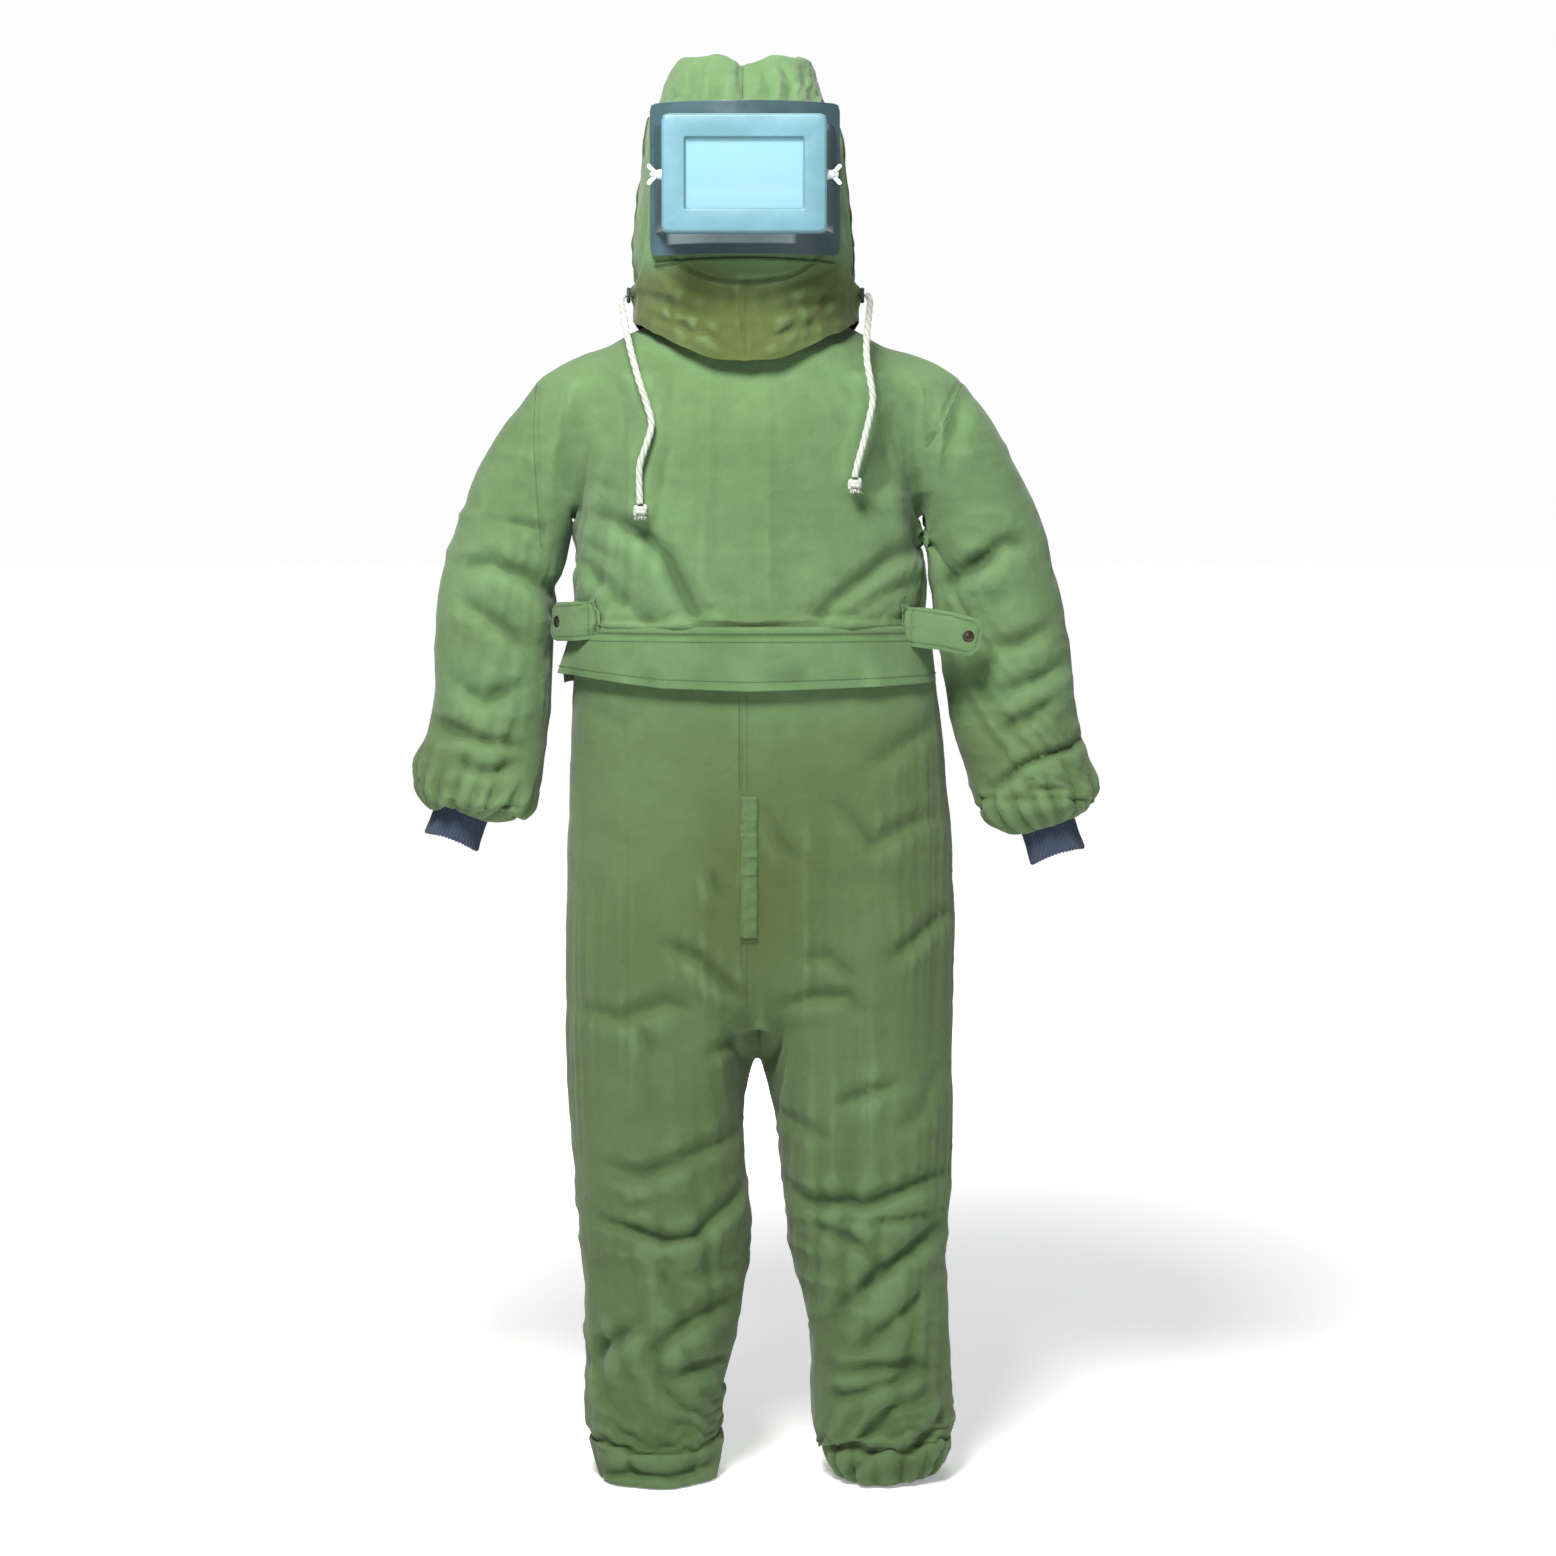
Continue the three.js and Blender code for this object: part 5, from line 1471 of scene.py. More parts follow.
def gathers(points, end, lean, count, depth, reach, seed):
    """How far each point moves out or in where a tube is gathered at its end, and in which direction."""
    axis = np.array((math.tan(math.radians(lean)), 0.06, 1.0))
    axis /= np.linalg.norm(axis)
    rel = points - np.array(end)
    up = rel @ axis
    radial = rel - up[:, None] * axis
    size = np.linalg.norm(radial, axis=1)
    turn = np.arctan2(radial[:, 1], radial[:, 0])
    ring = np.stack([np.cos(turn), np.sin(turn), up * 6], -1)
    phase = turn * count / 2 + 1.3 * lattice_noise(ring, 0.9, seed)
    wave = np.abs(np.sin(phase)) ** 0.8 * 2 - 1.1
    strength = (1 - ease(0.012, reach, up)) * (0.75 + 0.25 * lattice_noise(ring, 0.5, seed + 1))
    near = (up < reach) & (size < 0.13) & (up > -0.05)
    return np.where(near, depth * wave * strength, 0)[:, None] * radial / np.maximum(size, 1e-6)[:, None]


class SUIT_OT_cloth(bpy.types.Operator):
    """Drapes the jacket, sleeves, seat and legs as one cloth, then cuts it into lined pieces that move with the body"""

    bl_idname = "suit.cloth"
    bl_label = "Suit cloth"

    def execute(self, context):
        s = sizes()
        parts = [stuffed(ring_points(from_soles(TRUNK), 44, 96, 2.4)),
                 stuffed(ring_points(from_soles(RIGHT_LEG), 40, 64)),
                 stuffed(ring_points(from_soles(LEFT_LEG), 40, 64))]
        for sign, rows in ((-1, RIGHT_SLEEVE), (1, LEFT_SLEEVE)):
            ring = ring_points(sleeve_rows(rows), 44, 56, 2.1)
            x, y, z = ring[..., 0], ring[..., 1], ring[..., 2]
            limit = sign * trunk_side(z, y, sign) + 0.018
            free = ease(-0.118, -0.145, z)
            ring[..., 0] = sign * np.where(z < -0.118, np.maximum(sign * x,
                sign * x * (1 - free) + free * np.maximum(limit, sign * x)), sign * x)
            parts.append(stuffed(ring))
            gusset = [(-0.200, sign * 0.222, 0.002, 0.014, 0.046), (-0.170, sign * 0.218, 0.002, 0.030, 0.060),
                      (-0.120, sign * 0.212, 0.002, 0.044, 0.070), (-0.060, sign * 0.196, 0.002, 0.050, 0.072)]
            parts.append(stuffed(ring_points(gusset, 20, 48)))
        coarse = skin_of(parts, s.thread_grid, 5)
        base = coarse.co.copy()
        x, y, z = base.T
        label = part_of(base[coarse.quads].mean(1))
        flat_zone = ease(-0.452, -0.436, z) * (1 - ease(-0.366, -0.356, z)) * (np.abs(x) < 0.25)
        sides = ((TRUNK_FOLDS, False, 0), (back_folds(), True, 40))
        for folds, back, seed in sides:
            press(coarse, folds, 0.32 * s.fold_strength, back, seed, 1 - flat_zone)

        trunk = np.abs(x) < 0.245
        hold = hold_values(len(x), [
            np.where(np.abs(x) < 0.15, np.clip((z + 0.05) / 0.04, 0, 1), 0),
            np.where(trunk, ease(-0.450, -0.436, z) * (1 - ease(-0.368, -0.352, z)), 0),
            np.clip((-1.388 - z) / 0.01, 0, 1) * 0.9,
            np.where(np.abs(x) > 0.30, np.clip((-0.575 - z) / 0.012, 0, 1), 0),
            np.where((z > -0.06) & (coarse.normals()[:, 2] > 0.5), 0.6, 0),
        ])
        e = s.ease_share
        drape(coarse, hold, (1, 1, 1 + 2 * e), 0.013, s.drape_frames)
        armpit = np.exp(-(((np.abs(x) - 0.212) / 0.030) ** 2) - ((z + 0.15) / 0.075) ** 2)
        calm_zone = (1 - flat_zone) * (1 - 0.9 * np.minimum(1, 1.3 * armpit))
        for folds, back, seed in sides:
            press(coarse, folds, 0.50 * s.fold_strength, back, seed, calm_zone)
        x, y, z = coarse.co.T

        # the cloth lies under the cords, and stays off the floor and inside the hem flap
        for side in ("right", "left"):
            line = FINISHED[f"{side}_cord"]
            front = coarse.normals()[:, 1] < -0.2
            tree = nearest_of(line * (1, 0, 1))
            for i in np.nonzero(
                    front & (np.abs(coarse.co[:, 0]) < 0.18)
                    & (coarse.co[:, 2] > -0.235) & (coarse.co[:, 2] < 0.0)
            )[0]:
                _, k, away = tree.find((coarse.co[i, 0], 0, coarse.co[i, 2]))
                if away < 0.03:
                    gap = line[k][1] + 0.0042 - coarse.co[i, 1]
                    share = 1 - float(ease(0.009, 0.03, away))
                    coarse.co[i, 1] += max(gap, -0.009 * (z[i] < -0.05)) * share

        fine = coarse.finer()
        fbase = Skin(base, coarse.quads).finer().co
        flat_fine = ease(-0.452, -0.436, fbase[:, 2]) * (1 - ease(-0.366, -0.356,
            fbase[:, 2])) * (np.abs(fbase[:, 0]) < 0.25)
        keep_y = 1 - 0.9 * flat_fine
        near_arm = np.minimum(1,
            1.3 * np.exp(-(((np.abs(fbase[:, 0]) - 0.212) / 0.030) ** 2) - ((fbase[:, 2] + 0.15) / 0.075) ** 2))
        for folds, back, seed in sides:
            narrow = [(line, depth, width * 0.62) for line, depth, width in folds]
            press(fine, narrow, 0.36 * s.fold_strength, back, seed, keep_y * (1 - 0.9 * near_arm))
        n = fine.normals()
        # small puckers: ridged noise, drawn out across the body
        long_way = fbase * np.array((1.0, 1.0, 1.9))
        ridge_a = 1 - np.abs(lattice_noise(long_way, 0.075, 3)) * 2
        ridge_b = 1 - np.abs(lattice_noise(long_way[:, [2, 0, 1]] * (1, 1.3, 1), 0.036, 5)) * 2
        legs = ease(-0.95, -1.15, fbase[:, 2])
        sleeves = ease(0.23, 0.29, np.abs(fbase[:, 0])) * (fbase[:, 2] > -0.7)
        loose = 0.45 + 0.9 * legs + 0.7 * sleeves
        fine.co = fine.co + n * ((0.0016 * ridge_a + 0.0009 * ridge_b) * loose * keep_y)[:, None]
        # seams and pressed tucks
        seams = [(((-0.003, -0.437), (-0.003, -0.835)), 3.2, 2.6),
            (((-0.256, -0.061), (-0.258, -0.13), (-0.250, -0.2675)), 2.6, 2.8),
                 (((0.271, -0.049), (0.2375, -0.1175), (0.219, -0.1425)), 2.6, 2.8),
                 (((-0.147, -0.07), (-0.147, -0.36)), 1.2, 3.0), (((-0.147, -0.44), (-0.147, -1.02)), 1.6, 3.0),
                 (((0.149, -0.77), (0.149, -1.04)), 1.6, 3.0), (((-0.112, -1.20), (-0.112, -1.40)), 1.2, 3.0)]
        for back in (False, True):
            press(fine, seams, 0.9, back, 70)
        for sign, rows, count, depth in ((-1, RIGHT_SLEEVE, 17, 0.0052), (1, LEFT_SLEEVE, 15, 0.0056)):
            end = sleeve_rows(rows)[-1]
            spot = (end[1], end[2], end[0])
            mask = (sign * fine.co[:, 0] > 0.26)[:, None]
            fine.co = fine.co + gathers(fine.co, spot, end[5], count, depth, 0.085, 11 + sign) * mask
        mask = ((fine.co[:, 0] > 0.05) & (fine.co[:, 2] < -1.3))[:, None]
        fine.co = fine.co + gathers(fine.co, (0.176, 0, -1.438), 0, 18, 0.0055, 0.075, 21) * mask
        mask = ((fine.co[:, 0] < 0.0) & (fine.co[:, 2] < -1.3))[:, None]
        fine.co = fine.co + gathers(fine.co, (-0.112, 0, -1.440), 0, 7, 0.0030, 0.06, 25) * mask
        low = CAD_BOX[0][2] + 0.0004
        fine.co[:, 2] = np.maximum(fine.co[:, 2], low)

        # ridges and hollows steer the canvas's painted light: painted shade in the hollows, a painted highlight mixed
        # with wear on the ridges
        calm = Skin(fine.co, fine.quads)
        calm.relax(30, 0.6)
        height = ((fine.co - calm.co) * fine.normals()).sum(1)
        ridge = np.clip(height / 0.0034, -1.4, 1.4)
        tone = 0.08 + 0.16 * lattice_noise(fbase, 0.16, 9) + 0.38 * ease(-0.42, -0.50, fbase[:, 2])
        tone += 0.30 * np.exp(-((fbase[:, 0] / 0.07) ** 2) - ((fbase[:, 2] + 0.70) / 0.10) ** 2) * (fbase[:, 1] < 0)
        tone += 0.22 * np.exp(-((fbase[:, 2] + 0.36) / 0.03) ** 2)
        marks = {"ridge": ridge, "tone": np.clip(tone, 0, 1)}
        FINISHED["suit"] = fine.tree()

        centre = base[coarse.quads].mean(1)
        face = np.cross(base[coarse.quads[:, 2]] - base[coarse.quads[:, 0]],
            base[coarse.quads[:, 3]] - base[coarse.quads[:, 1]])
        face /= np.maximum(np.linalg.norm(face, axis=1), 1e-12)[:, None]
        open_end = (centre[:, 2] > 0.004) & (face[:, 2] > 0.6) & (np.abs(centre[:, 0]) < 0.105)
        open_end |= (centre[:, 2] < -1.425) & (face[:, 2] < -0.86)
        for rows in (RIGHT_SLEEVE, LEFT_SLEEVE):
            end = sleeve_rows(rows)[-1]
            open_end |= np.linalg.norm(centre - np.array((end[1], end[2], end[0])), axis=1) < 0.030
        right_leg, left_leg = centre_line(from_soles(RIGHT_LEG)), centre_line(from_soles(LEFT_LEG))
        trunk_middle = lambda p: (0.006, 0.0)
        canvas = FINISHES["canvas"]

        def cut(name, number, middle, radius, along=None):
            return lined_piece(name, coarse, fine, (label == number) & ~open_end, canvas, middle, radius, along, marks)

        jacket = cut("jacket_body", 0, trunk_middle, 0.19)
        seat = cut("trouser_seat", 1, trunk_middle, 0.19)
        ride_and_slot(jacket, "torso", "green_canvas", "bodice_front", "bodice_back")
        ride_and_slot(seat, "torso", "green_canvas", "trouser_front_right", "trouser_front_left", "seat_right",
            "seat_left")
        for side, sign, rows, number in (("right", -1, RIGHT_SLEEVE, 2), ("left", 1, LEFT_SLEEVE, 3)):
            table = sleeve_rows(rows)
            piece = cut(f"{side}_sleeve_cloth", number, centre_line(table), 0.068, along_line(table))
            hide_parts(f"{side}_sleeve_front", f"{side}_sleeve_back", f"{side}_sleeve_gather")
            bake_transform(piece, "torso", f"{side}_sleeve", (sign * 0.17, 0, -0.03), (sign * 0.26, 0, -0.15))
            chosen = coarse.quads[(label == number) & ~open_end]
            others = np.unique(coarse.quads[(label != number)])
            border = np.intersect1d(np.unique(chosen), others)
            tree = nearest_of(fine.co[border])
            away = np.array([tree.find(p)[2] for p in places(piece.data)])
            own_weights(piece, ease(0.004, 0.150, away))
            FINISHED[f"{side}_sleeve"] = piece
        for side, sign, middle, number in (("right", -1, right_leg, 4), ("left", 1, left_leg, 5)):
            piece = cut(f"{side}_thigh_cloth", number, middle, 0.10)
            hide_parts(f"{side}_thigh_front", f"{side}_thigh_back")
            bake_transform(piece, "torso", f"{side}_thigh", (0, 0, CROTCH_Z), (0, 0, -1.035))
            piece = cut(f"{side}_shin_cloth", number + 2, middle, 0.10)
            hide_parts(f"{side}_shin_front", f"{side}_shin_back", f"{side}_ankle_hem")
            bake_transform(piece, f"{side}_thigh", f"{side}_shin", (0, 0, SHIN_TOP), (0, 0, -1.20))
        return {"FINISHED"}


class SUIT_OT_hood(bpy.types.Operator):
    """Drapes the hood with its chin panel and collar bib, and adds its piping and the binding under the visor"""

    bl_idname = "suit.hood"
    bl_label = "Hood"

    def execute(self, context):
        s = sizes()
        coarse = skin_of([stuffed(ring_points(from_soles(HOOD), 56, 96, 2.5))], 0.0062, 4)
        base = coarse.co.copy()
        x, y, z = base.T
        # two soft lobes at the crown, with corners that stand up
        lobe = ease(0.28, 0.335, z)
        coarse.co[:, 2] -= lobe * (
            0.015 * np.exp(-(((x - 0.002) / 0.019) ** 2)) + 0.008 * np.exp(-(((np.abs(x) - 0.062) / 0.02) ** 2)) * 0.3
        )
        coarse.co[:, 2] += lobe * 0.0015 * np.exp(-(((np.abs(x) - 0.078) / 0.014) ** 2))
        press(coarse, HOOD_FOLDS, 0.36)
        side_normals = coarse.normals()
        for sign in (-1, 1):
            swapped = Skin(coarse.co[:, [1, 0, 2]] * (1, sign, 1), coarse.quads)
            swapped.normals = lambda n=side_normals, sg=sign: n[:, [1, 0, 2]] * (1, sg, 1)
            push, _ = crease(swapped, HOOD_SIDE_FOLDS, 0.6, True, 50 + sign)
            coarse.co = coarse.co + side_normals * push[:, None]
        visor = (np.abs(x) < 0.118) & (z > 0.085) & (z < 0.275) & (y < -0.03)
        hold = hold_values(len(x), [np.where(visor, 0.9, 0), np.where(np.abs(z - 0.036) < 0.008, 0.9, 0),
            np.where(z < -0.05, 1.0, 0)])
        e = s.ease_share
        drape(coarse, hold, (1 + 1.1 * e, 1 + 1.1 * e, 1 + 1.4 * e), 0.014, s.hood_frames, 0.7, 0.8)
        press(coarse, HOOD_FOLDS[:7], 0.35)
        # behind the visor the hood lies flat against the flange
        x, y, z = coarse.co.T
        arc = 0.0078 - np.sqrt(np.maximum(0.1618**2 - np.minimum(np.abs(x), 0.113) ** 2, 1e-6)) + 0.0050
        region = ease(0.080, 0.092, z) * (1 - ease(0.268, 0.280, z)) * (np.abs(x) < 0.125)
        coarse.co[:, 1] = np.where((y < arc) & (base[:, 1] < 0), y + (arc - y) * region, y)
        # the tie draws in the neck
        tie = np.exp(-(((z - 0.036) / 0.007) ** 2))
        coarse.co[:, :2] *= (1 - 0.012 * tie)[:, None]
        fine = coarse.finer()
        fbase = Skin(base, coarse.quads).finer().co
        press(fine, [(line, depth, width * 0.6) for line, depth, width in HOOD_FOLDS], 0.26)
        low = ease(0.10, 0.03, fbase[:, 2])
        n = fine.normals()
        around = np.arctan2(fbase[:, 1], fbase[:, 0])
        pleat = np.sin(around * 34 + 2 * lattice_noise(fbase, 0.04,
            31)) * np.exp(-(((fbase[:, 2] - 0.036) / 0.016) ** 2))
        ridge_a = 1 - np.abs(lattice_noise(fbase * (1, 1, 1.5), 0.05, 33)) * 2
        ridge_b = 1 - np.abs(lattice_noise(fbase, 0.026, 35)) * 2
        fine.co = fine.co + n * ((0.0011 * pleat) + (0.0013 * ridge_a + 0.0008 * ridge_b) * (0.35 + 1.1 * low))[:, None]
        chin = [(px, 0.115 - 0.059 * math.sqrt(max(0, 1 - (px / 0.1) ** 2))) for px in np.linspace(-0.097, 0.097, 33)]
        seams = [(tuple(chin), 3.4, 2.6), (((-0.004, 0.052), (-0.003, -0.037)), 2.4, 2.4),
            (((-0.006, 0.338), (-0.006, 0.272)), 2.8, 2.6)]
        press(fine, seams, 0.9, False, 71)
        press(fine, [(((-0.002, 0.338), (-0.002, -0.03)), 2.4, 2.6)], 0.9, True, 72)

        # ridges and hollows steer the canvas's painted light: painted shade in the hollows, a painted highlight mixed
        # with wear on the ridges
        calm = Skin(fine.co, fine.quads)
        calm.relax(12, 0.6)
        ridge = np.clip(((fine.co - calm.co) * fine.normals()).sum(1) / 0.0024, -1.4, 1.4)
        bib = ease(0.095, 0.055, fbase[:, 2] + 0.02 * lattice_noise(fbase, 0.05, 36))
        tone = np.clip(0.03 + 0.86 * bib + 0.14 * lattice_noise(fbase, 0.06, 37), 0, 1)
        FINISHED["hood"] = fine.tree()
        centre = base[coarse.quads].mean(1)
        turn = np.arctan2(centre[:, 0], -centre[:, 1])
        edge = np.interp(np.abs(turn), [0, 0.35, 0.75, 1.2, 1.7, 2.3, math.pi],
            [-0.0375, -0.032, -0.008, 0.012, 0.016, -0.010, -0.030])
        keep = centre[:, 2] > edge
        keep &= ~(
            (np.abs(centre[:, 0]) < 0.084) & (centre[:, 2] > 0.122)
            & (centre[:, 2] < 0.238) & (centre[:, 1] < -0.03))
        even_border(fine, np.repeat(keep, 4))
        piece = lined_piece("hood_cloth", coarse, fine, keep, FINISHES["canvas"], lambda p: (0.0, 0.0), 0.12, None,
            {"ridge": ridge, "tone": tone})
        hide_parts("hood_front", "chin_panel", "hood_back", "hood_crown", "neck_collar")
        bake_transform(piece, "torso", "hood", *HOOD_BEND)
        FINISHED["hood_piece"] = piece

        def onto(points, aim):
            out = []
            for p in points:
                hit, normal, _, _ = FINISHED["hood"].ray_cast(Vector(p) - Vector(aim) * 0.5, Vector(aim), 1.0)
                if hit is not None:
                    out.append(np.array(hit) + np.array(normal) * 0.0006)
            return np.array(out)

        # piping down both sides, between the front and the back of the hood
        for side, sign in (("right", -1), ("left", 1)):
            heights = np.linspace(0.262, 0.045, 80)
            lead = onto([(0, -0.036 + 0.016 * math.sin((h - 0.05) * 16), h) for h in heights], (-sign, 0, 0))
            pipe = swept_tube(f"{side}_hood_piping", lead, 0.0019, 10, FINISHES["piping"])
            take_weights(pipe, "torso", "hood", piece, *HOOD_BEND)
        under = onto([(px, 0, 0.0845 - 0.004 * (px / 0.1) ** 2) for px in np.linspace(-0.108, 0.108, 90)], (0, 1, 0))
        bind = swept_tube("visor_binding", under, 0.0024, 10, FINISHES["piping"])
        take_weights(bind, "torso", "hood", piece, *HOOD_BEND)
        return {"FINISHED"}


def ringed(name, rings, finish, uv_radius, ridge=0.0, tone=0.1, mark_turn=False):
    """A closed band through cyclic rows of ring points: down the outside, round the edge and up the inside."""
    rings = np.asarray(rings, float)
    n, around = rings.shape[:2]
    faces = ring_faces(n, around)
    mesh = new_mesh(name, rings.reshape(-1, 3), faces)
    smooth_shaded(mesh)
    uv = mesh.uv_layers.new(name="cloth")
    run = np.concatenate([[0], np.cumsum(np.linalg.norm(np.diff(rings, axis=0), axis=2).mean(1))])
    for f, p in zip(faces, mesh.polygons):
        j = f[0] % around
        for loop, v, u in zip(p.loop_indices, f, (j, j + 1, j + 1, j)):
            uv.data[loop].uv = (u * 2 * math.pi * uv_radius / around, run[v // around])
    for label, value in (("ridge", ridge), ("tone", tone)):
        add_mark(mesh, label, np.broadcast_to(np.asarray(value, float), (n, around)))
    if mark_turn:
        add_mark(mesh, "turn", np.tile(whole_turn(around), n))
    mesh.materials.append(finish)
    turn_out(mesh)
    return new_piece(name, mesh)


class SUIT_OT_hem(bpy.types.Operator):
    """Hangs the jacket's hem flap over the top of the trousers, and sews on the fly placket"""

    bl_idname = "suit.hem"
    bl_label = "Hem flap and placket"

    def execute(self, context):
        around = 300
        th = whole_turn(around)
        c, sn = np.cos(th), np.sin(th)
        bend = lambda v: np.sign(v) * np.abs(v) ** (2 / 2.4)
        circle = np.stack([c, sn, 0 * c], -1)
        bottom = np.where(sn < 0, np.interp(bend(c) * 0.232, [-0.236, -0.11, 0, 0.231],
            [-0.4175, -0.4325, -0.436, -0.429]), -0.432)
        corner = np.exp(-(((th - 1.06 * math.pi) / 0.14) ** 2))
        wave = lattice_noise(circle * (1.15, 0.7, 1), 0.30, 4)
        rows = []
        down = np.concatenate([np.linspace(0, 1, 16), [1.012, 1.018, 1.012], np.linspace(1, 0, 12)])
        out = np.concatenate([np.linspace(0, 1, 16), [0.9, 0.45, 0.0], np.full(12, -1.0)])
        for k, (t, o) in enumerate(zip(down, out)):
            z = -0.3595 + (bottom + 0.3595) * t
            spread = 0.0030 + 0.0105 * t**0.8 + (0.0024 * wave + 0.009 * corner) * t**1.4
            thick = 0.0030
            offset = (
                spread
                - (thick * (1 - o) / 2 if k > 15 else 0)
                - (0.0022 * np.exp(-((t - 0.09) / 0.05) ** 2) if k < 16 else 0)
            )
            table = np.array(from_soles(TRUNK))
            cx, hw, hd = (np.interp(-0.373, table[:, 0], table[:, i]) for i in (1, 3, 4))
            if t < 0.18 and k < 16:
                offset = offset + 0.0012 * np.sin(k * 1.9)
            rows.append(np.stack([cx + bend(c) * (hw + offset), bend(sn) * (hd + offset), np.broadcast_to(z, c.shape)],
                -1))
        rings = np.array(rows)
        crumple = lattice_noise(rings.reshape(-1, 3), 0.03, 6).reshape(rings.shape[:2])
        outward = np.stack([bend(c), bend(sn), 0 * c], -1)
        depth = np.clip(down, 0, 1)[:, None]
        rings = rings + outward[None] * (0.0014 * crumple * depth)[..., None]
        # painted shade: the mark dips along the groove below the flap's top seam, so the canvas is darkened there; the
        # crumples lighten and darken it too
        ridge = np.clip(crumple * 1.3 * depth, -1,
            1) - 0.9 * np.exp(-(((down - 0.13) / 0.05) ** 2))[:, None] * (np.arange(len(down)) < 16)[:, None]
        flap = ringed("jacket_hem_flap", rings, FINISHES["canvas"], 0.19, ridge,
            np.clip(0.12 + 0.12 * wave, 0, 1)[None])
        ride_and_slot(flap, "torso", "green_canvas", "jacket_hem_front", "jacket_hem_back")
        work = bmesh.new()
        work.from_mesh(flap.data)
        FINISHED["flap"] = BVHTree.FromBMesh(work)
        work.free()
        FINISHED["flap_rings"] = rings

        # placket: a doubled strip with four pressed folds, and a bar tack at its foot
        across, length = 13, 150
        left, right, top, foot = -0.006, 0.016, -0.566, -0.744
        outer, inner, marks = [], [], []
        for i in range(length):
            v = i / (length - 1)
            for j in range(across):
                u = j / (across - 1)
                px, pz = left + (right - left) * u + 0.0008 * math.sin(v * 19), top + (foot - top) * v
                hit, normal, _, _ = FINISHED["suit"].ray_cast(Vector((px, -1, pz)), Vector((0, 1, 0)), 2.0)
                edge = min(u, 1 - u, (v * 8), (1 - v) * 8, 0.16) / 0.16
                bump = sum(math.exp(-(((pz - h) / 0.0026) ** 2)) for h in (-0.594, -0.614, -0.639, -0.661))
                lift = 0.0005 + 0.0017 * math.sqrt(max(edge,
                    0)) + 0.0013 * bump * edge + 0.0004 * math.sin(v * 60 + u * 3)
                outer.append(np.array(hit) + np.array(normal) * lift)
                inner.append(np.array(hit) - np.array(normal) * 0.0004)
                # painted shade and highlight: the placket is darkened towards its edges and lightened on its pressed
                # folds
                marks.append(0.5 * bump - 0.5 * (1 - edge))
        mesh = new_mesh("fly_placket_cloth", np.vstack([outer, inner]), doubled_faces(length, across))
        face_out(mesh)
        smooth_shaded(mesh)
        uv = mesh.uv_layers.new(name="cloth")
        co = places(mesh)
        for loop_item in mesh.loops:
            uv.data[loop_item.index].uv = (co[loop_item.vertex_index][0], co[loop_item.vertex_index][2])
        lookup = {tuple(np.round(p, 6)): m for p, m in zip(outer, marks)}
        # painted shade: points of the underside get a dark mark
        add_mark(mesh, "ridge", [lookup.get(tuple(p), -0.6) for p in np.round(co, 6)])
        add_mark(mesh, "tone", np.full(len(co), 0.32))
        mesh.materials.append(FINISHES["canvas"])
        ride_and_slot(new_piece("fly_placket_cloth", mesh), "torso", "green_canvas", "fly_placket")
        return {"FINISHED"}


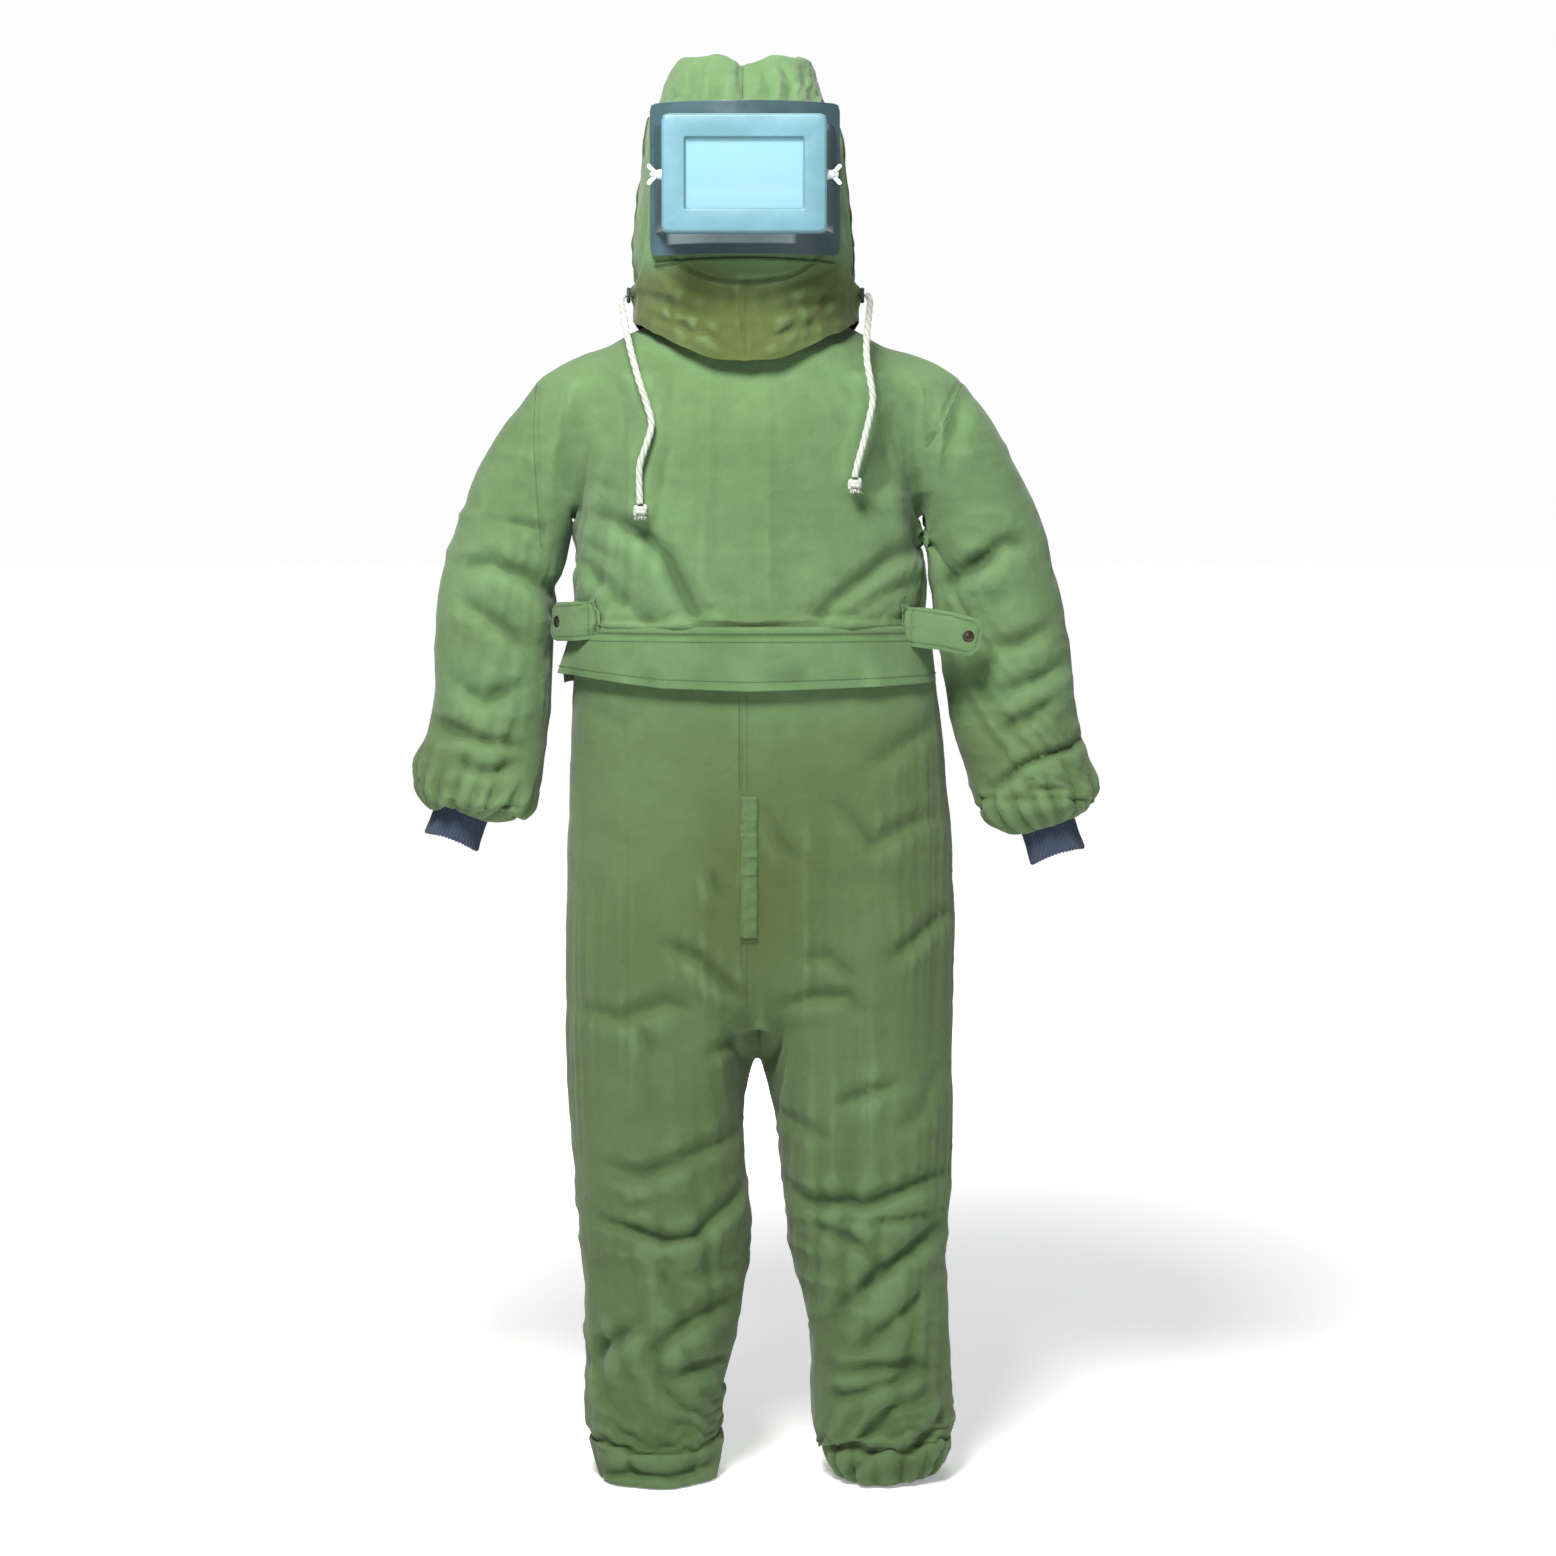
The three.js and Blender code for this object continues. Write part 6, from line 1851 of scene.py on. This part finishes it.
class SUIT_OT_cuffs(bpy.types.Operator):
    """Knits the ribbed cuffs and sets the elastics at wrists and ankles"""

    bl_idname = "suit.cuffs"
    bl_label = "Cuffs and elastics"

    def execute(self, context):
        for side, sign in (("right", -1), ("left", 1)):
            lean = 20 if sign < 0 else -18
            top = np.array((-0.354, -0.020, -0.5908)) if sign < 0 else np.array((0.377, -0.018, -0.6093))
            axis = np.array((-math.tan(math.radians(lean)), -0.06, -1.0))
            unit = axis / np.linalg.norm(axis)
            a = np.array((math.cos(math.radians(lean)), 0, -math.sin(math.radians(lean))))
            b = np.cross(unit, a)
            around = 276
            th = whole_turn(around)

            def ring(drop, radius, scoop=0.0, ruffle=0.0, count=0):
                r = radius + ruffle * np.cos(count * th + 1.1 * np.sin(3 * th))
                lift = scoop * np.abs(np.sin(th)) ** 2
                centre = top + axis * drop
                return centre + a * (r * np.cos(th))[:, None] + b * (r * 0.95 * np.sin(th))[:, None] - unit * lift[:, None]

            drops = np.linspace(-0.016, 0.0385, 26)
            outer = [ring(d, 0.0352 - 0.0014 * math.sin(math.pi * (d + 0.016) / 0.055),
                0.0045 * ease(0.0, 0.0385, d)) for d in drops]
            lip = [ring(0.0400, 0.0342, 0.0045), ring(0.0402, 0.0330, 0.0045), ring(0.0390, 0.0320, 0.0045)]
            inner = [ring(d, 0.0318, 0.0045 * ease(0.0, 0.0385, d)) for d in drops[::-2]]
            cuff = ringed(f"{side}_knit_tube", outer + lip + inner, FINISHES["knit"], 0.034, mark_turn=True)
            if "rib" not in TREES:
                TREES["rib"] = rib_tree()
            run_tree(cuff, TREES["rib"], {"Ribs": float(sizes().cuff_ribs), "Depth": 0.0007, "Unevenness": 0.0016,
                "Knit material": FINISHES["knit"]})
            smooth_shaded(cuff.data)
            ride_and_slot(cuff, f"{side}_sleeve", "navy_knit", f"{side}_knit_cuff")
            band = [ring(d, 0.0405, 0, 0.0009, 24) for d in (-0.012, -0.009, -0.006, -0.003)] + [ring(d, 0.0382, 0,
                0.0009, 24) for d in (-0.003, -0.006, -0.009, -0.012)]
            ride_and_slot(ringed(f"{side}_wrist_band", band, FINISHES["elastic"], 0.04), f"{side}_sleeve",
                "elastic_band", f"{side}_wrist_elastic")
        for side, x, hw, hd in (("right", -0.112, 0.066, 0.076), ("left", 0.176, 0.052, 0.070)):
            th = whole_turn(180)

            def ring(z, shrink, ruffle):
                wave = ruffle * np.cos(26 * th + np.sin(5 * th))
                return np.stack([x + (hw - shrink + wave) * np.cos(th), (hd - shrink + wave) * np.sin(th),
                    np.full_like(th, z)], -1)

            band = [ring(z, 0, 0.0011) for z in (-1.4335, -1.430, -1.426, -1.4225)] + [ring(z, 0.0022,
                0.0011) for z in (-1.4225, -1.426, -1.430, -1.4335)]
            ride_and_slot(ringed(f"{side}_ankle_band", band, FINISHES["elastic"], 0.08), f"{side}_shin", "elastic_band",
                f"{side}_ankle_elastic")
        return {"FINISHED"}


def lathe(name, profile, origin, axis, around, finish):
    """Turns a profile of (radius, height) about an axis, closed where it meets the axis."""
    axis = np.array(axis, float) / np.linalg.norm(axis)
    side = np.cross(axis, (0.3, 0.5, 0.81))
    side /= np.linalg.norm(side)
    other = np.cross(axis, side)
    th = whole_turn(around)
    rings = np.array([np.array(origin) + axis * h + (side * (r * np.cos(th))[:, None] + other * (r * np.sin(th))[:, None]) for r, h in profile])
    flat, faces = stuffed(rings)
    mesh = new_mesh(name, flat, faces)
    face_out(mesh)
    smooth_shaded(mesh)
    mesh.materials.append(finish)
    return new_piece(name, mesh)


CAP = [(0.0030, -0.0004), (0.0070, -0.0002), (0.0074, 0.0004), (0.0070, 0.0012), (0.0060, 0.0015), (0.0050, 0.0011),
    (0.0042, 0.0007),
       (0.0036, 0.0010), (0.0028, 0.0020), (0.0016, 0.0025), (0.0006, 0.0026)]
STUD = [(0.0010, -0.0008), (0.0068, -0.0008), (0.0072, 0.0000), (0.0066, 0.0008), (0.0040, 0.0011), (0.0029, 0.0016),
    (0.0027, 0.0030),
        (0.0031, 0.0038), (0.0029, 0.0045), (0.0012, 0.0048)]


class SUIT_OT_tabs(bpy.types.Operator):
    """Sews the two waist tabs on and sets their snaps and studs"""

    bl_idname = "suit.tabs"
    bl_label = "Waist tabs"

    def execute(self, context):
        length, half, thick = 0.078, 0.024, 0.0034
        for side, sign, hinge, turn, droop in (("right", -1, (-0.200, -0.101, -0.353), 58, 2),
                ("left", 1, (0.214, -0.095, -0.357), 4, 14)):
            t, d = math.radians(turn), math.radians(droop)

            def place(local):
                x, y, z = local.T
                x, z = x * math.cos(d) + z * math.sin(d), -x * math.sin(d) + z * math.cos(d)
                x, y = x * math.cos(t) - y * math.sin(t), x * math.sin(t) + y * math.cos(t)
                return np.stack([sign * x + hinge[0], y + hinge[1], z + hinge[2]], -1)

            nu, nv = 46, 30
            u, v = np.meshgrid(np.linspace(0, 1, nu), np.linspace(-1, 1, nv), indexing="ij")
            x = -0.004 + (length + 0.004) * u
            into = np.clip((x - (length - 0.017)) / 0.017, 0, 1)
            h = half - 0.0150 * (1 - np.sqrt(np.maximum(0, 1 - into**2.2)))
            z = v * h
            rim = np.minimum(np.minimum(h - np.abs(z), (length - x)) / 0.0022, 1)
            rim = np.sqrt(np.maximum(rim, 0))
            inset = np.minimum(h - np.abs(z), np.minimum(length - x, x + 0.004))
            seam = np.exp(-(((inset - 0.0052) / 0.0011) ** 2)) + 0.8 * np.exp(-(((x - 0.010) / 0.0011) ** 2))
            bow = 0.0030 * np.sin(u * 2.4) + 0.0016 * np.sin(u * 7 + v * 1.5) * u
            front = -thick * (0.5 + 0.5 * rim) + 0.0007 * seam + bow
            back = -thick * (0.5 - 0.5 * rim) - 0.0005 * seam + bow
            root = np.exp(-((np.maximum(x, 0) / 0.020) ** 2))
            sheets = [place(np.stack([x, y, z], -1).reshape(-1, 3)) for y in (front, back)]
            # the sewn end is drawn onto the jacket
            drawn = sheets[1].copy()
            for i, p in enumerate(drawn):
                hit, normal, _, _ = FINISHED["suit"].find_nearest(Vector(p))
                drawn[i] = np.array(hit) + np.array(normal) * 0.0008 - p
            pull = drawn * root.reshape(-1, 1)
            points = np.vstack([sheets[0] + pull, sheets[1] + pull])
            name = f"{side}_tab_cloth"
            mesh = new_mesh(name, points, doubled_faces(nu, nv))
            with opened(mesh) as work:
                bmesh.ops.recalc_face_normals(work, faces=work.faces)
            smooth_shaded(mesh)
            uv = mesh.uv_layers.new(name="cloth")
            flat_u, flat_z = np.tile(x.ravel(), 2), np.tile(z.ravel(), 2)
            for item in mesh.loops:
                uv.data[item.index].uv = (flat_u[item.vertex_index], flat_z[item.vertex_index])
            # painted shade and highlight: the tab is lightened over its face and darkened along its stitch grooves and
            # rounded edges
            add_mark(mesh, "ridge", np.tile((0.5 - 1.2 * seam - 0.7 * (1 - rim)).ravel(), 2))
            add_mark(mesh, "tone", np.full(2 * nu * nv, 0.12))
            mesh.materials.append(FINISHES["canvas"])
            tab = new_piece(name, mesh)
            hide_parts(f"{side}_waist_tab")
            ends = place(np.array([[0.002, 0, 0], [0.022, 0, 0]]))
            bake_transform(tab, "torso", f"{side}_waist_tab", tuple(ends[0]), tuple(ends[1]))

            # rows of stitching: round the edge, and a box by the sewn end
            def row(pairs, y=-thick - 0.0001):
                out = []
                for (x0, z0), (x1, z1) in zip(pairs, pairs[1:]):
                    steps = max(2, int(math.hypot(x1 - x0, z1 - z0) / 0.002))
                    for k in range(steps):
                        px, pz = x0 + (x1 - x0) * k / steps, z0 + (z1 - z0) * k / steps
                        along = (px + 0.004) / (length + 0.004)
                        lift = 0.0030 * math.sin(along * 2.4) + 0.0016 * math.sin(along * 7 + pz / half * 1.5) * along
                        p = place(np.array([[px, y + 0.0003 + lift, pz]]))[0]
                        w = math.exp(-((max(px, 0) / 0.020) ** 2))
                        k2 = int(np.argmin(((x - px) ** 2 + (z - pz) ** 2).ravel()))
                        out.append(p + pull[k2] * (w / max(root.ravel()[k2], 1e-6)))
                return np.array(out)

            r = 0.0188
            edge_line = row([(0.001, -r), (0.060, -r), (0.068, -0.0150), (0.0728, -0.008), (0.0728, 0.008),
                (0.068, 0.0150), (0.060, r), (0.001, r)])
            box_a, box_b = row([(0.003, -r), (0.003, r)]), row([(0.010, r), (0.010, -r)])
            sewn = sew(f"{side}_tab_stitches", [edge_line, box_a, box_b], "dark_thread", 0.0032, 0.0024, 0.00045)
            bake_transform(sewn, "torso", f"{side}_waist_tab", tuple(ends[0]), tuple(ends[1]))
            cx = length - 0.017
            lift = float(0.0030 * math.sin(((cx + 0.004) / (length + 0.004)) * 2.4))
            face, way = place(np.array([[cx, -thick + lift - 0.0002, 0], [cx, -thick + lift - 1.0, 0]]))
            cap = lathe(f"{side}_snap_cap", CAP, face, way - face, 32, FINISHES["brass"])
            ride_and_slot(cap, f"{side}_waist_tab", "dark_brass", f"{side}_tab_snap")
            centre, normal = stud_foot(side, sign)
            stud = lathe(f"{side}_stud_post", STUD, centre, normal, 28, FINISHES["brass"])
            ride_and_slot(stud, "torso", "dark_brass", f"{side}_tab_stud")
        return {"FINISHED"}


def stud_foot(side, sign):
    """Where the stud's foot stands on the side of the jacket."""
    low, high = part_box(f"{side}_tab_stud")
    middle = [(a + b) / 2 for a, b in zip(low, high)]
    hit, normal, _, _ = FINISHED["suit"].ray_cast(Vector((0, middle[1], middle[2])), Vector((sign, 0, 0)), 1.0)
    out = np.array(normal) * (1 if normal[0] * sign > 0 else -1)
    return np.array(hit) + out * 0.0008, out


# ------------------------------------------------------------------ the window
def outline(points_per_side=(26, 18), extra=()):
    """Places round a rectangle from -1 to 1, evenly along each side, with more at the corners."""
    def side(n, more=()):
        t = np.linspace(-1, 1, n)
        t = np.sign(t) * np.abs(t) ** 0.8
        return np.array(sorted(set(np.round(np.concatenate([t, np.array(more)]), 6))))
    nx, nz = points_per_side
    xs, zs = side(nx), side(nz, extra)
    out = [(x, -1.0) for x in xs[:-1]] + [(1.0, z) for z in zs[:-1]] + [(x, 1.0) for x in xs[::-1][:-1]] + [(-1.0,
        z) for z in zs[::-1][:-1]]
    return np.array(out)


def rounded(loop, width, height, corner):
    """The loop at a real size, with its corners rounded."""
    w, h = width / 2, height / 2
    x, z = loop[:, 0] * w, loop[:, 1] * h
    ox, oz = np.abs(x) - (w - corner), np.abs(z) - (h - corner)
    both = (ox > 0) & (oz > 0)
    far = np.hypot(ox, oz)
    top = np.maximum(ox, oz)
    scale = np.where(both, top / np.maximum(far, 1e-9), 1)
    x = np.where(both, np.sign(x) * ((w - corner) + ox * scale), x)
    z = np.where(both, np.sign(z) * ((h - corner) + oz * scale), z)
    return x, z


def moulded(name, rows, finish, wall, cut=None, bevel=0.0008, smooth=35):
    """A moulded shell: rows of one outline, given a wall inwards and rounded edges."""
    rows = np.array(rows)
    n, around = rows.shape[:2]
    faces = [tuple(f) for k, f in enumerate(grid_faces(n, around).tolist()) if cut is None or not cut(k // around,
        k % around)]
    mesh = new_mesh(name, rows.reshape(-1, 3), faces)
    with opened(mesh) as work:
        bmesh.ops.delete(work, geom=[v for v in work.verts if not v.link_faces], context="VERTS")
    piece = new_piece(name, mesh)
    mesh.materials.append(finish)
    solid = piece.modifiers.new("wall", "SOLIDIFY")
    solid.thickness, solid.offset, solid.use_even_offset = wall, -1, True
    round_ = piece.modifiers.new("edges", "BEVEL")
    round_.width, round_.segments, round_.limit_method, round_.angle_limit = bevel, 3, "ANGLE", math.radians(smooth)
    settle_modifiers(piece)
    smooth_shaded(piece.data)
    with_sharp(piece.data, 40)
    return piece


def with_sharp(mesh, degrees):
    """Marks the edges sharper than an angle, so that they stay crisp."""
    limit = math.radians(degrees)
    with opened(mesh) as work:
        for edge in work.edges:
            if len(edge.link_faces) == 2:
                edge.smooth = edge.calc_face_angle(0) < limit


def softened(node, name, finish, width, body, slot):
    """A metal or rubber part with the frame's shape and rounded edges."""
    source = next(o for o in bpy.data.objects if o.get("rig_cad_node") == node or o.name == node)
    mesh = source.data.copy()
    mesh.transform(source.matrix_world)
    with opened(mesh) as work:
        bmesh.ops.remove_doubles(work, verts=work.verts, dist=2e-6)
        bmesh.ops.dissolve_limit(work, angle_limit=math.radians(2), verts=work.verts, edges=work.edges)
    mesh.name = name
    mesh.materials.clear()
    mesh.materials.append(finish)
    mesh.polygons.foreach_set("material_index", [0] * len(mesh.polygons))
    piece = new_piece(name, mesh)
    round_ = piece.modifiers.new("edges", "BEVEL")
    round_.width, round_.segments, round_.limit_method, round_.angle_limit = width, 2, "ANGLE", math.radians(32)
    settle_modifiers(piece)
    with opened(piece.data) as work:
        bmesh.ops.triangulate(work, faces=work.faces)
    smooth_shaded(piece.data)
    with_sharp(piece.data, 38)
    return ride_and_slot(piece, body, slot, node)


class SUIT_OT_window(bpy.types.Operator):
    """Moulds the visor's flange and housing, the bezel, the glass with its seal, and the clamps"""

    bl_idname = "suit.window"
    bl_label = "Visor and window"

    def execute(self, context):
        zc, radius, middle = 0.180, 0.1618, 0.0078
        arc = lambda x: middle - np.sqrt(radius**2 - np.minimum(np.abs(x), 0.1135) ** 2)
        slot = 0.0036
        loop = outline(extra=(-slot / 0.0636, slot / 0.0636))
        ax, az = rounded(loop, 0.1832, 0.1272, 0.006)
        rows = []
        sx, sz = rounded(loop, 0.149, 0.092, 0.004)
        rows.append(np.stack([sx, np.full_like(sx, -0.1962), zc + sz], -1))
        for y in (-0.1962, -0.1900, -0.1820):
            rows.append(np.stack([ax, np.full_like(ax, y), zc + az], -1))
        bx = loop[:, 0] * 0.1070
        bx, bz = rounded(loop, 0.2140, 0.1272, 0.005)
        rear = arc(bx)
        for t in (0.33, 0.66, 0.93, 1.0):
            rows.append(np.stack([ax + (bx - ax) * t, -0.1820 + (rear + 0.1820) * t, zc + az + (bz - az) * t], -1))
        fx, fz = rounded(loop, 0.2260, 0.1820, 0.006)
        for t in (0.06, 0.35, 0.7, 0.96, 1.0):
            px, pz = bx + (fx - bx) * t, bz + (fz - bz) * t
            rows.append(np.stack([px, arc(px), zc + pz], -1))
        shell = moulded("visor_moulding", rows, FINISHES["shell"], 0.0024, bevel=0.0006)
        ride_and_slot(shell, "hood", "teal_plastic", "visor_shell")

        hole = rounded(loop, 0.145, 0.088, 0.003)
        face = rounded(loop, 0.190, 0.134, 0.005)
        lip = rounded(loop, 0.1462, 0.0892, 0.0036)
        rows = [np.stack([hole[0], np.full(len(loop), y), zc + hole[1]], -1) for y in (-0.2024, -0.2050)]
        rows.append(np.stack([lip[0], np.full(len(loop), -0.2060), zc + lip[1]], -1))
        edge = rounded(loop, 0.1878, 0.1318, 0.0046)
        rows.append(np.stack([edge[0], np.full(len(loop), -0.2060), zc + edge[1]], -1))
        for y in (-0.2050, -0.1914, -0.1840):
            rows.append(np.stack([face[0], np.full(len(loop), y), zc + face[1]], -1))
        zs = rows[-1][:, 2] - zc

        def notch(row, column):
            nxt = (column + 1) % len(loop)
            on_side = abs(loop[column, 0]) == 1.0 and abs(loop[nxt, 0]) == 1.0
            return row == len(rows) - 2 and on_side and abs((zs[column] + zs[nxt]) / 2) < 0.0036

        bezel = moulded("bezel_moulding", rows, FINISHES["bezel"], 0.0028, notch, 0.0005)
        ride_and_slot(bezel, "bezel", "pale_teal_plastic", "window_bezel")

        for node, material, slot_name, width in (("window_glass", "lens", "clear_lens", 0.0003),
                ("glass_seal", "rubber", "black_rubber", 0.0003)):
            softened(node, f"{node}_pane" if node == "window_glass" else "seal_gasket", FINISHES[material], width,
                "hood", slot_name)
        for side in ("right", "left"):
            softened(f"{side}_clamp_bolt", f"{side}_bolt_turned", FINISHES["zinc"], 0.0003, "hood", "zinc_steel")
            softened(f"{side}_clamp_washer", f"{side}_washer_pressed", FINISHES["zinc"], 0.0002, "hood", "zinc_steel")
            softened(f"{side}_wing_nut", f"{side}_wing_nut_cast", FINISHES["wing"], 0.0004, f"{side}_wing_nut",
                "zinc_steel")
        return {"FINISHED"}


class SUIT_OT_stitching(bpy.types.Operator):
    """Sews the rows of stitching along the seams and hems"""

    bl_idname = "suit.stitching"
    bl_label = "Stitching"

    def execute(self, context):
        pitch = sizes().stitch_pitch
        rings = FINISHED["flap_rings"]
        lines = []
        for top in (-0.3675, -0.3772):
            line = []
            for j in range(rings.shape[1] + 1):
                column = rings[:16, j % rings.shape[1]]
                k = np.interp(-top, -column[:, 2], np.arange(16))
                i = int(min(k, 14))
                p = column[i] + (column[i + 1] - column[i]) * (k - i)
                out = np.array((p[0] - 0.006, p[1], 0))
                line.append(p + out / np.linalg.norm(out) * 0.0007)
            lines.append(line)
        foot = []
        for j in range(rings.shape[1] + 1):
            p = rings[13, j % rings.shape[1]]
            out = np.array((p[0] - 0.006, p[1], 0))
            foot.append(p + out / np.linalg.norm(out) * 0.0006)
        lines.append(foot)
        rows = [laid_on("suit", ((-0.0075, -0.445), (-0.0075, -0.560))),
            laid_on("suit", ((0.0145, -0.570), (0.0145, -0.742))),
                laid_on("suit", ((0.002, -0.445), (0.002, -0.560))),
                laid_on("suit", ((0.0020, -0.748), (0.0020, -0.83))),
                laid_on("suit", ((0.003, -0.45), (0.003, -0.83)), from_back=True),
                laid_on("suit", ((-0.008, -0.45), (-0.008, -0.83)), from_back=True)]
        lifted = [np.array(r) + np.array((0, -0.0024, 0)) if k == 1 else r for k, r in enumerate(rows)]
        ride_and_slot(sew("jacket_hem_stitches", lines, "dark_thread", pitch), "torso", "green_canvas")
        ride_and_slot(sew("seat_seam_stitches", lifted, "dark_thread", pitch), "torso", "green_canvas")
        foot_line = laid_on("suit", ((-0.004, -0.7435), (0.015, -0.7435)), 0.0008, 0.0026)
        foot_two = laid_on("suit", ((-0.004, -0.7405), (0.015, -0.7405)), 0.0008, 0.0026)
        ride_and_slot(sew("placket_bar_tack", [foot_line, foot_two], "dark_thread", 0.0013, 0.0022, 0.0006), "torso",
            "green_canvas")
        armholes = (("right", -1, ((-0.259, -0.061), (-0.261, -0.13), (-0.253, -0.262))),
                    ("left", 1, ((0.274, -0.049), (0.2405, -0.1175), (0.222, -0.1400))))
        for side, sign, path in armholes:
            seam = [laid_on("suit", path), laid_on("suit", path, from_back=True)]
            piece = sew(f"{side}_armhole_stitches", [line for line in seam if len(line) > 2], "dark_thread", pitch)
            take_weights(piece, "torso", f"{side}_sleeve", FINISHED[f"{side}_sleeve"], (sign * 0.17, 0, -0.03),
                (sign * 0.26, 0, -0.15))
        chin = [(px, 0.1115 - 0.059 * math.sqrt(max(0, 1 - (px / 0.1) ** 2))) for px in np.linspace(-0.094, 0.094, 40)]
        hood_rows = [laid_on("hood", chin), laid_on("hood", ((0.000, 0.048), (0.001, -0.030))),
                     laid_on("hood", ((-0.0025, 0.326), (-0.0025, 0.276))),
                     laid_on("hood", ((0.002, 0.32), (0.002, -0.02)), from_back=True)]
        piece = sew("hood_seam_stitches", [line for line in hood_rows if len(line) > 2], "dark_thread", pitch)
        take_weights(piece, "torso", "hood", FINISHED["hood_piece"], *HOOD_BEND)
        return {"FINISHED"}


STEPS = (SUIT_OT_stage, SUIT_OT_cords, SUIT_OT_cloth, SUIT_OT_hood, SUIT_OT_hem, SUIT_OT_cuffs, SUIT_OT_tabs,
    SUIT_OT_window, SUIT_OT_stitching)


class SUIT_PT_panel(bpy.types.Panel):
    """Sizes, colours and building steps of the suit"""

    bl_idname = "SUIT_PT_panel"
    bl_label = "Blasting suit"
    bl_space_type = "VIEW_3D"
    bl_region_type = "UI"
    bl_category = "Suit"

    def draw(self, context):
        column = self.layout.column()
        for group in (context.scene.suit_sizes, context.scene.suit_colours):
            for name in group.bl_rna.properties.keys():
                if name not in ("rna_type", "name"):
                    column.prop(group, name)
        for step in STEPS:
            column.operator(step.bl_idname)


CLASSES = (SuitSizes, SuitColours) + STEPS + (SUIT_PT_panel,)


def register():
    for item in CLASSES:
        bpy.utils.register_class(item)
    bpy.types.Scene.suit_sizes = PointerProperty(type=SuitSizes)
    bpy.types.Scene.suit_colours = PointerProperty(type=SuitColours)


def unregister():
    del bpy.types.Scene.suit_sizes
    del bpy.types.Scene.suit_colours
    for item in reversed(CLASSES):
        bpy.utils.unregister_class(item)


def main():
    register()
    for step in STEPS:
        family, name = step.bl_idname.split(".")
        getattr(getattr(bpy.ops, family), name)()


if __name__ == "__main__":
    main()
